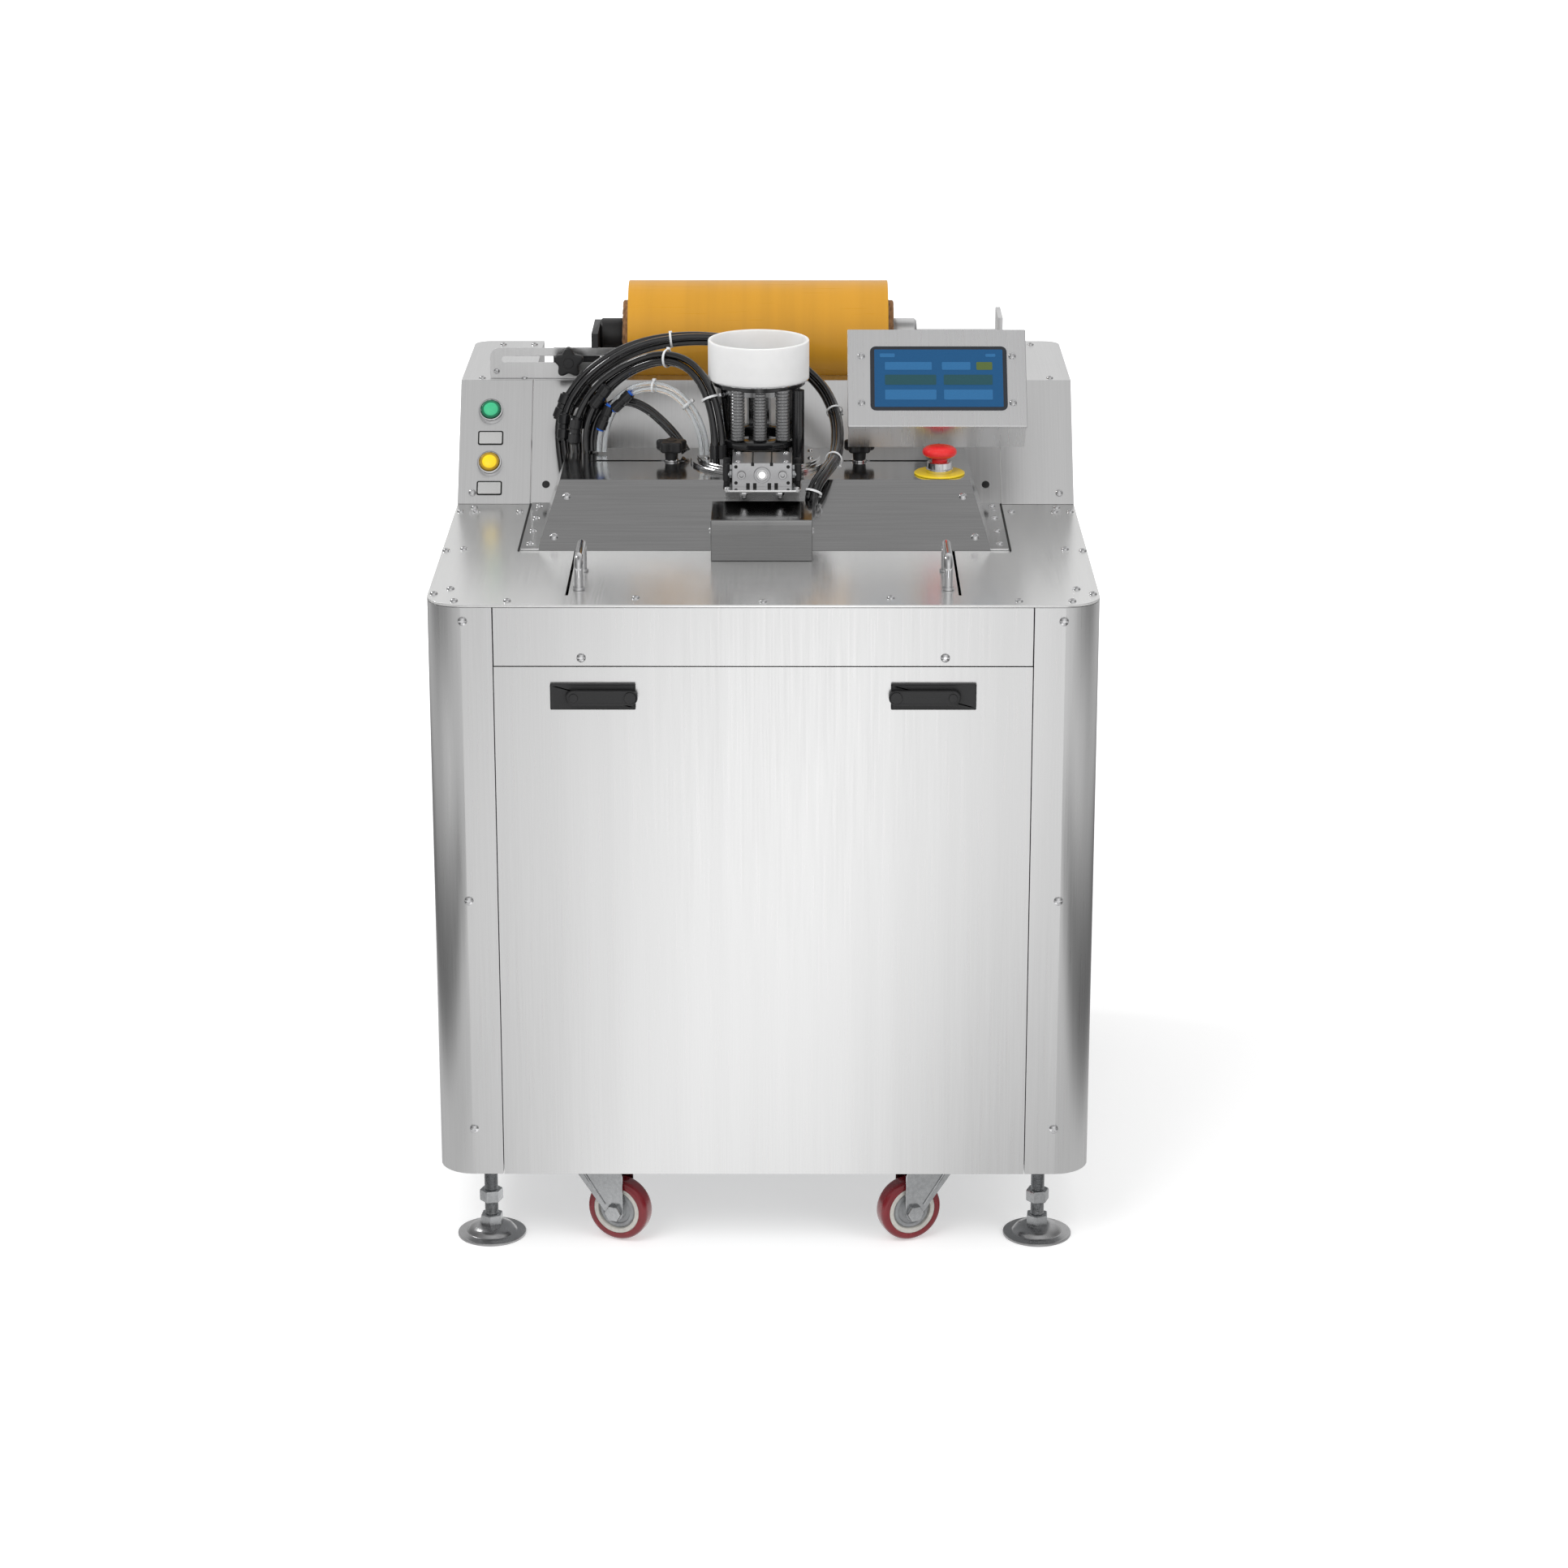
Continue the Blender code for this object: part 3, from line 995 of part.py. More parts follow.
def film_bay():
    """The film roll on its core, the slotted plate, the sliding chuck carrier, its knob and the idler."""
    centre = on_deck(ROLL_X, ROLL_DEPTH, ROLL_Z)
    along = towards(centre, (1, 0, 0))
    for name, outer, inner, length, finish, steps in (
        ("film_roll", ROLL_RADIUS, CORE_RADIUS + GAP, ROLL_LENGTH, "amber_film", 40),
        ("film_core", CORE_RADIUS, CORE_BORE, CORE_LENGTH, "cardboard", 32),
    ):
        half = length / 2
        turned(name, [(outer, half), (outer, -half), (inner, -half), (inner, half)], along, finish, steps,
               closed=True)

    low = CONSOLE_HEIGHT + GAP
    foot_top = low + 0.002
    outline = rectangle((SLIDE_X[0], DECK_TOP + low), (SLIDE_X[1], DECK_TOP + low + 0.01))[:2]
    outline += arc((SLIDE_X[1] - 0.008, DECK_TOP + SLIDE_TOP - 0.008), 0.008, 0, 90, 4)
    outline += arc((SLIDE_X[0] + 0.012, DECK_TOP + SLIDE_TOP - 0.012), 0.012, 90, 180, 4)
    slot = rounded((SLIDE_SLOT[0], DECK_TOP + SLIDE_SLOT_Z - 0.004),
                   (SLIDE_SLOT[1], DECK_TOP + SLIDE_SLOT_Z + 0.004), 0.0039, 4)
    upright = plate("roll_slide_plate", outline, 0.002,
                    Matrix.Translation((0, depth(SLIDE_DEPTH + 0.001), 0)) @ ALONG_Y, "stainless_panel",
                    holes=(slot,))
    foot = box("slide_foot", on_deck(SLIDE_X[0] + 0.001, SLIDE_DEPTH + 0.0012, low + 0.0001),
               on_deck(SLIDE_X[1] - 0.001, SLIDE_DEPTH + 0.018, foot_top))
    join(upright, foot)

    carrier_front = SLIDE_DEPTH + 0.002 + GAP
    arm_x = ROLL_X - CORE_LENGTH / 2 - 0.001 - HUB_LENGTH
    carrier = box("roll_carrier", on_deck(SLIDE_KNOB_X - 0.020, carrier_front, SLIDE_SLOT_Z - 0.012),
                  on_deck(arm_x + 0.002, carrier_front + 0.012, SLIDE_SLOT_Z + 0.012), "black_plastic")
    arm = box("carrier_arm", on_deck(arm_x - 0.0075, carrier_front + 0.001, SLIDE_SLOT_Z - 0.009),
              on_deck(arm_x + 0.0005, ROLL_DEPTH + 0.016, ROLL_Z + 0.018))
    chuck = turned("roll_chuck", spindle_profile(CHUCK_LENGTH + HUB_LENGTH + 0.005),
                   towards(on_deck(ROLL_X - CORE_LENGTH / 2 + CHUCK_LENGTH, ROLL_DEPTH, ROLL_Z), (-1, 0, 0)),
                   steps=20)
    stud = rod("carrier_stud", on_deck(SLIDE_KNOB_X, SLIDE_DEPTH, SLIDE_SLOT_Z),
               on_deck(SLIDE_KNOB_X, carrier_front + 0.004, SLIDE_SLOT_Z), STUD_RADIUS, sides=12)
    join(carrier, arm, chuck, stud)
    star_knob("roll_slide_knob", towards(on_deck(SLIDE_KNOB_X, SLIDE_DEPTH - GAP, SLIDE_SLOT_Z), (0, -1, 0)))

    half = CONSOLE_INNER + SHEET
    body = ROLL_LENGTH / 2
    idler = [
        (0, half), (IDLER_SHAFT, half), (IDLER_SHAFT, body), (IDLER_RADIUS, body), (IDLER_RADIUS, -body),
        (IDLER_SHAFT, -body), (IDLER_SHAFT, -half), (0, -half),
    ]
    turned("film_idler", idler, towards(on_deck(0, IDLER_DEPTH, IDLER_Z), (1, 0, 0)), "aluminium", steps=16)


def screen_frame():
    """The screen case's frame: X across, Y up along the face, Z out of the face, at its lower edge."""
    up = Vector((0, math.sin(SCREEN_TILT), math.cos(SCREEN_TILT)))
    out = Vector((0, -math.cos(SCREEN_TILT), math.sin(SCREEN_TILT)))
    place = on_deck(0, *SCREEN_FRONT)
    return Matrix.Translation(place) @ Matrix((up.cross(out), up, out)).transposed().to_4x4()


def screen():
    """The control screen's case with two ears and a pin, and the arm that its knuckle turns on."""
    frame = screen_frame()
    pivot_local = Vector((PIVOT_X, PIVOT_ALONG, -SCREEN_THICKNESS - PIVOT_BEHIND))
    pivot = frame @ pivot_local
    case = box("hmi_case", (SCREEN_X[0], 0, -SCREEN_THICKNESS), (SCREEN_X[1], SCREEN_LENGTH, 0), "grey_case",
               edge=0.001)
    ears = []
    half = KNUCKLE_LENGTH / 2 + GAP
    for side, sign in SIDES.items():
        inner = PIVOT_X + sign * half
        outer = PIVOT_X + sign * (half + 0.005)
        outline = [(PIVOT_ALONG + 0.010, -SCREEN_THICKNESS + 0.002),
                   (PIVOT_ALONG - 0.010, -SCREEN_THICKNESS + 0.002)]
        outline += arc((pivot_local.y, pivot_local.z), 0.009, 180, 360, 6)
        ears.append(plate("ear_" + side, outline[::-1], 0.005,
                          Matrix.Translation(((inner + outer) / 2, 0, 0)) @ ALONG_X))
    reach = half + 0.004
    ears.append(rod("hmi_pin", pivot_local - Vector((reach, 0, 0)), pivot_local + Vector((reach, 0, 0)),
                    PIVOT_PIN, sides=16))
    join(case, *ears)
    shift = Matrix.Translation(-pivot_local)
    for obj in (case, *ears):
        obj.data.transform(shift)
        obj.matrix_world = frame @ Matrix.Translation(pivot_local)

    height = pivot.z - DECK_TOP
    seat = Vector((PIVOT_X, depth(slope_depth(height)), pivot.z))
    half = KNUCKLE_LENGTH / 2
    arm = rod("hmi_arm", pivot - Vector((half, 0, 0)), pivot + Vector((half, 0, 0)), KNUCKLE_RADIUS, "zinc",
              sides=24)
    bar = rod("arm_bar", pivot + Vector((0, 0.006, 0)), seat - Vector((0, 0.006, 0)), 0.0075, sides=20)
    flange = plate("arm_flange", rounded((-0.022, -0.018), (0.022, 0.018), 0.005, 3), 0.004,
                   slope_frame(PIVOT_X, height, 0.002 + GAP))
    join(arm, bar, flange)
    cut(arm, rod("knuckle_bore", pivot - Vector((half + 0.01, 0, 0)), pivot + Vector((half + 0.01, 0, 0)),
                 PIVOT_PIN + 0.0003, sides=16))


def buttons():
    """The start and reset buttons on the console, and the emergency stop on the hood."""
    floor = 0.003
    bezel = [
        (0, floor), (CAP_RADIUS + 0.0004, floor), (CAP_RADIUS + 0.0004, BEZEL_HEIGHT),
        (BEZEL_RADIUS - 0.001, BEZEL_HEIGHT),
        (BEZEL_RADIUS, BEZEL_HEIGHT - 0.002), (BEZEL_RADIUS + 0.0005, 0), (0, 0),
    ]
    cap = [(0, 0.0110), (CAP_RADIUS - 0.002, 0.0106), (CAP_RADIUS, 0.0094), (CAP_RADIUS, 0.0064), (0, 0.0064)]
    for name, height, finish in (("start", START_Z, "green_cap"), ("reset", RESET_Z, "yellow_cap")):
        frame = slope_frame(BUTTON_X, height, GAP)
        turned(name + "_bezel", bezel, frame, "chrome", steps=20)
        turned(name + "_cap", cap, frame, finish, steps=20)
    place = Matrix.Translation(on_deck(ESTOP_X, ESTOP_DEPTH, HOOD_HEIGHT + GAP))
    base = [
        (0, 0.003), (0.0095, 0.003), (0.0095, 0.015), (0.0145, 0.015), (0.0145, 0.002), (0.030, 0.002),
        (0.030, 0), (0, 0),
    ]
    head = [
        (0, 0.0338), (0.012, 0.0333), (0.0175, 0.0315), (0.0205, 0.028), (0.0205, 0.024), (0.016, 0.0200),
        (0.009, 0.0195), (0.009, 0.0075), (0, 0.0075),
    ]
    turned("estop_base", base, place, "yellow_plate", steps=24)
    turned("estop_head", head, place, "red_plastic", steps=20)


def hoses():
    """The two bundles of air hose, each along its whole route."""
    for name, route, radius in (
        ("hose_bundle_front", FRONT_HOSES, FRONT_HOSE_RADIUS),
        ("hose_bundle_rear", REAR_HOSES, REAR_HOSE_RADIUS),
    ):
        tube(name, [on_deck(*point) for point in route], radius, "black_hose", 2)


# ---- inside the cabinet -------------------------------------------------------------------------
def wrapping_drive():
    """The lift cylinder and plunger, the twisting rotor, its motor and the motor's pulley."""
    x, y = HOPPER_X, depth(HOPPER_DEPTH)
    shelf_under = SHELF_TOP - SHELF_SHEET - GAP
    half = LIFT_SIDE / 2
    barrel = box("lift_cylinder", (x - half, y - half, shelf_under - LIFT_LENGTH),
                 (x + half, y + half, shelf_under),
                 "aluminium", edge=0.001)
    cut(barrel, rod("lift_bore", (x, y, shelf_under - LIFT_LENGTH + 0.010), (x, y, shelf_under + 0.01),
                    ROD_RADIUS + 0.0003, sides=20))
    top = DECK_TOP + PLUNGER_TOP
    rod_low = shelf_under - LIFT_LENGTH + 0.014
    plunger = [
        (0, top), (PLUNGER_RADIUS - 0.002, top), (PLUNGER_RADIUS, top - 0.002),
        (PLUNGER_RADIUS, top - PLUNGER_THICK),
        (ROD_RADIUS, top - PLUNGER_THICK), (ROD_RADIUS, rod_low), (0, rod_low),
    ]
    turned("lift_plunger", plunger, Matrix.Translation((x, y, 0)), "white_nylon", steps=16)

    low = SHELF_TOP + GAP
    rotor = [
        (ROTOR_HUB, ROTOR_TOP), (ROTOR_HUB, BELT_Z[1]), (ROTOR_PULLEY, BELT_Z[1]), (ROTOR_PULLEY, BELT_Z[0]),
        (ROTOR_HUB, BELT_Z[0]), (ROTOR_HUB, low), (ROTOR_BORE, low), (ROTOR_BORE, ROTOR_TOP),
    ]
    turned("twist_rotor", rotor, Matrix.Translation((x, y, 0)), "aluminium", steps=20, closed=True)

    half = MOTOR_SIDE / 2
    motor = box("twist_motor", (MOTOR_X - half, y - half, shelf_under - MOTOR_LENGTH),
                (MOTOR_X + half, y + half, shelf_under), "motor_black", edge=0.003)
    shaft_low = shelf_under - 0.030
    cut(motor, rod("motor_bore", (MOTOR_X, y, shaft_low - 0.002), (MOTOR_X, y, shelf_under + 0.01), 0.0085,
                   sides=16))
    pulley = [
        (0, BELT_Z[1]), (MOTOR_PULLEY, BELT_Z[1]), (MOTOR_PULLEY, BELT_Z[0]), (0.008, BELT_Z[0]),
        (0.008, shaft_low), (0, shaft_low),
    ]
    turned("motor_pulley", pulley, Matrix.Translation((MOTOR_X, y, 0)), "zinc", steps=16)


def electrical_box():
    """The control gear's sheet box on the base plate, with a cable entry in its top."""
    low = (GEAR_BOX_X[0], depth(GEAR_BOX_DEPTHS[0]), BASE_Z + BASE_PLATE + GAP)
    high = (GEAR_BOX_X[1], depth(GEAR_BOX_DEPTHS[1]), low[2] + GEAR_BOX_HEIGHT)
    case = box("electrical_box", low, high, "cabinet_grey", edge=0.002)
    inside = box("gear_box_inside", [v + GEAR_BOX_WALL for v in low], [v - GEAR_BOX_WALL for v in high])
    middle = ((low[0] + high[0]) / 2, (low[1] + high[1]) / 2)
    entry = rod("cable_entry", (*middle, high[2] - 0.01), (*middle, high[2] + 0.01), CABLE_ENTRY, sides=16)
    cut(case, inside, entry)


def build():
    """Makes every piece of the machine."""
    cabinet_frame()
    for side, sign in SIDES.items():
        side_skin(side, sign)
        console_block(side, sign)
    front_panels()
    deck()
    feet()
    casters()
    latches()
    hood()
    chute_cover()
    console_panel()
    rail_handles()
    feed_head()
    guided_cylinder()
    film_guides()
    film_bay()
    screen()
    buttons()
    hoses()
    wrapping_drive()
    electrical_box()


build()
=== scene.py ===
"""A film wrapping machine for single fruits: the finish and the fine shape of every piece.

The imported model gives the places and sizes. Each sub-assembly is a class that builds its meshes in the
machine's own frame: metres, +Z up, the operator at -Y. Depths run back from the front panel, and heights
on deck run up from the deck's top face.
"""

import json
import logging
import math
from dataclasses import dataclass, field
from enum import Enum

import bmesh
import bpy
from mathutils import Matrix, Vector, noise


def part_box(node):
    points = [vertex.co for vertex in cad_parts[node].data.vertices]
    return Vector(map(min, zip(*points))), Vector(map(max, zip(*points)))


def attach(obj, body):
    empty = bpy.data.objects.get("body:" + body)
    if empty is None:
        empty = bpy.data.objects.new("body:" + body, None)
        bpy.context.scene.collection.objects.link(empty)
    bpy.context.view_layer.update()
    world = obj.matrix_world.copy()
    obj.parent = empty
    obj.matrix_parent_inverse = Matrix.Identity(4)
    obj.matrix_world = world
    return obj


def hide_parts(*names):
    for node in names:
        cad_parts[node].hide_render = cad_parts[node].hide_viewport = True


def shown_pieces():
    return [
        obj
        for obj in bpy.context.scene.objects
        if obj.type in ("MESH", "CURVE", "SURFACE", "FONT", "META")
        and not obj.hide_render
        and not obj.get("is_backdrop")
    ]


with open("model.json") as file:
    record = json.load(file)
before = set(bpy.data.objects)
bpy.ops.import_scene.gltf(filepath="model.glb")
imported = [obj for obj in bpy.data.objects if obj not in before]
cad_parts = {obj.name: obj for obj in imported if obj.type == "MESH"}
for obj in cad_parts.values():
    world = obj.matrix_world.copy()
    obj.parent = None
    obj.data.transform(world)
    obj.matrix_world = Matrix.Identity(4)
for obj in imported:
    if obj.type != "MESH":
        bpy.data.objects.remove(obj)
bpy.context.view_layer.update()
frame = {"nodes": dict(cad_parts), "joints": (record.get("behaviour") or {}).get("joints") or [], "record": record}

LOG = logging.getLogger("wrapping_machine")
Colour = tuple[float, float, float]
Outline = list[tuple[float, float]]
Ramp = tuple[tuple[float, float], ...]
Point = Vector | tuple[float, float, float]

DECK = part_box("deck")
FRONT_Y = DECK[0].y
DECK_TOP = DECK[1].z
SIDES = {"left": -1, "right": 1}
ENDS = ("front", "rear")


# ---- places -------------------------------------------------------------------------------------
def at(x: float, depth: float, height: float) -> Vector:
    """The place of a point given across, by depth and by height on deck."""
    return Vector((x, FRONT_Y + depth, DECK_TOP + height))


def facing(place: Vector, direction: Point) -> Matrix:
    """The frame at a place whose Z looks along a direction."""
    return Matrix.Translation(place) @ Vector(direction).to_track_quat("Z", "Y").to_matrix().to_4x4()


def framed(place: Vector, up: Vector, out: Vector) -> Matrix:
    """The frame at a place whose Y looks up a face and whose Z looks out of it."""
    return Matrix.Translation(place) @ Matrix((up.cross(out), up, out)).transposed().to_4x4()


def joint_of(name: str) -> dict:
    """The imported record's joint of this name."""
    return next(joint for joint in frame["joints"] if joint["name"] == name)


# ---- outlines -----------------------------------------------------------------------------------
def arc(centre: tuple[float, float], radius: float, start: float, end: float, steps: int) -> Outline:
    """Points along an arc, its angles in degrees."""
    angles = [math.radians(start + (end - start) * i / steps) for i in range(steps + 1)]
    return [(centre[0] + radius * math.cos(a), centre[1] + radius * math.sin(a)) for a in angles]


def rounded(half_x: float, half_y: float, radius: float, steps: int = 5) -> Outline:
    """The outline of a rectangle with round corners, about its own middle.

    Args:
        half_x: half its width.
        half_y: half its height.
        radius: radius of the corners.
        steps: stretches in each corner.

    Returns:
        The outline's points.
    """
    points: Outline = []
    for quarter, (x, y) in enumerate(((1, 1), (-1, 1), (-1, -1), (1, -1))):
        centre = (x * (half_x - radius), y * (half_y - radius))
        points += arc(centre, radius, 90 * quarter, 90 * quarter + 90, steps)
    return points


def lobed(radius: float, lobes: int, wave: float, steps: int) -> Outline:
    """The outline of a lobed knob, one lobe pointing along +Y.

    Args:
        radius: reach of a lobe's tip.
        lobes: how many there are.
        wave: half the depth between lobes, as a share of the radius.
        steps: points round the outline.

    Returns:
        The outline's points.
    """
    points: Outline = []
    for i in range(steps):
        angle = 2 * math.pi * i / steps
        reach = radius * (1 - wave + wave * math.cos(lobes * angle))
        points.append((-reach * math.sin(angle), reach * math.cos(angle)))
    return points


def hexagon(across_flats: float) -> Outline:
    """The outline of a hexagon."""
    return arc((0, 0), across_flats / math.sqrt(3), 0, 300, 5)


def smooth_route(points: list[Vector], steps: int) -> list[Vector]:
    """A smooth curve through the points of a route.

    Args:
        points: the route's own points.
        steps: how many stretches lie between two of them.

    Returns:
        The points of a Catmull-Rom curve, both ends included.
    """
    padded = [2 * points[0] - points[1], *points, 2 * points[-1] - points[-2]]
    made: list[Vector] = []
    for a, b, c, d in zip(padded, padded[1:], padded[2:], padded[3:]):
        for i in range(steps):
            t = i / steps
            made.append(0.5 * (2 * b + (c - a) * t + (2 * a - 5 * b + 4 * c - d) * t * t
                               + (3 * b - a - 3 * c + d) * t ** 3))
    return made + [points[-1]]


# ---- finishes -----------------------------------------------------------------------------------
class Grain(Enum):
    """How often a surface's fine pattern repeats along X, Y and Z, per metre."""

    UPRIGHT = (520.0, 520.0, 9.0)
    LENGTHWISE = (520.0, 9.0, 9.0)
    ACROSS = (9.0, 520.0, 520.0)
    FINE = (900.0, 900.0, 900.0)
    MEDIUM = (260.0, 260.0, 260.0)
    COARSE = (70.0, 70.0, 70.0)


def greys(stops: Ramp) -> list[tuple[float, Colour]]:
    """The stops of a ramp whose colours are plain greys."""
    return [(place, (value, value, value)) for place, value in stops]


class Graph:
    """A short way to wire a node tree."""

    def __init__(self, tree: bpy.types.NodeTree) -> None:
        """Takes the tree that is to be wired."""
        self.tree = tree

    def link(self, source: bpy.types.NodeSocket, target: bpy.types.NodeSocket) -> None:
        """Joins two sockets."""
        self.tree.links.new(source, target)

    def ramp(self, source: bpy.types.NodeSocket, stops: list[tuple[float, Colour]]) -> bpy.types.NodeSocket:
        """Colours spread over a value.

        Args:
            source: the value.
            stops: places from 0 to 1, each with its colour.

        Returns:
            The colour.
        """
        node = self.tree.nodes.new("ShaderNodeValToRGB")
        elements = node.color_ramp.elements
        while len(elements) < len(stops):
            elements.new(0.5)
        for element, (place, colour) in zip(elements, stops):
            element.position = place
            element.color = (*colour, 1.0)
        self.link(source, node.inputs["Fac"])
        return node.outputs["Color"]

    def spread(self, source: bpy.types.NodeSocket, low: float, high: float, start: float = 0.3,
               end: float = 0.7) -> bpy.types.NodeSocket:
        """A value spread over another range.

        Args:
            source: the value.
            low: what comes out at start.
            high: what comes out at end.
            start: first value taken in.
            end: last value taken in.

        Returns:
            The new value.
        """
        node = self.tree.nodes.new("ShaderNodeMapRange")
        for key, value in (("From Min", start), ("From Max", end), ("To Min", low), ("To Max", high)):
            node.inputs[key].default_value = value
        self.link(source, node.inputs["Value"])
        return node.outputs["Result"]

    def calculate(self, operation: str, source: bpy.types.NodeSocket, *numbers: float) -> bpy.types.NodeSocket:
        """A value worked out from another and from up to two numbers.

        Args:
            operation: the sum's name.
            source: the value.
            numbers: the other terms.

        Returns:
            The result.
        """
        node = self.tree.nodes.new("ShaderNodeMath")
        node.operation = operation
        self.link(source, node.inputs[0])
        for place, number in enumerate(numbers, 1):
            node.inputs[place].default_value = number
        return node.outputs[0]

    def measure(self, operation: str, source: bpy.types.NodeSocket,
                against: tuple[float, float, float] = (0.0, 0.0, 0.0)) -> bpy.types.NodeSocket:
        """A number drawn from a place: its length, or its share along a direction.

        Args:
            operation: the measure's name.
            source: the place.
            against: the direction, where the measure has one.

        Returns:
            The number.
        """
        node = self.tree.nodes.new("ShaderNodeVectorMath")
        node.operation = operation
        node.inputs[1].default_value = against
        self.link(source, node.inputs[0])
        return node.outputs["Value"]

    def parts(self, source: bpy.types.NodeSocket) -> bpy.types.NodeOutputs:
        """The X, Y and Z of a place."""
        node = self.tree.nodes.new("ShaderNodeSeparateXYZ")
        self.link(source, node.inputs[0])
        return node.outputs

    def multiply(self, first: bpy.types.NodeSocket, second: bpy.types.NodeSocket) -> bpy.types.NodeSocket:
        """Two colours multiplied.

        Args:
            first: one colour.
            second: the other.

        Returns:
            The product.
        """
        mix = self.tree.nodes.new("ShaderNodeMix")
        mix.data_type = "RGBA"
        mix.blend_type = "MULTIPLY"
        mix.inputs["Factor"].default_value = 1.0
        self.link(first, mix.inputs[6])
        self.link(second, mix.inputs[7])
        return mix.outputs[2]

    def choose(self, switch: bpy.types.NodeSocket, off: bpy.types.NodeSocket,
               on: bpy.types.NodeSocket) -> bpy.types.NodeSocket:
        """One shader or another.

        Args:
            switch: 0 for off, 1 for on.
            off: the first shader.
            on: the second shader.

        Returns:
            The shader that results.
        """
        mix = self.tree.nodes.new("ShaderNodeMixShader")
        for source, target in zip((switch, off, on), mix.inputs):
            self.link(source, target)
        return mix.outputs[0]

    def seen(self) -> tuple[bpy.types.NodeSocket, bpy.types.NodeSocket]:
        """Whether a ray comes from the camera or through glass, and whether it is a reflection."""
        path = self.tree.nodes.new("ShaderNodeLightPath")
        either = self.tree.nodes.new("ShaderNodeMath")
        either.operation = "MAXIMUM"
        self.link(path.outputs["Is Camera Ray"], either.inputs[0])
        self.link(path.outputs["Is Transmission Ray"], either.inputs[1])
        return either.outputs[0], path.outputs["Is Glossy Ray"]


class Nodes(Graph):
    """A material's node tree, with its Principled shader and its Object coordinates."""

    def __init__(self, name: str) -> None:
        """Starts the material.

        Args:
            name: the material's name.
        """
        self.material = bpy.data.materials.new(name)
        self.material.use_nodes = True
        super().__init__(self.material.node_tree)
        self.shader = self.tree.nodes["Principled BSDF"]
        self.place = self.tree.nodes.new("ShaderNodeTexCoord").outputs["Object"]

    def noise(self, scale: tuple[float, float, float], detail: float = 3.0) -> bpy.types.NodeSocket:
        """A noise on Object coordinates.

        Args:
            scale: repeats per metre along X, Y and Z.
            detail: how many finer layers it has.

        Returns:
            The noise's value.
        """
        mapping = self.tree.nodes.new("ShaderNodeMapping")
        mapping.inputs["Scale"].default_value = scale
        texture = self.tree.nodes.new("ShaderNodeTexNoise")
        texture.inputs["Scale"].default_value = 1.0
        texture.inputs["Detail"].default_value = detail
        self.link(self.place, mapping.inputs["Vector"])
        self.link(mapping.outputs["Vector"], texture.inputs["Vector"])
        return texture.outputs["Fac"]

    def bump(self, source: bpy.types.NodeSocket, strength: float, height: float) -> None:
        """Raises the surface by a value.

        Args:
            source: the value.
            strength: share of the effect.
            height: rise in metres from 0 to 1.
        """
        node = self.tree.nodes.new("ShaderNodeBump")
        node.inputs["Strength"].default_value = strength
        node.inputs["Distance"].default_value = height
        self.link(source, node.inputs["Height"])
        self.link(node.outputs["Normal"], self.shader.inputs["Normal"])

    def set(self, **values: float) -> None:
        """Sets the shader's own sockets, an underscore standing for a space."""
        for key, value in values.items():
            self.shader.inputs[key.replace("_", " ")].default_value = value


@dataclass(frozen=True)
class Finish:
    """A surface: its colour, gloss, and the grain that varies both."""

    name: str
    colour: Colour
    rough: float
    metal: float = 0.0
    grain: Grain = Grain.MEDIUM
    shade: float = 0.12
    rough_spread: float = 0.06
    bump: float = 0.08
    height: float = 0.0002
    coat: float = 0.0
    clear: float = 0.0
    soft: float = 0.0
    glow: float = 0.0

    def build(self) -> bpy.types.Material:
        """The material, made once and found again by its name."""
        found = bpy.data.materials.get(self.name + "_finish")
        if found:
            return found
        nodes = Nodes(self.name + "_finish")
        fine = nodes.noise(self.grain.value)
        self.paint(nodes, fine)
        nodes.link(nodes.spread(fine, self.rough - self.rough_spread, self.rough + self.rough_spread),
                   nodes.shader.inputs["Roughness"])
        if self.bump:
            nodes.bump(fine, self.bump, self.height)
        nodes.set(Metallic=self.metal, Coat_Weight=self.coat, Transmission_Weight=self.clear)
        if self.soft:
            nodes.set(Subsurface_Weight=self.soft, Subsurface_Scale=0.02)
            nodes.shader.inputs["Subsurface Radius"].default_value = (1.0, 1.0, 1.0)
        if self.glow:
            nodes.shader.inputs["Emission Color"].default_value = (*self.colour, 1.0)
            nodes.set(Emission_Strength=self.glow)
        return nodes.material

    def darker(self, share: float) -> Colour:
        """The colour with a share of its light taken away."""
        return tuple(max(0.0, value * (1 - share)) for value in self.colour)

    def grained(self, nodes: Nodes, fine: bpy.types.NodeSocket) -> bpy.types.NodeSocket:
        """The colour in two shades that are mixed by the grain."""
        return nodes.ramp(fine, [(0.3, self.darker(self.shade)), (0.7, self.colour)])

    def paint(self, nodes: Nodes, fine: bpy.types.NodeSocket) -> None:
        """Colours the surface."""
        nodes.link(self.grained(nodes, fine), nodes.shader.inputs["Base Color"])


STREAK_WIDTH = 14
STREAK_SHADES: Ramp = ((0.35, 0.975), (0.65, 1.0))


@dataclass(frozen=True)
class WornMetal(Finish):
    """Sheet metal whose brushing also comes and goes in broad soft streaks, STREAK_WIDTH times its grain."""

    streak: Grain = Grain.COARSE

    def paint(self, nodes: Nodes, fine: bpy.types.NodeSocket) -> None:
        """Multiplies the fine grain by broad streaks.

        Args:
            nodes: the material in the making.
            fine: the grain's value.
        """
        broad = nodes.noise(tuple(value / STREAK_WIDTH for value in self.streak.value), 2.0)
        streaks = nodes.ramp(broad, greys(STREAK_SHADES))
        nodes.link(nodes.multiply(self.grained(nodes, fine), streaks), nodes.shader.inputs["Base Color"])


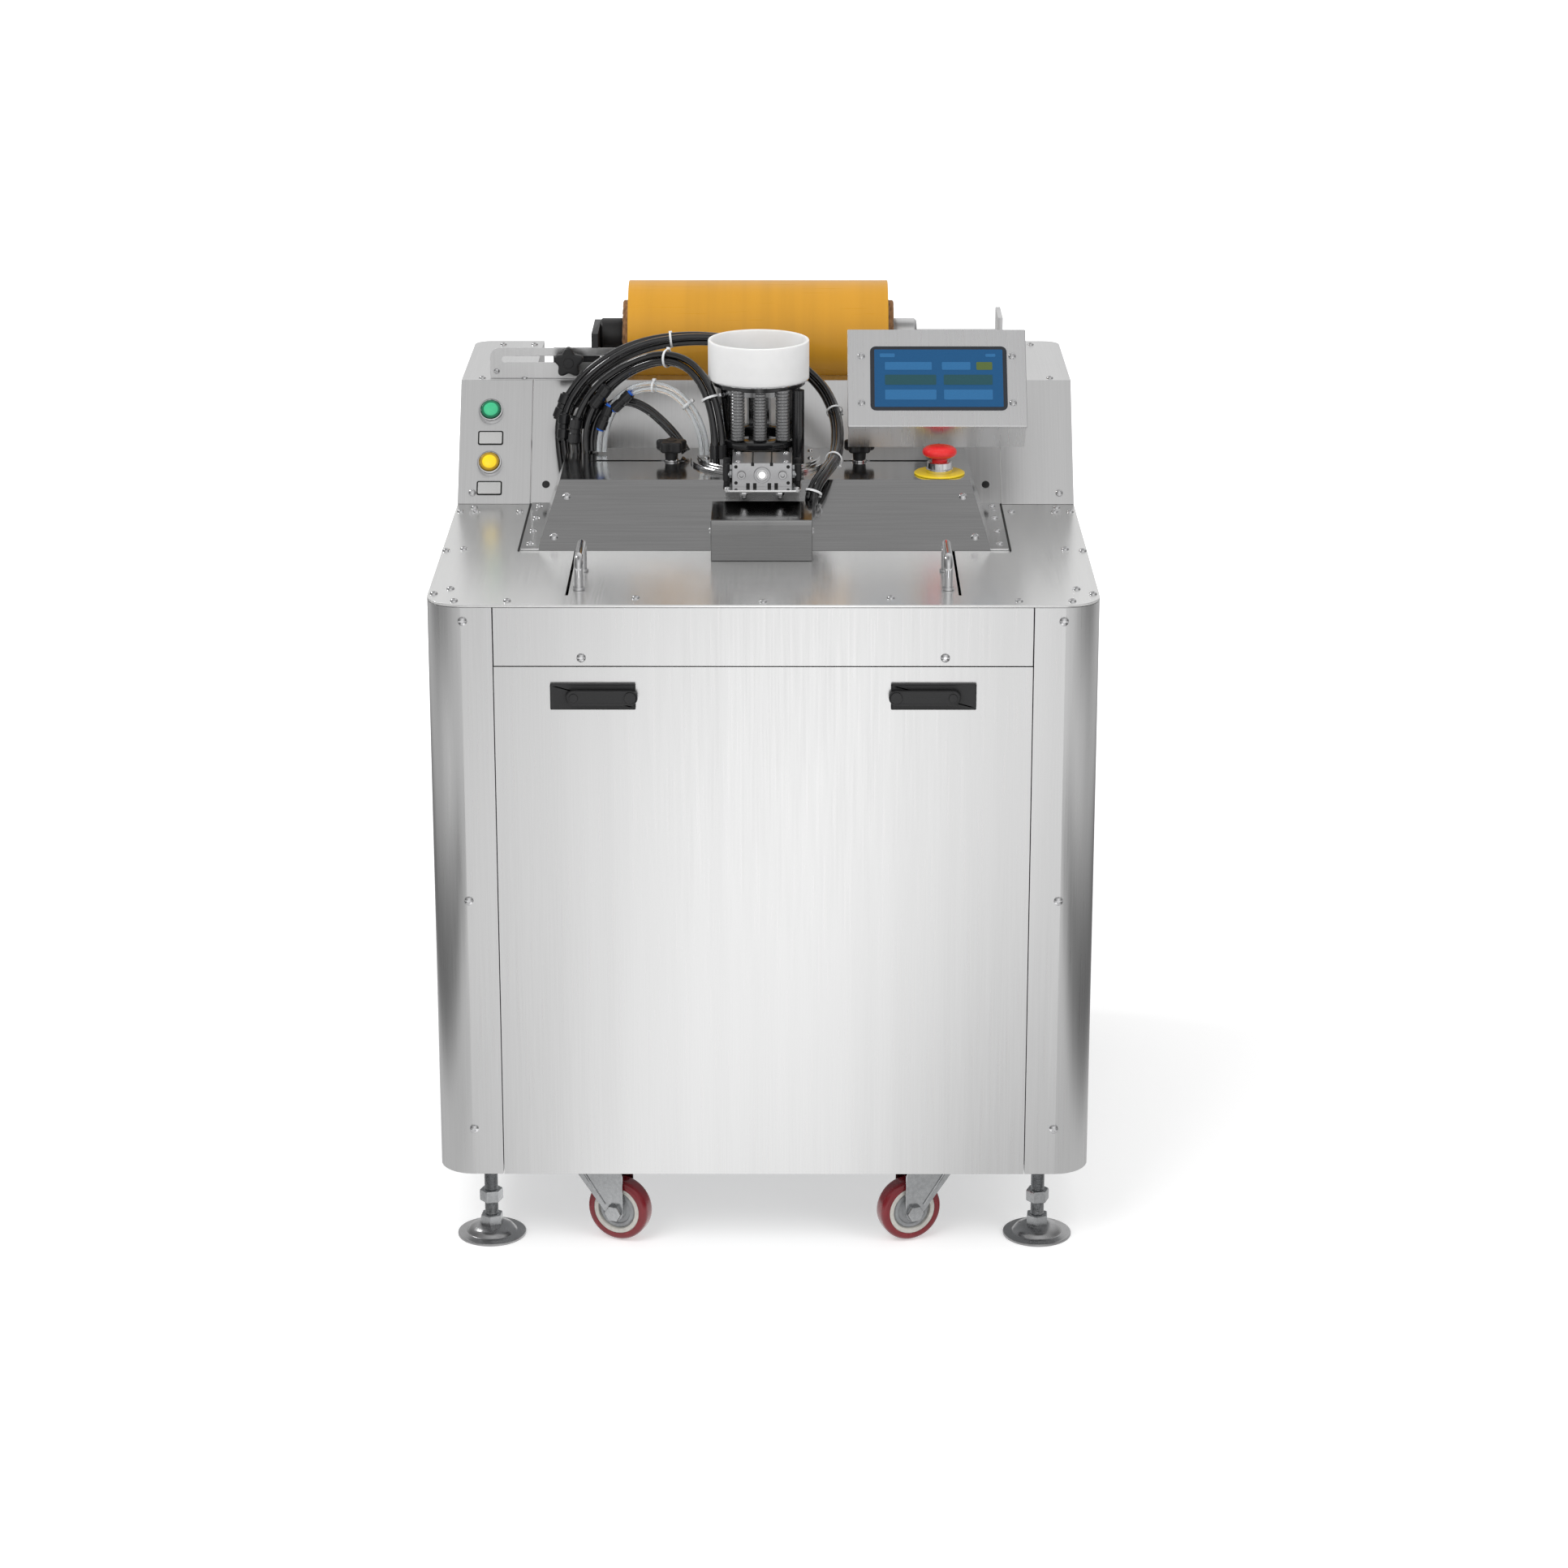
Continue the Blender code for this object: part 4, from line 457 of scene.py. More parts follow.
STAINLESS = WornMetal("stainless_panel", (0.80, 0.80, 0.80), 0.30, 1.0, Grain.UPRIGHT, 0.05, 0.03,
                      0.03, 0.00004, streak=Grain.UPRIGHT)
STAINLESS_ACROSS = WornMetal("stainless_console", (0.86, 0.86, 0.86), 0.32, 1.0, Grain.LENGTHWISE, 0.07, 0.04,
                             0.05, 0.00005, streak=Grain.LENGTHWISE)
DECK_STEEL = WornMetal("stainless_deck", (0.90, 0.90, 0.895), 0.24, 0.84, Grain.LENGTHWISE, 0.04, 0.02,
                       0.012, 0.00003, streak=Grain.LENGTHWISE)
POLISHED = WornMetal("polished_stainless", (0.86, 0.86, 0.86), 0.14, 1.0, Grain.ACROSS, 0.08, 0.03,
                     0.02, 0.00003, streak=Grain.ACROSS)
# Painted reflection: the chute cover's polished stainless, its colour darkened to stand in for the dark
# surroundings that it mirrors.
CHUTE_STEEL_PAINTED_DARK = WornMetal("polished_cover_painted_dark", (0.28, 0.28, 0.28), 0.13, 1.0, Grain.ACROSS, 0.10, 0.04,
                        0.05, 0.00005, streak=Grain.ACROSS)
CHROME = Finish("chrome", (0.82, 0.82, 0.83), 0.07, 1.0, Grain.COARSE, 0.06, 0.02, 0.02)
ZINC = Finish("zinc_plating", (0.53, 0.54, 0.55), 0.24, 1.0, Grain.MEDIUM, 0.22, 0.07, 0.10)
CAST = Finish("burnished_steel", (0.52, 0.52, 0.525), 0.24, 1.0, Grain.COARSE, 0.18, 0.05, 0.10)
ALUMINIUM = Finish("anodised_aluminium", (0.68, 0.68, 0.69), 0.36, 1.0, Grain.FINE, 0.12, 0.05, 0.18)
FRAME_STEEL = Finish("frame_steel", (0.45, 0.46, 0.47), 0.48, 0.9, Grain.COARSE, 0.20, 0.08, 0.12)
BLACK = Finish("moulded_black_plastic", (0.018, 0.018, 0.019), 0.42, 0.0, Grain.FINE, 0.30, 0.06, 0.30)
GLOSS_BLACK = Finish("gloss_black", (0.010, 0.010, 0.011), 0.16, 0.0, Grain.COARSE, 0.25, 0.04, 0.03, coat=0.4)
DARK_STEEL = Finish("dark_polished_steel", (0.36, 0.36, 0.365), 0.14, 1.0, Grain.UPRIGHT, 0.25, 0.05, 0.06)
GREY_ROD = Finish("grey_ribbed_rod", (0.34, 0.34, 0.345), 0.28, 0.8, Grain.FINE, 0.25, 0.06, 0.20)
HOSE = Finish("black_hose", (0.008, 0.008, 0.009), 0.16, 0.0, Grain.COARSE, 0.20, 0.04, 0.02, coat=1.0)
CLEAR_TUBE = Finish("clear_tube", (0.92, 0.95, 0.97), 0.10, 0.0, Grain.COARSE, 0.05, 0.03, 0.03, clear=0.75)
BLUE = Finish("blue_ring", (0.01, 0.12, 0.62), 0.30, 0.0, Grain.FINE, 0.15, 0.05, 0.08)
TIE = Finish("white_tie", (0.82, 0.83, 0.84), 0.40, 0.0, Grain.FINE, 0.10, 0.05, 0.08, soft=0.1)
NYLON = Finish("white_nylon", (0.93, 0.93, 0.925), 0.38, 0.0, Grain.COARSE, 0.03, 0.05, 0.03, soft=0.6)
TREAD = Finish("red_tread", (0.24, 0.008, 0.016), 0.24, 0.0, Grain.COARSE, 0.25, 0.06, 0.05, coat=0.3)
CREAM = Finish("cream_rim", (0.68, 0.66, 0.61), 0.45, 0.0, Grain.MEDIUM, 0.15, 0.06, 0.10)
HUB = Finish("grey_hub", (0.36, 0.37, 0.38), 0.45, 0.1, Grain.MEDIUM, 0.20, 0.06, 0.12)
CASE = Finish("grey_case", (0.84, 0.84, 0.845), 0.30, 0.9, Grain.LENGTHWISE, 0.05, 0.04, 0.04)
YELLOW = Finish("yellow_plate", (0.90, 0.66, 0.02), 0.36, 0.0, Grain.FINE, 0.10, 0.05, 0.08)
RED = Finish("red_plastic", (0.80, 0.022, 0.024), 0.30, 0.0, Grain.FINE, 0.10, 0.05, 0.06, coat=0.2)
# Painted light: both lenses take a faint painted glow in their own colour.
GREEN_LENS = Finish("green_lens_painted_glow", (0.05, 0.50, 0.24), 0.22, 0.0, Grain.FINE, 0.15, 0.05, 0.10, coat=0.3,
                    glow=0.10)
GREEN_RING = Finish("green_ring", (0.01, 0.16, 0.08), 0.30, 0.0, Grain.FINE, 0.15, 0.05, 0.10)
YELLOW_LENS = Finish("yellow_lens_painted_glow", (0.95, 0.68, 0.01), 0.22, 0.0, Grain.FINE, 0.10, 0.05, 0.10, coat=0.3,
                     glow=0.10)
YELLOW_RING = Finish("yellow_ring", (0.45, 0.27, 0.01), 0.30, 0.0, Grain.FINE, 0.15, 0.05, 0.10)
MOTOR = Finish("motor_black", (0.03, 0.03, 0.034), 0.50, 0.2, Grain.MEDIUM, 0.30, 0.08, 0.20)
CABINET_GREY = Finish("cabinet_grey", (0.50, 0.51, 0.50), 0.50, 0.0, Grain.FINE, 0.10, 0.06, 0.25)
BELT = Finish("belt_rubber", (0.02, 0.02, 0.02), 0.62, 0.0, Grain.FINE, 0.30, 0.08, 0.40)
# Painted shade: a dark matt finish for the patches that stand in for the shade in the guide cylinder's ports,
# slots and grooves, round the label plates, and in the gap along the hood's flanges.
SHADOW = Finish("painted_shade", (0.012, 0.012, 0.012), 0.60, 0.0, Grain.FINE, 0.30, 0.08, 0.20)
GLASS = Finish("screen_border", (0.012, 0.016, 0.024), 0.10, 0.0, Grain.COARSE, 0.20, 0.03, 0.02, coat=0.5)
SCREEN_BLUE = Finish("screen_blue", (0.004, 0.070, 0.185), 0.16, 0.0, Grain.FINE, 0.10, 0.03, 0.02, glow=0.10)
SCREEN_DARK = Finish("screen_field", (0.012, 0.065, 0.080), 0.16, 0.0, Grain.FINE, 0.15, 0.03, 0.02, glow=0.10)
SCREEN_LIGHT = Finish("screen_value", (0.020, 0.125, 0.290), 0.16, 0.0, Grain.FINE, 0.10, 0.03, 0.02, glow=0.10)
SCREEN_KEY = Finish("screen_key", (0.080, 0.120, 0.030), 0.16, 0.0, Grain.FINE, 0.10, 0.03, 0.02, glow=0.10)
LABEL = Finish("label_face", (0.66, 0.66, 0.655), 0.40, 0.6, Grain.FINE, 0.08, 0.05, 0.08)


@dataclass(frozen=True)
class Film(Finish):
    """Wound film: faint lengthwise bands round the roll, and fine winding rings at its ends."""

    def paint(self, nodes: Nodes, fine: bpy.types.NodeSocket) -> None:
        """Colours bands across the roll's length.

        Args:
            nodes: the material in the making.
            fine: the grain's value, which the bands don't need.
        """
        bands = nodes.noise((46.0, 1.5, 1.5), 4.0)
        nodes.link(nodes.ramp(bands, [(0.30, self.darker(0.07)), (0.5, self.colour),
                                      (0.70, tuple(min(1.0, 1.04 * v) for v in self.colour))]),
                   nodes.shader.inputs["Base Color"])


@dataclass(frozen=True)
class Board(Finish):
    """Rough brown board, mottled and torn at its edges."""

    def paint(self, nodes: Nodes, fine: bpy.types.NodeSocket) -> None:
        """Mottles the board.

        Args:
            nodes: the material in the making.
            fine: the grain's value, which the patches don't need.
        """
        patches = nodes.noise((300.0, 120.0, 120.0), 6.0)
        nodes.link(nodes.ramp(patches, [(0.35, self.darker(0.55)), (0.65, self.colour)]),
                   nodes.shader.inputs["Base Color"])


AMBER = Film("amber_film", (0.62, 0.30, 0.020), 0.30, 0.0, Grain.ACROSS, 0.15, 0.03, 0.04, soft=0.15)
CARDBOARD = Board("cardboard", (0.36, 0.20, 0.10), 0.85, 0.0, Grain.FINE, 0.30, 0.05, 0.80, 0.0008)


# ---- shapes -------------------------------------------------------------------------------------
SHARP_ANGLE = 36.0
FLAT_WIDTH = 0.012


class Head(Enum):
    """The radius of a button-head screw, by where it is used."""

    PANEL = 0.0054
    SLOPE = 0.0050
    DECK = 0.0046
    FLANGE = 0.0044
    PLATE = 0.0038
    SMALL = 0.0036


class Shape:
    """One piece in the making. Each form takes the finish that was named last."""

    def __init__(self, finish: Finish) -> None:
        """Starts an empty piece in a finish.

        Args:
            finish: the finish of its first forms.
        """
        self.bm = bmesh.new()
        self.finishes: list[Finish] = []
        self.current = 0
        self.use(finish)

    def use(self, finish: Finish) -> "Shape":
        """The forms that follow are in this finish.

        Args:
            finish: the finish.

        Returns:
            The piece itself.
        """
        if finish not in self.finishes:
            self.finishes.append(finish)
        self.current = self.finishes.index(finish)
        return self

    def take(self, part: bmesh.types.BMesh, turn: bool = True) -> "Shape":
        """Adds a form to the piece, its faces pointing out, and frees it.

        Args:
            part: the form.
            turn: work out anew which way its faces look.

        Returns:
            The piece itself.
        """
        if turn:
            bmesh.ops.recalc_face_normals(part, faces=part.faces[:])
        for face in part.faces:
            face.material_index = self.current
            face.smooth = True
        mesh = bpy.data.meshes.new("form")
        part.to_mesh(mesh)
        part.free()
        self.bm.from_mesh(mesh)
        bpy.data.meshes.remove(mesh)
        return self

    def block(self, low: Point, high: Point, edge: float = 0.0, segments: int = 2,
              place: Matrix | None = None) -> "Shape":
        """A box between two corners with rounded edges.

        Args:
            low: its low corner.
            high: its high corner.
            edge: rounding of its edges.
            segments: faces across that rounding.
            place: the frame it stands in.

        Returns:
            The piece itself.
        """
        part = bmesh.new()
        bmesh.ops.create_cube(part, size=1.0)
        low, high = Vector(low), Vector(high)
        bmesh.ops.scale(part, vec=high - low, verts=part.verts)
        bmesh.ops.translate(part, vec=(low + high) / 2, verts=part.verts)
        if edge:
            bmesh.ops.bevel(part, geom=part.edges[:], offset=edge, affect="EDGES", segments=segments,
                            profile=0.5, material=-1)
        if place is not None:
            bmesh.ops.transform(part, matrix=place, verts=part.verts)
        return self.take(part)

    def rod(self, start: Point, end: Point, radius: float, sides: int = 24, tip: float | None = None,
            edge: float = 0.0) -> "Shape":
        """A straight round bar.

        Args:
            start: centre of one end.
            end: centre of the other.
            radius: radius at the start.
            sides: faces round it.
            tip: radius at the end, where it tapers.
            edge: rounding of its rims.

        Returns:
            The piece itself.
        """
        start, end = Vector(start), Vector(end)
        part = bmesh.new()
        length = (end - start).length
        place = facing(start, end - start) @ Matrix.Translation((0, 0, length / 2))
        bmesh.ops.create_cone(part, cap_ends=True, segments=sides, radius1=radius,
                              radius2=radius if tip is None else tip, depth=length, matrix=place)
        if edge:
            rims = [e for e in part.edges if any(len(f.verts) > 4 for f in e.link_faces)]
            bmesh.ops.bevel(part, geom=rims, offset=edge, affect="EDGES", segments=2, profile=0.5, material=-1)
        return self.take(part)

    def lathe(self, profile: Outline, place: Matrix, steps: int = 32, closed: bool = False,
              sweep: tuple[float, float] | None = None) -> "Shape":
        """A turned form.

        Args:
            profile: radius and height of each point.
            place: the frame whose Z is the axis.
            steps: faces round the axis.
            closed: the profile is a ring, as of a tube.
            sweep: first and last angle in degrees where the form isn't a full turn.

        Returns:
            The piece itself.
        """
        part = bmesh.new()
        start, end = (0.0, 360.0) if sweep is None else sweep
        turn = Matrix.Rotation(math.radians(start), 4, "Z")
        verts = [part.verts.new(turn @ Vector((r, 0, z))) for r, z in profile]
        edges = [part.edges.new(pair) for pair in zip(verts, verts[1:])]
        if closed:
            edges.append(part.edges.new((verts[-1], verts[0])))
        bmesh.ops.spin(part, geom=verts + edges, cent=(0, 0, 0), axis=(0, 0, 1), dvec=(0, 0, 0),
                       angle=math.radians(end - start), steps=steps, use_merge=sweep is None,
                       use_duplicate=False)
        bmesh.ops.remove_doubles(part, verts=part.verts, dist=0.000002)
        if sweep is not None:
            bmesh.ops.holes_fill(part, edges=[e for e in part.edges if e.is_boundary], sides=0)
        bmesh.ops.transform(part, matrix=place, verts=part.verts)
        return self.take(part)

    def prism(self, outline: Outline, low: float, high: float, place: Matrix, edge: float = 0.0,
              segments: int = 2, inset: tuple[float, float] | None = None) -> "Shape":
        """A flat outline raised along the frame's Z.

        Args:
            outline: the points of the outline, in the frame's X and Y.
            low: height of its lower face.
            high: height of its upper face.
            place: the frame it stands in.
            edge: rounding of the upper and lower rims.
            segments: faces across that rounding.
            inset: width of the rim and depth of the recess inside it, on the upper face.

        Returns:
            The piece itself.
        """
        part = bmesh.new()
        verts = [part.verts.new((x, y, low)) for x, y in outline]
        bmesh.ops.contextual_create(part, geom=verts)
        raised = bmesh.ops.extrude_face_region(part, geom=part.faces[:])["geom"]
        top = [g for g in raised if isinstance(g, bmesh.types.BMVert)]
        bmesh.ops.translate(part, vec=(0, 0, high - low), verts=top)
        bmesh.ops.recalc_face_normals(part, faces=part.faces[:])
        if edge:
            rims = [e for e in part.edges if abs(e.verts[0].co.z - e.verts[1].co.z) < 1e-7]
            bmesh.ops.bevel(part, geom=rims, offset=edge, affect="EDGES", segments=segments, profile=0.5,
                            material=-1)
        if inset:
            upper = max(part.faces, key=lambda face: face.calc_center_median().z + 1e-3 * len(face.verts))
            bmesh.ops.inset_individual(part, faces=[upper], thickness=inset[0], depth=-inset[1])
        bmesh.ops.transform(part, matrix=place, verts=part.verts)
        return self.take(part)

    def bar(self, points: list[Vector], radius: float, sides: int = 16) -> "Shape":
        """A round bar along a route, its ends closed.

        Args:
            points: the route.
            radius: the bar's radius.
            sides: faces round it.

        Returns:
            The piece itself.
        """
        part = bmesh.new()
        rings = []
        for i, point in enumerate(points):
            ahead = points[min(i + 1, len(points) - 1)] - points[max(i - 1, 0)]
            made = bmesh.ops.create_circle(part, cap_ends=i in (0, len(points) - 1), segments=sides,
                                           radius=radius, matrix=facing(point, ahead))
            ring = {edge for vert in made["verts"] for edge in vert.link_edges}
            rings.append(list(ring))
        for lower, upper in zip(rings, rings[1:]):
            bmesh.ops.bridge_loops(part, edges=lower + upper)
        return self.take(part)

    def button_screw(self, place: Matrix, head: Head) -> "Shape":
        """A domed button-head screw with a socket.

        Args:
            place: the frame it stands on.
            head: its size.

        Returns:
            The piece itself.
        """
        radius = head.value
        height = 0.58 * radius
        profile = [(0, 0.45 * height), (0.36 * radius, 0.45 * height), (0.40 * radius, height),
                   (0.72 * radius, 0.82 * height), (0.94 * radius, 0.42 * height), (radius, 0)]
        return self.lathe(profile, place, 12)

    def hexagon_bolt(self, place: Matrix, flats: float, height: float) -> "Shape":
        """A hexagon head or nut standing on its frame."""
        return self.prism(hexagon(flats), 0, height, place, 0.08 * flats, 2)

    def piece(self, name: str, body: str, slot: str = "", replaces: tuple[str, ...] = (),
              even: bool = True) -> bpy.types.Object:
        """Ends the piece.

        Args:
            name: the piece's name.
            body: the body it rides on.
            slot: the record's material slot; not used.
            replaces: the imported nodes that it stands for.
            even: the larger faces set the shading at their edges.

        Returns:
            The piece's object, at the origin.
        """
        mesh = bpy.data.meshes.new(name)
        self.bm.to_mesh(mesh)
        self.bm.free()
        for finish in self.finishes:
            mesh.materials.append(finish.build())
        smooth = [face.use_smooth for face in mesh.polygons]
        mesh.set_sharp_from_angle(angle=math.radians(SHARP_ANGLE))
        mesh.polygons.foreach_set("use_smooth", smooth)
        obj = bpy.data.objects.new(name, mesh)
        bpy.context.scene.collection.objects.link(obj)
        if even:
            shading = obj.modifiers.new("even_shading", "WEIGHTED_NORMAL")
            shading.mode = "FACE_AREA"
            shading.weight = 90
            shading.keep_sharp = True
        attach(obj, body)
        if replaces:
            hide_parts(*replaces)
        return obj


def body_of(node: str) -> str:
    """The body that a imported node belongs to."""
    return next(body for body, nodes in frame["record"]["behaviour"]["bodies"].items() if node in nodes)


def dress(node: str, finish: Finish) -> None:
    """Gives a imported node, whose shape is right, its finish.

    Args:
        node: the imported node.
        finish: its finish.
    """
    obj = frame["nodes"][node]
    obj.data.materials.clear()
    obj.data.materials.append(finish.build())


def refined(node: str, finish: Finish, slot: str, edge: float = 0.0004) -> bpy.types.Object:
    """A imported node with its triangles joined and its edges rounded.

    Args:
        node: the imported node.
        finish: its finish.
        slot: the record's material slot.
        edge: rounding of its edges. Faces wider than FLAT_WIDTH are shaded flat.

    Returns:
        The piece that stands for the node.
    """
    shape = Shape(finish)
    part = bmesh.new()
    part.from_mesh(frame["nodes"][node].data)
    bmesh.ops.remove_doubles(part, verts=part.verts, dist=0.00001)
    bmesh.ops.dissolve_limit(part, angle_limit=math.radians(1), verts=part.verts, edges=part.edges)
    if edge:
        sharp = [e for e in part.edges if len(e.link_faces) == 2 and e.calc_face_angle() > math.radians(40)]
        bmesh.ops.bevel(part, geom=sharp, offset=edge, affect="EDGES", segments=2, profile=0.5, material=-1,
                        clamp_overlap=True)
    shape.take(part, turn=False)
    for face in shape.bm.faces:
        face.smooth = face.calc_area() / max(edge.calc_length() for edge in face.edges) < FLAT_WIDTH
    return shape.piece(node + "_shell", body_of(node), slot, (node,), False)


# ---- cabinet ------------------------------------------------------------------------------------
@dataclass
class Cabinet:
    """The body panels, the deck and their screws."""

    side_screw_x: float = 0.333
    side_screw_z: tuple[float, ...] = (0.763, 0.435, 0.157)
    fascia_screw: tuple[float, float] = (0.202, 0.721)
    deck_screws: tuple[tuple[float, float], ...] = (
        (0.368, 0.046), (0.351, 0.067), (0.343, 0.016), (0.284, 0.016), (0.370, 0.237), (0.350, 0.245),
        (0.368, 0.424), (0.353, 0.445), (0.349, 0.424), (0.297, 0.424), (0.276, 0.423), (0.142, 0.029),
    )
    deck_front_screw: float = 0.013
    rear_screw_x: float = 0.286
    rear_screw_z: tuple[float, ...] = (0.763, 0.435, 0.157, 0.300, 0.600)

    def build(self) -> None:
        """Builds every panel and screw."""
        dress("cabinet_frame", FRAME_STEEL)
        for node in ("side_skin_left", "side_skin_right", "fascia", "front_door", "rear_panel"):
            refined(node, STAINLESS, "stainless_panel")
        refined("deck", DECK_STEEL, "polished_stainless", 0.0008)
        self.front_screws()
        self.deck_screw_set()
        self.rear_screws()

    def front_screws(self) -> None:
        """The screws in the side panels and the fascia."""
        shape = Shape(CHROME)
        for sign in SIDES.values():
            for z in self.side_screw_z:
                place = Vector((sign * self.side_screw_x, FRONT_Y, z))
                shape.button_screw(facing(place, (0, -1, 0)), Head.PANEL)
            x, z = self.fascia_screw
            shape.button_screw(facing(Vector((sign * x, FRONT_Y, z)), (0, -1, 0)), Head.PANEL)
        shape.piece("front_screws", "cabinet", "chrome")

    def deck_screw_set(self) -> None:
        """The screws that hold the deck, in mirrored pairs, and one in the middle."""
        shape = Shape(CHROME)
        for x, depth in self.deck_screws:
            for sign in SIDES.values():
                shape.button_screw(facing(at(sign * x, depth, 0), (0, 0, 1)), Head.DECK)
        shape.button_screw(facing(at(0, self.deck_front_screw, 0), (0, 0, 1)), Head.DECK)
        shape.piece("deck_screws", "cabinet", "chrome")

    def rear_screws(self) -> None:
        """The screws in the rear panel."""
        shape = Shape(CHROME)
        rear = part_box("rear_panel")[1].y
        for sign in SIDES.values():
            for z in self.rear_screw_z:
                shape.button_screw(facing(Vector((sign * self.rear_screw_x, rear, z)), (0, 1, 0)), Head.PANEL)
        shape.piece("rear_screws", "cabinet", "chrome")


@dataclass
class Latches:
    """The door's two latches: a plate with a recessed face, and a swing lever on a spindle."""

    rim: float = 0.0022
    recess: float = 0.0009
    spindle: float = 0.0045
    cam_length: float = 0.030
    cam_width: float = 0.014

    def build(self) -> None:
        """Builds both latches."""
        for side, sign in SIDES.items():
            self.plate(side)
            self.lever(side, sign)

    def plate(self, side: str) -> None:
        """The base plate.

        Args:
            side: left or right.
        """
        node = "latch_plate_" + side
        low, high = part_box(node)
        middle = (low + high) / 2
        half = (high - low) / 2
        shape = Shape(BLACK)
        shape.prism(rounded(half.x, half.z, 0.0012, 2), 0, 2 * half.y,
                    framed(Vector((middle.x, high.y, middle.z)), Vector((0, 0, 1)), Vector((0, -1, 0))),
                    0.0007, 2, (self.rim, self.recess))
        shape.piece(node + "_moulding", body_of(node), "black_plastic", (node,))

    def lever(self, side: str, sign: int) -> None:
        """The lever with its gripped inner end, its spindle and its cam behind the door.

        Args:
            side: left or right.
            sign: -1 on the left, 1 on the right.
        """
        node = "latch_lever_" + side
        low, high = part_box(node)
        middle = (low + high) / 2
        half = (high - low) / 2
        place = framed(Vector((middle.x, high.y, middle.z)), Vector((0, 0, 1)), Vector((0, -1, 0)))
        shape = Shape(BLACK)
        shape.prism(rounded(half.x, half.z, half.z - 0.0001, 10), 0, 2 * half.y, place, 0.0012, 3,
                    (0.0016, 0.0010))
        inner = -sign * (half.x - half.z)
        outer = -inner
        face = 2 * half.y
        grip = place @ Matrix.Translation((inner, 0, 0))
        shape.prism(lobed(half.z * 0.80, 18, 0.03, 72), face - 0.0012, face + 0.0004, grip, 0.0003, 1)
        boss = place @ Matrix.Translation((outer, 0, 0))
        shape.lathe([(0, face + 0.0002), (half.z * 0.55, face), (half.z * 0.6, face - 0.0012)], boss, 24)
        shape.use(ZINC)
        shape.rod(boss @ Vector((0, 0, -0.0240)), boss @ Vector((0, 0, 0.0010)), self.spindle, 16)
        shape.block((-self.cam_width / 2, -self.cam_width / 2, -0.0225),
                    (self.cam_width / 2, self.cam_length, -0.0195), 0.0006, 2, boss)
        shape.piece(node + "_moulding", body_of(node), "black_plastic", (node,))


# ---- running gear -------------------------------------------------------------------------------
@dataclass
class LevellingFeet:
    """Four levelling feet: a domed flange, a threaded stem and two hexagon nuts."""

    stem: float = 0.0080
    thread_depth: float = 0.0009
    pitch: float = 0.0020
    stem_foot: float = 0.010
    nut_flats: float = 0.0236
    nuts: tuple[tuple[float, float, float], ...] = ((0.012, 0.026, 25.0), (0.042, 0.057, 10.0))
    dome: Outline = field(default_factory=lambda: [
        (0, 0.0138), (0.0125, 0.0136), (0.0165, 0.0130), (0.0210, 0.0117), (0.0248, 0.0096), (0.0274, 0.0070),
        (0.0288, 0.0048), (0.0302, 0.0040), (0.0382, 0.0036), (0.0396, 0.0030), (0.0400, 0.0020),
        (0.0400, 0.0004), (0.0385, 0), (0, 0),
    ])

    def build(self) -> None:
        """Builds the four feet."""
        for end in ENDS:
            for side in SIDES:
                self.foot(f"{end}_{side}")

    def foot(self, corner: str) -> None:
        """One foot: the flange, the threaded stem, and nuts given by bottom, top and turn in degrees.

        Args:
            corner: the corner it stands at.
        """
        node = "levelling_foot_" + corner
        low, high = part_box(node)
        place = Matrix.Translation(((low.x + high.x) / 2, (low.y + high.y) / 2, low.z))
        top = high.z - low.z
        shape = Shape(CAST)
        shape.lathe(self.dome, place, 48)
        shape.use(ZINC)
        ridges = int((top - self.stem_foot) / self.pitch)
        thread = [(0, top), (self.stem - self.thread_depth, top)]
        for i in range(ridges):
            z = top - self.pitch / 2 - i * self.pitch
            thread += [(self.stem, z), (self.stem - self.thread_depth, z - self.pitch / 2)]
        thread += [(self.stem, self.stem_foot), (0, self.stem_foot)]
        shape.lathe(thread, place, 20)
        for low_z, high_z, degrees in self.nuts:
            foot = place @ Matrix.Translation((0, 0, low_z)) @ Matrix.Rotation(math.radians(degrees), 4, "Z")
            shape.hexagon_bolt(foot, self.nut_flats, high_z - low_z)
        shape.piece(f"foot_{corner}_turned", body_of(node), "zinc", (node,))


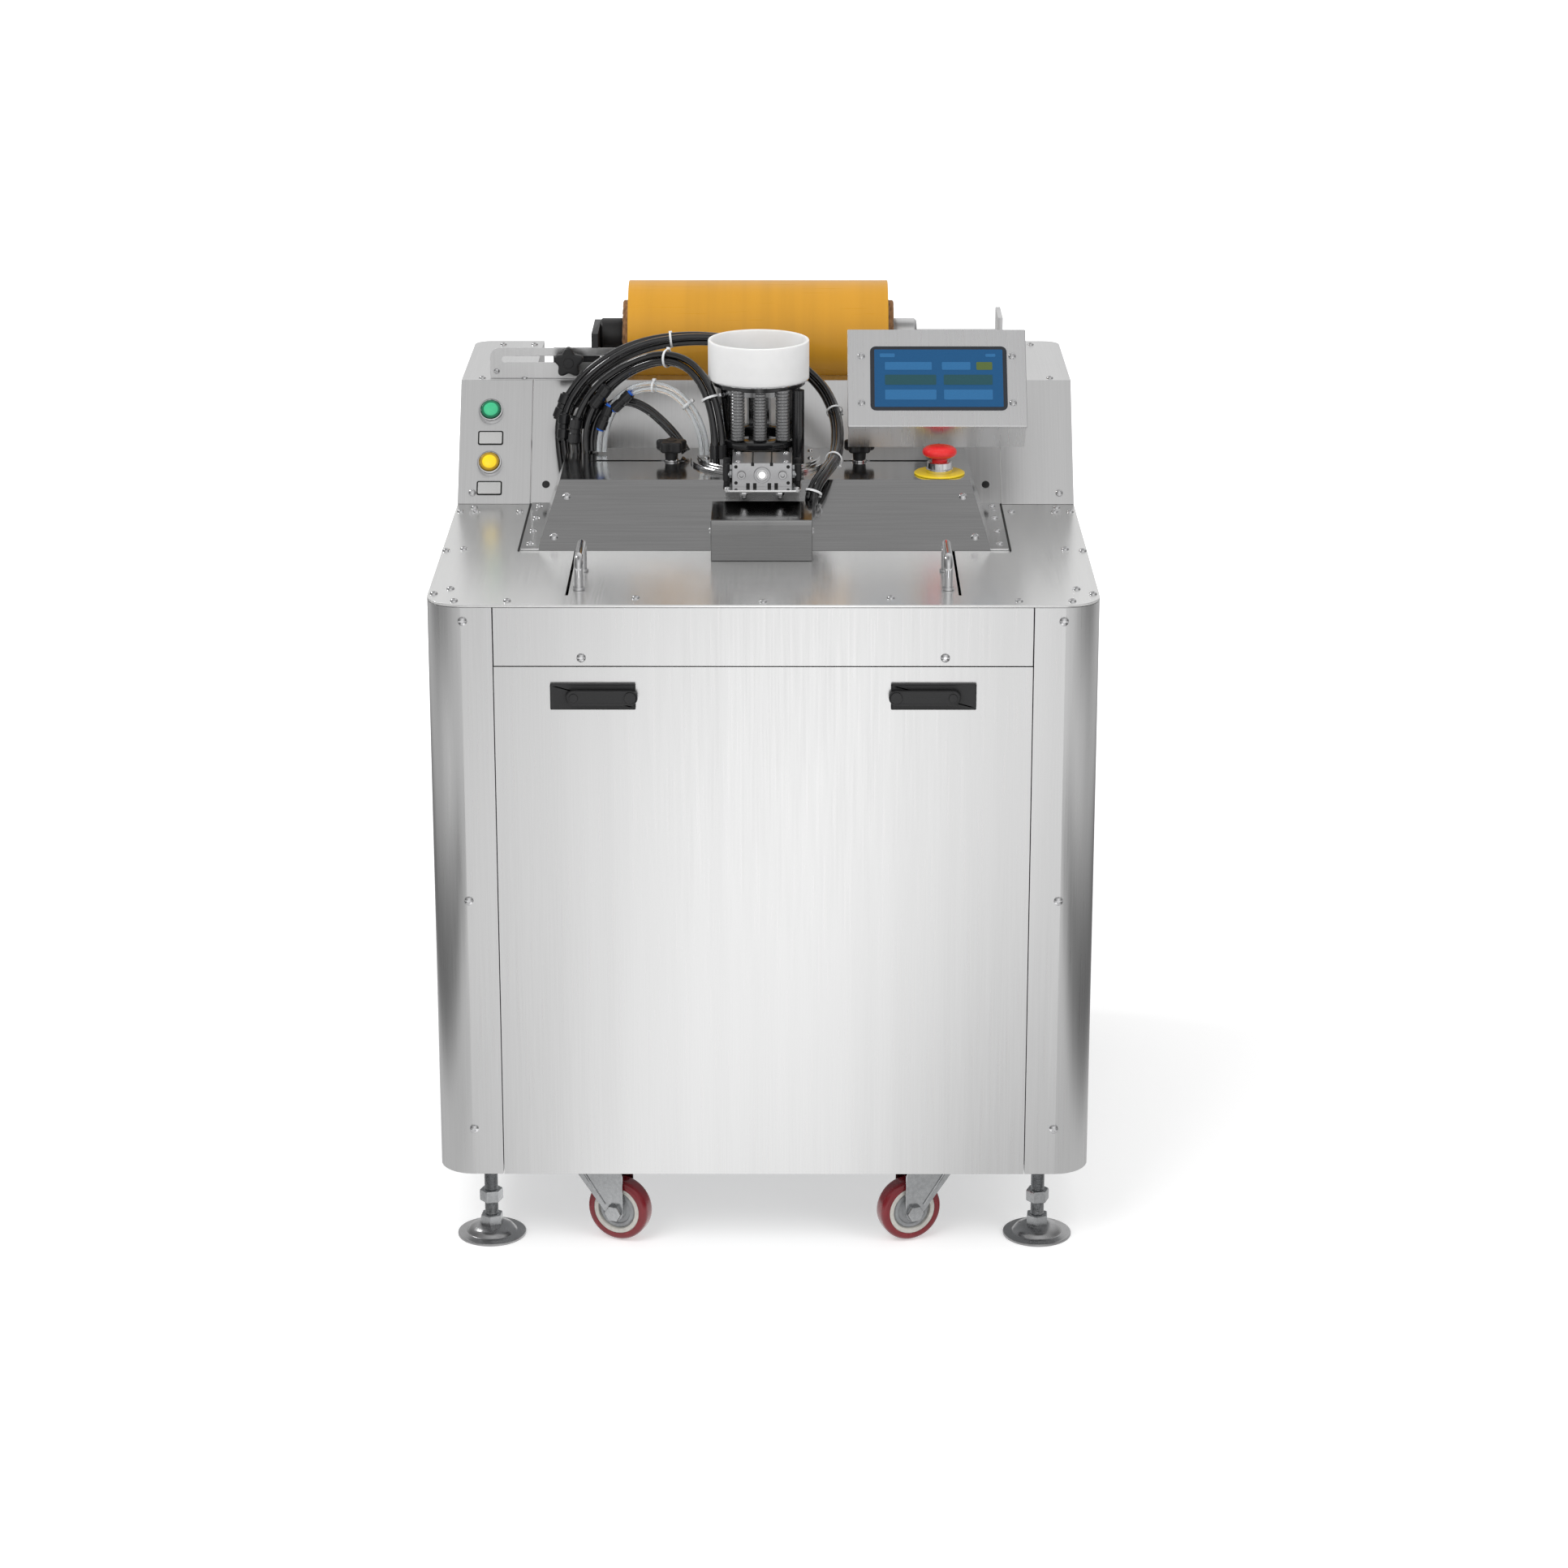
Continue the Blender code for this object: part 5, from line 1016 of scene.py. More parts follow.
@dataclass
class Casters:
    """Four swivel casters with pressed forks and red wheels."""

    trail: float = 0.020
    sheet: float = 0.0025
    inner: float = 0.0145
    crown: float = 0.094
    crown_reach: tuple[float, float] = (-0.030, 0.026)
    leg_radius: float = 0.011
    bolt_half: float = 0.018
    king: float = 0.019
    tread_half: float = 0.012
    yaws: dict[str, float] = field(default_factory=lambda: {
        "front_left": -22.0, "front_right": 202.0, "rear_left": 60.0, "rear_right": 120.0,
    })

    def build(self) -> None:
        """Builds the four casters."""
        for corner, yaw in self.yaws.items():
            place = Vector(joint_of(f"caster_{corner}_swivel")["pos_m"])
            axle = Vector(joint_of(f"wheel_{corner}_spin")["pos_m"])
            king = Matrix.Translation((place.x, place.y, 0)) @ Matrix.Rotation(math.radians(yaw), 4, "Z")
            self.fork(corner, king, axle.z)
            self.wheel(corner, king @ Matrix.Translation((self.trail, 0, axle.z)) @ Matrix.Rotation(
                math.radians(-90), 4, "X"))

    def fork(self, corner: str, king: Matrix, axle_z: float) -> None:
        """The swivel head, the pressed fork and the axle bolt.

        Args:
            corner: the corner it stands at.
            king: the swivel's frame on the floor.
            axle_z: height of the axle.
        """
        shape = Shape(ZINC)
        crown = self.crown
        rear, front = self.crown_reach
        outer = self.inner + self.sheet
        leg = [(rear, crown), (front, crown), (0.030, crown - 0.010), (self.trail + self.leg_radius, axle_z)]
        leg += arc((self.trail, axle_z), self.leg_radius, 0, -160, 10)
        leg.append((rear, crown - 0.010))
        upright = king @ Matrix.Rotation(math.radians(90), 4, "X")
        for sign in (-1, 1):
            near, far = -sign * self.inner, -sign * outer
            shape.prism(leg, min(near, far), max(near, far), upright, 0.0007)
            rib = [Vector((-0.022, sign * outer, crown - 0.006)), Vector((0.008, sign * outer, axle_z + 0.008))]
            shape.bar([king @ point for point in rib], 0.0016, 8)
            face = facing(king @ Vector((self.trail, sign * outer, axle_z)),
                          king.to_3x3() @ Vector((0, sign, 0)))
            shape.lathe([(0, 0.0008), (0.0104, 0.0008), (0.0106, 0)], face, 20)
            shape.hexagon_bolt(face, 0.0180, 0.0062)
        axle = Vector((self.trail, 0, axle_z))
        half = Vector((0, self.bolt_half, 0))
        shape.rod(king @ (axle - half), king @ (axle + half), 0.004, 12)
        shape.block((rear, -outer, crown - self.sheet), (front, outer, crown + 0.0005), 0.0009, 2, king)
        shape.lathe([(0, 0.1027), (self.king - 0.001, 0.1027), (self.king, 0.1017), (self.king, 0.0985),
                     (self.king - 0.0022, 0.0978), (self.king - 0.0022, 0.0968), (self.king, 0.0960),
                     (self.king, 0.0932), (0, 0.0932)], king, 32)
        node = "caster_fork_" + corner
        shape.piece(node + "_pressed", body_of(node), "zinc", (node,))

    def wheel(self, corner: str, axle: Matrix) -> None:
        """The tread, the cream rim and the grey hub.

        Args:
            corner: the corner it stands at.
            axle: the frame at the wheel's middle, Z along the axle.
        """
        low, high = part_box("caster_wheel_" + corner)
        radius = (high.z - low.z) / 2
        side = self.tread_half
        shape = Shape(TREAD)
        tread = [(0.0285, side - 0.0006), (radius - 0.0050, side), (radius - 0.0022, side - 0.0014),
                 (radius - 0.0006, side - 0.0040), (radius, side - 0.0072)]
        shape.lathe(tread + [(r, -z) for r, z in reversed(tread)], axle, 56, closed=True)
        shape.use(CREAM)
        rim = [(0.0225, side - 0.0022), (0.0235, side - 0.0008), (0.0275, side - 0.0004),
               (0.0286, side - 0.0012)]
        shape.lathe(rim + [(r, -z) for r, z in reversed(rim)], axle, 48, closed=True)
        shape.use(HUB)
        hub = [(0.0044, side + 0.0014), (0.0100, side + 0.0014), (0.0112, side + 0.0004),
               (0.0120, side - 0.0028), (0.0165, side - 0.0036), (0.0172, side - 0.0022),
               (0.0205, side - 0.0022), (0.0226, side - 0.0040)]
        shape.lathe(hub + [(r, -z) for r, z in reversed(hub)], axle, 40, closed=True)
        node = "caster_wheel_" + corner
        shape.piece(node + "_moulding", body_of(node), "red_tread", (node,))


# ---- deck pieces --------------------------------------------------------------------------------
def star_knob(name: str, foot: Matrix, node: str) -> None:
    """A five-lobed clamping knob on its neck, with a chrome washer.

    Args:
        name: the piece's name.
        foot: the frame it stands on.
        node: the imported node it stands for.
    """
    shape = Shape(BLACK)
    shape.prism(lobed(0.0190, 5, 0.15, 80), 0.012, 0.025, foot, 0.0030, 3)
    shape.lathe([(0, 0.0262), (0.0060, 0.0260), (0.0068, 0.0245)], foot, 24)
    shape.lathe([(0, 0.014), (0.0105, 0.0125), (0.0082, 0.0095), (0.0075, 0.0020), (0, 0.0020)], foot, 28)
    shape.use(CHROME)
    shape.lathe([(0, 0.0021), (0.0090, 0.0021), (0.0094, 0.0016), (0.0094, 0.0001), (0, 0.0001)], foot, 28)
    shape.piece(name, body_of(node), "black_plastic", (node,))


@dataclass
class Hood:
    """The hood over the wrapping head, the box in front of it, its knobs and the rail handles."""

    slope_out: Vector = field(default_factory=lambda: Vector((0, -0.063, 0.092)).normalized())
    flange_screws: tuple[float, ...] = (0.262, 0.322, 0.384, 0.444)
    flange_x: float = 0.2745
    flange_top: float = 0.0023
    front_screws: tuple[tuple[float, float, float], ...] = ((0.233, 0.307, 0.048), (0.2455, 0.255, 0.0123))
    knob_x: float = 0.113
    slot_depth: float = 0.425
    height: float = 0.063
    gasket_x: tuple[float, float] = (0.2848, 0.2870)
    gasket_depths: tuple[float, float] = (0.2355, 0.4615)

    def build(self) -> None:
        """Builds the hood and what is on it."""
        refined("hood", POLISHED, "polished_stainless", 0.0013)
        # The chute cover takes the darkened steel, its dark reflections painted into its colour.
        refined("chute_cover", CHUTE_STEEL_PAINTED_DARK, "polished_stainless", 0.0010)
        self.screws()
        self.gaskets_and_gap_shade()
        for side, sign in SIDES.items():
            star_knob(f"hood_knob_{side}_moulding",
                      Matrix.Translation(at(sign * self.knob_x, self.slot_depth, self.height + 0.0003)),
                      "hood_knob_" + side)
            dress("film_guide_" + side, ZINC)
            self.handle(side)
        self.emergency_stop()

    def screws(self) -> None:
        """The screws of the side flanges, of the sloped front and of the box in front."""
        shape = Shape(CHROME)
        for sign in SIDES.values():
            for depth in self.flange_screws:
                place = at(sign * self.flange_x, depth, self.flange_top)
                shape.button_screw(facing(place, (0, 0, 1)), Head.FLANGE)
            for x, depth, height in self.front_screws:
                shape.button_screw(facing(at(sign * x, depth, height), self.slope_out), Head.SLOPE)
        low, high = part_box("chute_cover")
        for x, out in ((low.x, -1), (high.x, 1)):
            place = Vector((x, low.y + 0.011, DECK_TOP + 0.034))
            shape.button_screw(facing(place, (out, 0, 0)), Head.SMALL)
        shape.piece("hood_screws", "cabinet", "chrome")

    def gaskets_and_gap_shade(self) -> None:
        """The dark strips along the hood's flanges: partly the rubber gasket, partly painted shade in the gap at
        the flanges' edge.
        """
        # Painted shade: the strips' dark finish also stands in for the shade in the gap along each flange.
        shape = Shape(SHADOW)
        front, rear = self.gasket_depths
        for sign in SIDES.values():
            low, high = sorted(sign * x for x in self.gasket_x)
            shape.block(at(low, front, 0.0001), at(high, rear, 0.0013))
        shape.piece("hood_gaskets_and_gap_shade", "cabinet", "black_plastic")

    def handle(self, side: str) -> None:
        """A chrome rail handle with small collars at its feet.

        Args:
            side: left or right.
        """
        node = "rail_handle_" + side
        low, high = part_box(node)
        radius = (high.x - low.x) / 2
        x = (low.x + high.x) / 2
        bend = 0.012
        near, far = low.y + radius, high.y - radius
        top = high.z - radius
        outline = [(near, low.z)] + arc((near + bend, top - bend), bend, 180, 90, 8)
        outline += arc((far - bend, top - bend), bend, 90, 0, 8) + [(far, low.z)]
        shape = Shape(CHROME)
        shape.bar([Vector((x, y, z)) for y, z in outline], radius, 20)
        for y in (near, far):
            shape.lathe([(0, 0.0030), (0.0064, 0.0030), (0.0070, 0.0022), (0.0070, 0), (0, 0)],
                        Matrix.Translation((x, y, low.z)), 24)
        shape.piece(node + "_bent", body_of(node), "chrome", (node,))

    def emergency_stop(self) -> None:
        """The yellow disc, the chrome collar and the red mushroom head."""
        low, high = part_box("estop_base")
        place = Matrix.Translation(((low.x + high.x) / 2, (low.y + high.y) / 2, low.z))
        shape = Shape(YELLOW)
        shape.lathe([(0.0095, 0.0020), (0.0290, 0.0020), (0.0300, 0.0012), (0.0300, 0), (0.0095, 0)], place, 48,
                    closed=True)
        shape.use(CHROME)
        shape.lathe([(0.0095, 0.0150), (0.0135, 0.0150), (0.0145, 0.0142), (0.0145, 0.0070), (0.0162, 0.0062),
                     (0.0162, 0.0020), (0.0095, 0.0020)], place, 36, closed=True)
        shape.piece("estop_base_turned", "cabinet", "yellow_plate", ("estop_base",))
        head = Shape(RED)
        head.lathe([(0, 0.0338), (0.0080, 0.0336), (0.0130, 0.0330), (0.0170, 0.0316), (0.0195, 0.0296),
                    (0.0205, 0.0270), (0.0203, 0.0245), (0.0185, 0.0222), (0.0150, 0.0202), (0.0110, 0.0196),
                    (0.0090, 0.0190), (0.0090, 0.0075), (0, 0.0075)], place, 48)
        head.piece("estop_head_turned", "estop_button", "red_plastic", ("estop_head",))


@dataclass
class FeedHead:
    """The hopper: a stepped flange, a slotted tube, gripping fingers, a ring and the white cup."""

    x: float = -0.008
    depth: float = 0.424
    base: float = 0.0633
    flange: float = 0.008
    flange_screws: tuple[float, ...] = (18, 54, 90, 126, 162, 198, 342)
    tube: tuple[float, float] = (0.0425, 0.0500)
    staves: tuple[tuple[float, float], ...] = ((-43, 60), (73, 83), (97, 107), (120, 223))
    finger_x: tuple[float, ...] = (-0.0326, -0.0061, 0.0208)
    finger_depth: float = 0.380
    finger_radius: float = 0.0084
    finger_span: tuple[float, float] = (0.099, 0.160)
    finger_ribs: int = 16
    post: tuple[float, float] = (0.0394, 0.385)

    def build(self) -> None:
        """Builds the hopper and its cup."""
        self.housing()
        self.fingers()
        self.cup()

    def housing(self) -> None:
        """The flange with its screws, none of them near the guide plate, the slotted tube and its rim."""
        place = Matrix.Translation(at(self.x, self.depth, 0))
        inner, outer = self.tube
        base = self.base
        shape = Shape(POLISHED)
        top = base + self.flange
        shape.lathe([(inner, top), (0.0732, top), (0.0740, top - 0.0008), (0.0740, top - 0.0034),
                     (0.0746, top - 0.0040), (0.0812, top - 0.0040), (0.0820, top - 0.0048), (0.0820, base),
                     (inner, base)], place, 72, closed=True)
        shape.use(CHROME)
        for angle in self.flange_screws:
            turn = Matrix.Rotation(math.radians(angle), 4, "Z")
            shape.button_screw(place @ turn @ Matrix.Translation((0.0650, 0, top)), Head.SMALL)
        shape.use(DARK_STEEL)
        for low, high in ((top, 0.0775), (0.1515, 0.1585)):
            shape.lathe([(inner, high), (outer, high), (outer, low), (inner, low)], place, 64, closed=True)
        for start, end in self.staves:
            shape.lathe([(inner, 0.1520), (outer, 0.1520), (outer, 0.0770), (inner, 0.0770)], place,
                        max(2, int((end - start) / 6)), closed=True, sweep=(start, end))
        shape.use(GLOSS_BLACK)
        shape.lathe([(inner, 0.1640), (0.0548, 0.1640), (0.0555, 0.1632), (0.0555, 0.1590), (0.0548, 0.1582),
                     (inner, 0.1582)], place, 56, closed=True)
        shape.piece("hopper_housing_tube", "cabinet", "black_plastic", ("hopper_housing",))

    def fingers(self) -> None:
        """The ribbed gripping fingers on their glossy ring, and the post beside them."""
        place = Matrix.Translation(at(self.x, self.depth, 0))
        shape = Shape(GLOSS_BLACK)
        shape.lathe([(0.0340, 0.0970), (0.0365, 0.0985), (0.0500, 0.0985), (0.0535, 0.0965), (0.0545, 0.0925),
                     (0.0535, 0.0885), (0.0500, 0.0862), (0.0340, 0.0862)], place, 64, closed=True)
        shape.rod(at(*self.post, self.base + self.flange), at(*self.post, 0.1585), 0.0072, 28)
        shape.use(GREY_ROD)
        low, high = self.finger_span
        step = (high - low) / self.finger_ribs
        crest, groove = self.finger_radius, self.finger_radius - 0.0008
        profile = [(0, high)]
        for i in range(self.finger_ribs):
            z = high - (high - low) * i / self.finger_ribs
            profile += [(groove, z), (crest, z - 0.25 * step), (crest, z - 0.75 * step)]
        profile += [(groove, low), (0, low)]
        for x in self.finger_x:
            shape.lathe(profile, Matrix.Translation(at(x, self.finger_depth, 0)), 20)
        shape.piece("hopper_fingers", "cabinet", "black_plastic")

    def cup(self) -> None:
        """The white feed cup on a thin metal ring."""
        low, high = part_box("feed_cup")
        place = Matrix.Translation(((low.x + high.x) / 2, (low.y + high.y) / 2, low.z))
        outer = (high.x - low.x) / 2
        inner = outer - 0.004
        top = high.z - low.z
        shape = Shape(NYLON)
        shape.lathe([(inner, 0.0014), (inner, top - 0.0014), (inner + 0.0006, top - 0.0004),
                     (outer - 0.0016, top), (outer - 0.0004, top - 0.0006), (outer, top - 0.0018),
                     (outer, 0.0020), (outer - 0.0010, 0.0012)], place, 96, closed=True)
        shape.use(CHROME)
        shape.lathe([(0.0440, 0.0012), (outer - 0.0008, 0.0012), (outer - 0.0004, 0.0008), (outer - 0.0006, 0),
                     (0.0440, 0)], place, 72, closed=True)
        shape.piece("feed_cup_turned", "cabinet", "white_nylon", ("feed_cup",))


@dataclass
class GuideCylinder:
    """The guided cylinder on its mounting plate, with bolts, fittings and acorn nuts."""

    x: float = -0.003
    front: float = 0.280
    rear: float = 0.338
    half: float = 0.035
    low: float = 0.0663
    high: float = 0.0943
    rod_x: float = 0.024
    port_depths: tuple[float, float] = (0.294, 0.324)

    def build(self) -> None:
        """Builds the cylinder and the plate that it pushes."""
        self.body()
        self.fittings()
        dress("guide_plate", ALUMINIUM)

    def body(self) -> None:
        """The block with its bosses, on the plate, and dark patches painted as the shade in its ports, slots and
        grooves.
        """
        middle = (self.low + self.high) / 2
        shape = Shape(ALUMINIUM)
        shape.block(at(self.x - self.half, self.front, self.low - 0.0004),
                    at(self.x + self.half, self.rear, self.high), 0.0010, 2)
        out = (0, -1, 0)
        boss = facing(at(self.x, self.front, middle), out)
        shape.lathe([(0.0060, 0.0008), (0.0066, 0.0018), (0.0092, 0.0018), (0.0098, 0.0008), (0.0098, -0.001),
                     (0.0060, -0.001)], boss, 36, closed=True)
        shape.use(POLISHED)
        shape.lathe([(0, 0.0012), (0.0044, 0.0012), (0.0054, 0.0004), (0.0062, 0.0004)], boss, 28)
        plate_low, plate_high = self.low - 0.003, self.low
        corner = rounded(0.0455, 0.039, 0.006)
        shape.prism(corner, plate_low, plate_high, Matrix.Translation(at(self.x, 0.301, 0)), 0.0005)
        for sign in (-1, 1):
            shape.use(DARK_STEEL)
            bolt = facing(at(self.x + sign * self.rod_x, self.front, middle), out)
            shape.lathe([(0, 0.0012), (0.0022, 0.0012), (0.0026, 0.0030), (0.0046, 0.0030), (0.0050, 0.0024),
                         (0.0050, 0)], bolt, 20)
            shape.use(CHROME)
            for depth in (0.286, 0.331):
                shape.button_screw(facing(at(self.x + sign * 0.028, depth, self.high), (0, 0, 1)), Head.SMALL)
            shape.button_screw(facing(at(self.x + sign * 0.0405, 0.270, plate_high), (0, 0, 1)), Head.SMALL)
            nut = facing(at(self.x + sign * 0.021, 0.268, plate_low), (0, 0, -1))
            shape.hexagon_bolt(nut, 0.0085, 0.0042)
            shape.lathe([(0, 0.0092), (0.0020, 0.0088), (0.0036, 0.0072), (0.0040, 0.0040)], nut, 20)
        # Painted shade: dark discs and strips laid on the faces stand in for the shade inside the ports, the slots
        # and the grooves.
        shape.use(SHADOW)
        for sign in (-1, 1):
            for height in (middle - 0.0096, middle + 0.0096):
                shape.lathe([(0, 0.0002), (0.0021, 0.0002), (0.0021, -0.001)],
                            facing(at(self.x + sign * 0.0305, self.front, height), out), 14)
            for near in (0.0085, 0.0165):
                centre = self.x + sign * near
                shape.block(at(centre - 0.0021, self.front - 0.0002, self.low),
                            at(centre + 0.0021, self.front + 0.002, self.low + 0.0042))
            groove = self.x + sign * 0.0110
            shape.block(at(groove - 0.0018, self.front - 0.0002, self.high - 0.0034),
                        at(groove + 0.0018, self.front + 0.002, self.high + 0.0002))
            shape.block(at(groove - 0.0009, self.front, self.high - 0.002),
                        at(groove + 0.0009, self.rear, self.high + 0.0002))
        shape.piece("guide_cylinder_machined", "cabinet", "aluminium", ("guide_cylinder",))

    def fittings(self) -> None:
        """The speed controllers on both sides, with knurled adjusters."""
        shape = Shape(ZINC)
        for sign in (-1, 1):
            for depth in self.port_depths:
                place = facing(at(self.x + sign * self.half, depth, self.low + 0.012), (sign, 0, 0))
                shape.hexagon_bolt(place, 0.0085, 0.0035)
                shape.rod(place @ Vector((0, 0, 0.003)), place @ Vector((0, 0, 0.0095)), 0.0036, 16,
                          edge=0.0005)
        shape.use(BLACK)
        for sign in (-1, 1):
            x = self.x + sign * (self.half + 0.0070)
            for depth in self.port_depths:
                shape.rod(at(x, depth, self.low + 0.004), at(x, depth, self.low + 0.024), 0.0042, 18,
                          edge=0.0006)
        shape.piece("speed_controllers", "cabinet", "black_plastic")


# ---- console and film bay -----------------------------------------------------------------------
@dataclass
class Console:
    """The console's side blocks and centre panel, the two push buttons and their labels."""

    front: float = 0.462
    top_front: float = 0.560
    height: float = 0.133
    button_x: float = -0.337
    top_screws: tuple[tuple[float, float], ...] = (
        (0.350, 0.572), (0.298, 0.572), (0.338, 0.776), (0.298, 0.776),
    )
    label_heights: tuple[float, float] = (0.0705, 0.0170)
    lift: float = 0.0003

    def slope(self, x: float, height: float) -> Matrix:
        """The frame at a point of the sloped front.

        Args:
            x: the place across.
            height: the height on deck.

        Returns:
            The frame, Y up along the slope and Z out of it.
        """
        run = self.top_front - self.front
        up = Vector((0, run, self.height)).normalized()
        out = Vector((0, -self.height, run)).normalized()
        return framed(at(x, self.front + run * height / self.height, height) + out * self.lift, up, out)

    def build(self) -> None:
        """Builds the console."""
        for node in ("console_left", "console_right", "console_panel"):
            refined(node, STAINLESS_ACROSS, "stainless_panel")
        self.button("start", 0.098, GREEN_LENS, GREEN_RING, "green_cap")
        self.button("reset", 0.042, YELLOW_LENS, YELLOW_RING, "yellow_cap")
        self.labels()
        self.screws()

    def button(self, name: str, height: float, lens: Finish, ring: Finish, slot: str) -> None:
        """A push button: its chrome bezel, and its cap with a ring round the lens.

        Args:
            name: start or reset.
            height: its height on deck.
            lens: the lens's finish.
            ring: the ring's finish.
            slot: the cap's material slot in the record.
        """
        place = self.slope(self.button_x, height)
        bezel = Shape(CHROME)
        bezel.lathe([(0.0122, 0.0030), (0.0122, 0.0086), (0.0130, 0.0092), (0.0142, 0.0090), (0.0150, 0.0078),
                     (0.0153, 0.0050), (0.0155, 0), (0, 0), (0, 0.0030)], place, 48)
        bezel.piece(name + "_bezel_turned", "cabinet", "chrome", (name + "_bezel",))
        cap = Shape(ring)
        cap.lathe([(0.0090, 0.0106), (0.0104, 0.0108), (0.0115, 0.0100), (0.0118, 0.0088), (0.0118, 0.0064),
                   (0.0090, 0.0064)], place, 40, closed=True)
        cap.use(lens)
        cap.lathe([(0, 0.0118), (0.0050, 0.0115), (0.0080, 0.0108), (0.0091, 0.0100), (0.0091, 0.0064),
                   (0, 0.0064)], place, 40)
        cap.piece(name + "_cap_moulding", name + "_button", slot, (name + "_cap",))

    def labels(self) -> None:
        """Two bare label plates, each on a dark outline that is painted shade round its edge, below the buttons.
        """
        # Painted shade: the dark outline under each plate stands in for the shade at its edge.
        shape = Shape(SHADOW)
        for height in self.label_heights:
            shape.prism(rounded(0.0155, 0.0093, 0.0026), -0.0003, 0.0003, self.slope(self.button_x, height))
        shape.use(LABEL)
        for height in self.label_heights:
            shape.prism(rounded(0.0138, 0.0076, 0.0014), 0, 0.0005, self.slope(self.button_x, height))
        shape.piece("button_labels", "cabinet", "stainless_panel")

    def screws(self) -> None:
        """The console's screws, and the two round plugs low on the centre panel."""
        shape = Shape(CHROME)
        for sign in SIDES.values():
            shape.button_screw(self.slope(sign * 0.3575, 0.0120), Head.DECK)
            for x, depth in self.top_screws:
                shape.button_screw(facing(at(sign * x, depth, self.height), (0, 0, 1)), Head.FLANGE)
        shape.use(BLACK)
        for sign in SIDES.values():
            shape.lathe([(0, 0.0012), (0.0034, 0.0011), (0.0046, 0.0006), (0.0048, -0.0004)],
                        self.slope(sign * 0.268, 0.0210), 20)
        shape.piece("console_screws", "cabinet", "chrome")


@dataclass
class FilmBay:
    """The film roll on its core, the slotted plate, the sliding carrier and the idler."""

    x: float = -0.010
    depth: float = 0.650
    height: float = 0.170
    roll: float = 0.0695
    roll_bore: float = 0.0455
    roll_half: float = 0.161
    roll_rings: int = 12
    core: tuple[float, float] = (0.0380, 0.0448)
    core_half: float = 0.1685

    def build(self) -> None:
        """Builds the film bay."""
        centre = facing(at(self.x, self.depth, self.height), (1, 0, 0))
        self.film(centre)
        self.tube(centre)
        refined("roll_slide_plate", STAINLESS_ACROSS, "stainless_panel", 0.0003)
        refined("roll_carrier", BLACK, "black_plastic", 0.0004)
        low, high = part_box("roll_slide_knob")
        foot = framed(Vector(((low.x + high.x) / 2, high.y, joint_of("roll_slide_knob_turn")["pos_m"][2])),
                      Vector((0, 0, 1)), Vector((0, -1, 0)))
        star_knob("roll_slide_knob_moulding", foot, "roll_slide_knob")
        dress("film_idler", ALUMINIUM)
        self.screws()

    def film(self, centre: Matrix) -> None:
        """The wound film, its ends slightly uneven.

        Args:
            centre: the frame at the roll's middle, Z along it.
        """
        half = self.roll_half
        profile = [(self.roll_bore, half - 0.0010)]
        for i in range(1, self.roll_rings):
            radius = self.roll_bore + (self.roll - self.roll_bore) * i / self.roll_rings
            profile.append((radius, half - 0.0004 - 0.0005 * (i % 2)))
        profile += [(self.roll - 0.0006, half), (self.roll, half - 0.0006)]
        shape = Shape(AMBER)
        shape.lathe(profile + [(r, -z) for r, z in reversed(profile)], centre, 96, closed=True)
        shape.piece("film_roll_wound", "film_roll", "amber_film", ("film_roll",))

    def tube(self, centre: Matrix) -> None:
        """The board core, its ends frayed.

        Args:
            centre: the frame at the roll's middle, Z along it.
        """
        inner, outer = self.core
        half = self.core_half
        shape = Shape(CARDBOARD)
        ends = [(inner, half), (inner + 0.0020, half + 0.0004), (outer - 0.0015, half), (outer, half - 0.0008),
                (outer, half - 0.0040)]
        shape.lathe(ends + [(r, -z) for r, z in reversed(ends)], centre, 72, closed=True)
        for vert in shape.bm.verts:
            along = vert.co.x - self.x
            if abs(along) > half - 0.002:
                rough = noise.noise(vert.co * 160)
                vert.co.x -= math.copysign(0.0022 * abs(rough), along)
        shape.piece("film_core_board", "film_roll", "cardboard", ("film_core",))

    def screws(self) -> None:
        """The two screws in the slotted plate's foot."""
        shape = Shape(CHROME)
        for x in (-0.332, -0.180):
            shape.button_screw(facing(at(x, 0.5700, 0.1420), (0, -1, 0)), Head.PLATE)
        shape.piece("slide_plate_screws", "cabinet", "chrome")


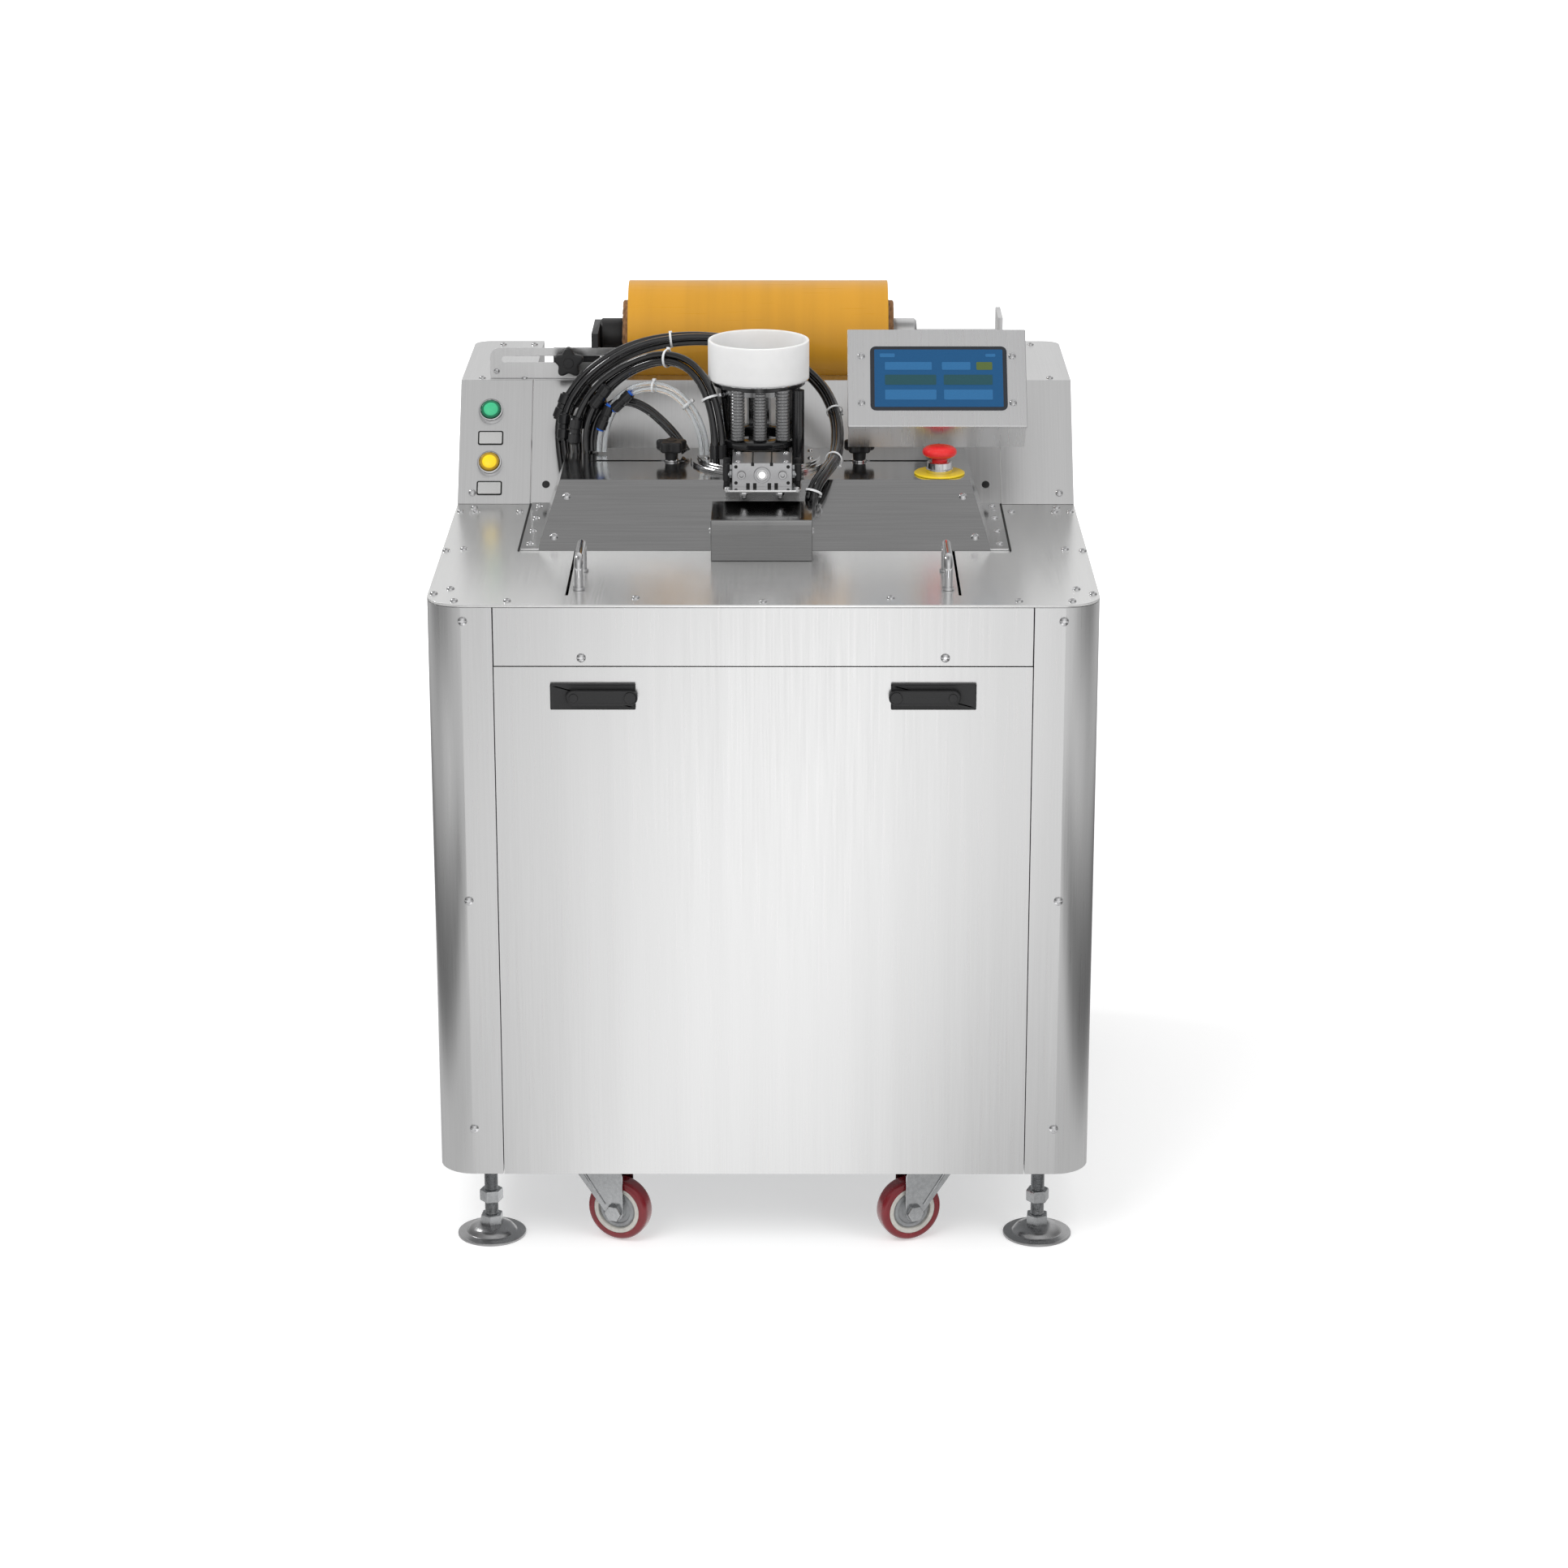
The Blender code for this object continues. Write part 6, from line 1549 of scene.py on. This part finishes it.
@dataclass
class Screen:
    """The control screen: its face plate and case, the window with plain bands, and its arm.

    A band is given by its finish and by its two corners from the window's middle.
    """

    tilt: float = 40.0
    depth: float = 0.360
    height: float = 0.120
    x: tuple[float, float] = (0.098, 0.311)
    length: float = 0.1306
    thickness: float = 0.055
    pivot_x: float = 0.205
    pivot_along: float = 0.0435
    pivot_behind: float = 0.018
    ear_faces: tuple[float, float] = (0.0153, 0.0203)
    pin_half: float = 0.0225
    bands: tuple[tuple[Finish, float, float, float, float], ...] = (
        (SCREEN_LIGHT, -0.0700, 0.0280, -0.0520, 0.0330),
        (SCREEN_LIGHT, 0.0560, 0.0285, 0.0680, 0.0325),
        (SCREEN_LIGHT, -0.0640, 0.0110, -0.0080, 0.0215),
        (SCREEN_LIGHT, 0.0040, 0.0110, 0.0380, 0.0215),
        (SCREEN_KEY, 0.0450, 0.0110, 0.0640, 0.0215),
        (SCREEN_DARK, -0.0640, -0.0090, -0.0030, 0.0045),
        (SCREEN_DARK, 0.0060, -0.0090, 0.0640, 0.0045),
        (SCREEN_LIGHT, -0.0640, -0.0290, -0.0030, -0.0155),
        (SCREEN_LIGHT, 0.0060, -0.0290, 0.0640, -0.0155),
    )
    place: Matrix = field(init=False)

    def __post_init__(self) -> None:
        """Works out the frame on the face: X across, Y up the face, Z out of it."""
        angle = math.radians(self.tilt)
        up = Vector((0, math.sin(angle), math.cos(angle)))
        out = Vector((0, -math.cos(angle), math.sin(angle)))
        self.place = framed(at(0, self.depth, self.height), up, out)

    def build(self) -> None:
        """Builds the screen."""
        self.case()
        self.window()
        refined("hmi_arm", ZINC, "zinc", 0.0005)

    def case(self) -> None:
        """The face plate, the case behind it with its ears, and the face screws."""
        x_low, x_high = self.x
        back = -self.thickness
        shape = Shape(CASE)
        shape.block((x_low, 0, -0.0040), (x_high, self.length, 0), 0.0013, 3, self.place)
        shape.block((x_low + 0.003, 0.003, back), (x_high - 0.003, self.length - 0.003, -0.0046), 0.0016, 2,
                    self.place)
        shape.block((x_low + 0.001, 0.0005, back + 0.0005), (x_high - 0.001, 0.0032, -0.0046), 0.0006, 2,
                    self.place)
        along = Matrix(((0, 0, 1, 0), (1, 0, 0, 0), (0, 1, 0, 0), (0, 0, 0, 1)))
        ear = [(self.pivot_along + 0.010, back + 0.002), (self.pivot_along - 0.010, back + 0.002)]
        ear += arc((self.pivot_along, back - self.pivot_behind), 0.009, 180, 360, 12)
        for sign in (-1, 1):
            inner, outer = (self.pivot_x + sign * reach for reach in self.ear_faces)
            shape.prism(ear, min(inner, outer), max(inner, outer), self.place @ along, 0.0006)
        shape.use(CHROME)
        pivot = Vector((self.pivot_x, self.pivot_along, back - self.pivot_behind))
        half = Vector((self.pin_half, 0, 0))
        shape.rod(self.place @ (pivot - half), self.place @ (pivot + half), 0.0035, 20, edge=0.0005)
        for x in (x_low + 0.0165, x_high - 0.0165):
            for y in (0.0315, self.length - 0.0365):
                shape.button_screw(self.place @ Matrix.Translation((x, y, 0)), Head.DECK)
        shape.piece("hmi_case_shell", "screen", "grey_case", ("hmi_case",))

    def window(self) -> None:
        """The dark rounded border, the blue field and plain bands without any lettering."""
        centre = ((self.x[0] + self.x[1]) / 2 + 0.0020, self.length / 2 - 0.001, 0)
        middle = self.place @ Matrix.Translation(centre)
        shape = Shape(GLASS)
        shape.prism(rounded(0.0815, 0.0430, 0.0070), -0.0004, 0.0006, middle, 0.0003, 2)
        shape.use(SCREEN_BLUE)
        shape.prism(rounded(0.0765, 0.0385, 0.0010, 2), 0.0004, 0.0008, middle)
        for finish, x_low, y_low, x_high, y_high in self.bands:
            shape.use(finish)
            foot = middle @ Matrix.Translation(((x_low + x_high) / 2, (y_low + y_high) / 2, 0))
            shape.prism(rounded((x_high - x_low) / 2, (y_high - y_low) / 2, 0.0012, 2), 0.0006, 0.0010, foot)
        shape.piece("hmi_window", "screen", "grey_case")


# ---- hoses --------------------------------------------------------------------------------------
Route = tuple[tuple[float, float, float], ...]

FRONT_HOSES: Route = (
    (-0.2200, 0.450, 0.0005), (-0.2200, 0.450, 0.010), (-0.2205, 0.464, 0.026), (-0.2215, 0.473, 0.044),
    (-0.2225, 0.478, 0.066), (-0.2220, 0.479, 0.088), (-0.2160, 0.477, 0.110), (-0.2050, 0.473, 0.131),
    (-0.1900, 0.468, 0.149), (-0.1720, 0.461, 0.164), (-0.1520, 0.452, 0.176), (-0.1310, 0.443, 0.184),
    (-0.1110, 0.433, 0.186), (-0.0925, 0.422, 0.181), (-0.0780, 0.411, 0.169), (-0.0675, 0.401, 0.152),
    (-0.0610, 0.393, 0.132), (-0.0575, 0.388, 0.112), (-0.0560, 0.384, 0.092), (-0.0560, 0.384, 0.0717),
)
REAR_HOSES: Route = (
    (-0.2390, 0.449, 0.0005), (-0.2390, 0.449, 0.009), (-0.2405, 0.464, 0.024), (-0.2435, 0.478, 0.043),
    (-0.2465, 0.490, 0.066), (-0.2470, 0.498, 0.088), (-0.2420, 0.503, 0.110), (-0.2310, 0.506, 0.130),
    (-0.2160, 0.507, 0.148), (-0.1960, 0.508, 0.164), (-0.1720, 0.509, 0.178), (-0.1450, 0.510, 0.188),
    (-0.1150, 0.510, 0.194), (-0.0830, 0.510, 0.196), (-0.0500, 0.509, 0.194), (-0.0190, 0.506, 0.189),
    (0.0100, 0.501, 0.181), (0.0350, 0.493, 0.170), (0.0550, 0.481, 0.157), (0.0710, 0.465, 0.142),
    (0.0810, 0.446, 0.126), (0.0860, 0.424, 0.111), (0.0868, 0.401, 0.098), (0.0855, 0.378, 0.088),
    (0.0815, 0.356, 0.081), (0.0760, 0.335, 0.078), (0.0690, 0.314, 0.0735), (0.0620, 0.2990, 0.0665),
    (0.0572, 0.2905, 0.0570), (0.0553, 0.2889, 0.0476), (0.0550, 0.2940, 0.0401),
)
CLEAR_TUBES: Route = (
    (-0.1985, 0.461, 0.0660), (-0.1975, 0.462, 0.0820), (-0.1930, 0.462, 0.1010), (-0.1855, 0.461, 0.1180),
    (-0.1750, 0.458, 0.1320), (-0.1610, 0.453, 0.1430), (-0.1450, 0.447, 0.1490), (-0.1280, 0.440, 0.1500),
    (-0.1120, 0.433, 0.1460), (-0.0975, 0.426, 0.1360), (-0.0860, 0.420, 0.1220), (-0.0780, 0.415, 0.1050),
    (-0.0740, 0.412, 0.0880), (-0.0730, 0.411, 0.0735),
)
BLACK_TUBES: Route = (
    (-0.2075, 0.4700, 0.0650), (-0.2075, 0.4720, 0.0820), (-0.2030, 0.4740, 0.1000), (-0.1930, 0.4750, 0.1150),
    (-0.1780, 0.4740, 0.1240), (-0.1610, 0.4720, 0.1240), (-0.1440, 0.4680, 0.1170), (-0.1290, 0.4630, 0.1060),
    (-0.1150, 0.4580, 0.0930), (-0.1040, 0.4540, 0.0800), (-0.0960, 0.4500, 0.0680),
)


@dataclass
class Bundle:
    """Hoses that run side by side along one route."""

    name: str
    route: Route
    offsets: tuple[tuple[float, float], ...]
    radius: float
    finish: Finish
    nodes: tuple[str, ...] = ()
    twist: float = 70.0
    fan: float = 0.0
    slot: str = "black_hose"
    line: list[Vector] = field(init=False)
    frames: list[Matrix] = field(init=False)

    def __post_init__(self) -> None:
        """Works out the frames along the route."""
        self.line = smooth_route([at(*point) for point in self.route], 3)
        self.frames = []
        side = Vector((0, 1, 0))
        last = len(self.line) - 1
        for i, point in enumerate(self.line):
            ahead = (self.line[min(i + 1, last)] - self.line[max(i - 1, 0)]).normalized()
            side = (side - ahead * side.dot(ahead)).normalized()
            turn = Matrix.Rotation(math.radians(self.twist * i / last), 4, "Z")
            across = ahead.cross(side)
            axes = Matrix((across, side, ahead)).transposed().to_4x4()
            self.frames.append(Matrix.Translation(point) @ axes @ turn)

    def path(self, index: int) -> list[Vector]:
        """The line of one hose, which spreads from the others between the bundle's ties.

        Args:
            index: which hose.

        Returns:
            The line's points.
        """
        x, y = self.offsets[index]
        last = len(self.frames) - 1
        made = []
        for i, place in enumerate(self.frames):
            wide = 1 + self.fan * math.sin(math.pi * min(1.0, 1.9 * i / last)) ** 2
            made.append(place @ Vector((x * wide, y * wide, 0)))
        return made

    def build(self) -> None:
        """Builds each hose as a curve."""
        for index in range(len(self.offsets)):
            points = self.path(index)
            curve = bpy.data.curves.new(f"{self.name}_{index + 1}", "CURVE")
            curve.dimensions = "3D"
            curve.bevel_depth = self.radius
            curve.bevel_resolution = 3
            curve.use_fill_caps = True
            spline = curve.splines.new("POLY")
            spline.points.add(len(points) - 1)
            for point, place in zip(spline.points, points):
                point.co = (*place, 1.0)
            spline.use_smooth = True
            curve.materials.append(self.finish.build())
            hose = bpy.data.objects.new(curve.name, curve)
            bpy.context.scene.collection.objects.link(hose)
            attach(hose, "cabinet")
            if self.nodes:
                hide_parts(*self.nodes)

    def along(self, index: int, share: float) -> Matrix:
        """The frame on one hose.

        Args:
            index: which hose.
            share: share of its points passed.

        Returns:
            The frame, Z along the hose.
        """
        points = self.path(index)
        i = min(len(points) - 2, max(1, round(share * (len(points) - 1))))
        return facing(points[i], points[i + 1] - points[i - 1])


@dataclass
class Hoses:
    """Every air hose with its unions, fittings and ties."""

    tube: float = 0.0040
    thin_tube: float = 0.0030
    spread: float = 0.0043
    union_half: float = 0.0150
    landings: tuple[tuple[float, float], ...] = (
        (-0.0605, 0.3805), (-0.0515, 0.3805), (-0.0605, 0.3885), (-0.0515, 0.3885),
    )

    def build(self) -> None:
        """Builds the bundles and what is on them."""
        s = self.spread
        front = Bundle("air_hose_front", FRONT_HOSES, ((s, s), (-s, s), (-s, -s), (s, -s)), self.tube, HOSE,
                       ("hose_bundle_front",), fan=0.7)
        rear = Bundle("air_hose_rear", REAR_HOSES, ((0.0046, 0), (-0.0023, 0.0040), (-0.0023, -0.0040)),
                      self.tube, HOSE, ("hose_bundle_rear",), twist=110.0, fan=0.6)
        clear = Bundle("clear_tube", CLEAR_TUBES, ((0.0034, 0), (-0.0034, 0)), self.thin_tube, CLEAR_TUBE,
                       twist=40.0)
        black = Bundle("black_tube", BLACK_TUBES, ((0.0034, 0), (-0.0017, 0.0030), (-0.0017, -0.0030)),
                       self.thin_tube, HOSE, twist=50.0)
        for bundle in (front, rear, clear, black):
            bundle.build()
        self.unions(front, rear, clear)
        self.ties(front, rear, clear)
        self.fittings()

    def union(self, shape: Shape, place: Matrix, radius: float, ring: Finish) -> None:
        """A straight push-in union round a hose.

        Args:
            shape: the piece it is added to.
            place: the frame at its middle, Z along the hose.
            radius: the hose's radius.
            ring: the finish of its release rings.
        """
        body = radius + 0.0038
        half = self.union_half
        shape.use(GLOSS_BLACK)
        shape.lathe([(radius, half), (body - 0.0008, half), (body, half - 0.0010), (body, 0.0035),
                     (body - 0.0010, 0.0025), (body - 0.0010, -0.0025), (body, -0.0035), (body, 0.0010 - half),
                     (body - 0.0008, -half), (radius, -half)], place, 20, closed=True)
        shape.use(ring)
        for sign in (-1, 1):
            shape.lathe([(radius, sign * (half + 0.0022)), (radius + 0.0016, sign * (half + 0.0022)),
                         (radius + 0.0018, sign * half), (radius, sign * half)], place, 20, closed=True)

    def unions(self, front: Bundle, rear: Bundle, clear: Bundle) -> None:
        """The unions, staggered along the bundles.

        Args:
            front: the front bundle.
            rear: the rear bundle.
            clear: the clear tubes.
        """
        shape = Shape(BLACK)
        for bundle, shares, ring in ((front, (0.30, 0.34, 0.38, 0.27), GLOSS_BLACK),
                                     (rear, (0.20, 0.235, 0.17), GLOSS_BLACK),
                                     (clear, (0.18, 0.30), BLUE)):
            for index, share in enumerate(shares):
                self.union(shape, bundle.along(index, share), bundle.radius, ring)
        shape.piece("hose_unions", "cabinet", "black_plastic")

    def ties(self, front: Bundle, rear: Bundle, clear: Bundle) -> None:
        """White cable ties round the bundles, each with its small lock.

        Args:
            front: the front bundle.
            rear: the rear bundle.
            clear: the clear tubes.
        """
        shape = Shape(TIE)
        for bundle, share, radius in ((front, 0.62, 0.0108), (front, 0.80, 0.0108), (rear, 0.40, 0.0098),
                                      (rear, 0.68, 0.0098), (rear, 0.80, 0.0098), (rear, 0.93, 0.0098),
                                      (clear, 0.50, 0.0074), (clear, 0.72, 0.0074)):
            i = round(share * (len(bundle.frames) - 1))
            place = bundle.frames[i]
            shape.lathe([(radius - 0.0005, 0.0013), (radius + 0.0004, 0.0013), (radius + 0.0004, -0.0013),
                         (radius - 0.0005, -0.0013)], place, 24, closed=True)
            shape.block((radius - 0.001, -0.0022, -0.0020), (radius + 0.0026, 0.0022, 0.0020), 0.0004, 1, place)
        shape.piece("hose_ties", "cabinet", "white_nylon")

    def fittings(self) -> None:
        """The push-in fittings where the hoses land on the hopper's flange."""
        shape = Shape(DARK_STEEL)
        for x, depth in self.landings:
            shape.hexagon_bolt(Matrix.Translation(at(x, depth, 0.0713)), 0.0086, 0.0050)
        shape.use(BLACK)
        for x, depth in self.landings:
            shape.rod(at(x, depth, 0.0760), at(x, depth, 0.0930), 0.0052, 20, edge=0.0008)
        shape.piece("flange_fittings", "cabinet", "chrome")


# ---- inside the cabinet -------------------------------------------------------------------------
@dataclass
class Drive:
    """The lift, the twisting rotor, its motor and belt, and the control gear's box."""

    belt_z: tuple[float, float] = (0.6935, 0.7085)
    belt_thickness: float = 0.0030
    pulleys: tuple[float, float] = (0.0752, 0.0252)

    def build(self) -> None:
        """Dresses the hidden drive and adds its belt."""
        for node, finish in (("lift_cylinder", ALUMINIUM), ("lift_plunger", NYLON), ("twist_motor", MOTOR),
                             ("motor_pulley", ZINC), ("electrical_box", CABINET_GREY),
                             ("twist_rotor", ALUMINIUM)):
            dress(node, finish)
        self.belt()

    def belt(self) -> None:
        """The belt round the rotor's pulley and the motor's."""
        rotor = Vector(joint_of("twist_spin")["pos_m"])
        motor = Vector(joint_of("motor_pulley_spin")["pos_m"])
        large, small = self.pulleys
        gap = (rotor - motor).xy.length
        lean = math.degrees(math.acos((large - small) / gap))
        runs = []
        for extra in (0.0, self.belt_thickness):
            outline = arc((rotor.x, rotor.y), large + extra, -180 + lean, 180 - lean, 48)
            outline += arc((motor.x, motor.y), small + extra, 180 - lean, 180 + lean, 20)
            runs.append(outline)
        part = bmesh.new()
        loops = []
        for outline in runs:
            verts = [part.verts.new((x, y, self.belt_z[0])) for x, y in outline]
            loops.append([part.edges.new(pair) for pair in zip(verts, verts[1:] + verts[:1])])
        bmesh.ops.bridge_loops(part, edges=loops[0] + loops[1])
        raised = bmesh.ops.extrude_face_region(part, geom=part.faces[:])["geom"]
        bmesh.ops.translate(part, vec=(0, 0, self.belt_z[1] - self.belt_z[0]),
                            verts=[g for g in raised if isinstance(g, bmesh.types.BMVert)])
        shape = Shape(BELT)
        shape.take(part)
        shape.piece("drive_belt", "cabinet", "black_plastic")


# ---- studio -------------------------------------------------------------------------------------
@dataclass
class Studio:
    """The camera, the lights, the floor and the pale surroundings."""

    lens: float = 90.817
    eye: Vector = field(default_factory=lambda: Vector((0.0299, -4.6105, 1.9412)))
    pitch: float = 16.606
    turn: float = 0.093
    shift: float = -0.06
    ambient: float = 0.62
    room_rise: Ramp = (
        (0.0, 0.84), (0.22, 0.72), (0.36, 0.74), (0.60, 0.80), (0.84, 0.68), (0.92, 0.58), (0.965, 0.32),
        (1.0, 0.225),
    )
    room_across: Ramp = ((0.0, 0.18), (0.22, 0.50), (0.44, 0.92), (0.62, 1.0), (0.80, 0.62), (1.0, 0.18))
    floor_half: float = 14.0
    floor_grey: tuple[float, float, float, float] = (0.80, 0.80, 0.80, 1.0)
    floor_across: tuple[float, float, float] = (1.0, 0.05, 0.0)
    floor_offset: float = 0.07
    floor_width: float = 2.5
    floor_bands: Ramp = (
        (0.0, 1.0), (0.052, 0.97), (0.120, 0.62), (0.172, 0.53), (0.240, 0.56), (0.320, 0.22), (0.400, 0.12),
        (0.560, 0.16), (1.0, 0.48),
    )
    mirror_strength: tuple[float, float] = (1.05, 1.65)
    mirror_depth: tuple[float, float] = (-0.6, -2.4)
    floor_reach: float = 10.0
    floor_rise: Ramp = ((0.1, 0.42), (0.35, 1.0))

    def build(self) -> None:
        """Sets up the studio."""
        bpy.context.scene.view_settings.view_transform = "Standard"
        self.camera()
        self.world()
        self.floor()
        self.light("key", (-1.6, -2.6, 3.2), (0.0, 0.0, 0.5), 2.2, 62.0)
        self.light("fill", (2.4, -2.0, 1.8), (0.0, 0.0, 0.5), 1.8, 22.0)
        self.light("glint", (-1.9, 0.9, 2.6), (0.0, 0.0, 0.9), 0.5, 10.0, True)
        self.light("top", (0.2, 0.2, 3.4), (0.0, 0.1, 0.8), 1.6, 12.0)

    def camera(self) -> None:
        """The camera at the operator's side."""
        data = bpy.data.cameras.new("camera")
        data.lens = self.lens
        data.sensor_width = 36.0
        data.shift_y = self.shift
        data.clip_end = 50.0
        obj = bpy.data.objects.new("camera", data)
        obj.location = self.eye
        obj.rotation_euler = (math.radians(90 - self.pitch), 0, math.radians(self.turn))
        bpy.context.scene.collection.objects.link(obj)
        bpy.context.scene.camera = obj

    def light(self, name: str, place: tuple[float, float, float], target: tuple[float, float, float],
              size: float, power: float, mirrored: bool = False) -> None:
        """A soft area light.

        Args:
            name: its name.
            place: where it hangs.
            target: the point it looks at.
            size: side of its square, in metres.
            power: in watts.
            mirrored: glossy surfaces mirror it.
        """
        data = bpy.data.lights.new(name, "AREA")
        data.shape = "SQUARE"
        data.size = size
        data.energy = power
        obj = bpy.data.objects.new(name, data)
        obj.visible_glossy = mirrored
        obj.location = place
        obj.rotation_euler = (Vector(target) - Vector(place)).to_track_quat("-Z", "Y").to_euler()
        bpy.context.scene.collection.objects.link(obj)

    def world(self) -> None:
        """White to the eye, a soft room in reflections, plain light on matt surfaces."""
        world = bpy.data.worlds.new("studio")
        bpy.context.scene.world = world
        world.use_nodes = True
        world.node_tree.nodes.clear()
        graph = Graph(world.node_tree)
        make = graph.tree.nodes.new
        direct, glossy = graph.seen()
        parts = graph.parts(make("ShaderNodeTexCoord").outputs["Generated"])
        rise = graph.ramp(parts["Z"], greys(self.room_rise))
        across = graph.ramp(graph.calculate("MULTIPLY_ADD", parts["X"], 0.5, 0.5), greys(self.room_across))
        plain, mirror, white = (make("ShaderNodeBackground") for _ in range(3))
        plain.inputs["Strength"].default_value = self.ambient
        for node in (plain, white):
            node.inputs["Color"].default_value = (1.0, 1.0, 1.0, 1.0)
        graph.link(graph.multiply(rise, across), mirror.inputs["Color"])
        unseen = graph.choose(glossy, plain.outputs[0], mirror.outputs[0])
        graph.link(graph.choose(direct, unseen, white.outputs[0]),
                   make("ShaderNodeOutputWorld").inputs["Surface"])

    def floor(self) -> None:
        """The pale floor, which keeps the machine's shadow."""
        part = bmesh.new()
        bmesh.ops.create_grid(part, x_segments=1, y_segments=1, size=self.floor_half)
        mesh = bpy.data.meshes.new("floor")
        part.to_mesh(mesh)
        part.free()
        obj = bpy.data.objects.new("floor", mesh)
        bpy.context.scene.collection.objects.link(obj)
        mesh.materials.append(self.floor_look())
        obj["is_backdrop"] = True

    def floor_look(self) -> bpy.types.Material:
        """The floor's material: white further off, and brighter in the middle where it is mirrored."""
        nodes = Nodes("pale_floor")
        nodes.shader.inputs["Base Color"].default_value = self.floor_grey
        nodes.set(Roughness=0.9, Specular_IOR_Level=0.0)
        direct, glossy = nodes.seen()
        middle = nodes.calculate("ADD", nodes.measure("DOT_PRODUCT", nodes.place, self.floor_across),
                                 self.floor_offset)
        side = nodes.calculate("DIVIDE", nodes.calculate("ABSOLUTE", middle), self.floor_width)
        mirror = nodes.tree.nodes.new("ShaderNodeEmission")
        nodes.link(nodes.ramp(side, greys(self.floor_bands)), mirror.inputs["Color"])
        nodes.link(nodes.spread(nodes.parts(nodes.place)["Y"], *self.mirror_strength, *self.mirror_depth),
                   mirror.inputs["Strength"])
        away = nodes.calculate("DIVIDE", nodes.measure("LENGTH", nodes.place), self.floor_reach)
        white = nodes.tree.nodes.new("ShaderNodeEmission")
        nodes.link(nodes.ramp(away, greys(self.floor_rise)), white.inputs["Color"])
        added = nodes.tree.nodes.new("ShaderNodeAddShader")
        nodes.link(nodes.shader.outputs[0], added.inputs[0])
        nodes.link(white.outputs[0], added.inputs[1])
        unseen = nodes.choose(glossy, nodes.shader.outputs[0], mirror.outputs[0])
        nodes.link(nodes.choose(direct, unseen, added.outputs[0]),
                   nodes.tree.nodes["Material Output"].inputs["Surface"])
        return nodes.material


def main() -> None:
    """Builds the studio and every sub-assembly in order."""
    logging.basicConfig(level=logging.INFO, format="%(message)s")
    Studio().build()
    for part in (Hoses(), Cabinet(), Latches(), LevellingFeet(), Casters(), Hood(), FeedHead(), GuideCylinder(),
                 Console(), FilmBay(), Screen(), Drive()):
        part.build()
        LOG.info("%s built", type(part).__name__)
    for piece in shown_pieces():
        LOG.info("piece %s", piece.name)


if __name__ == "__main__":
    main()
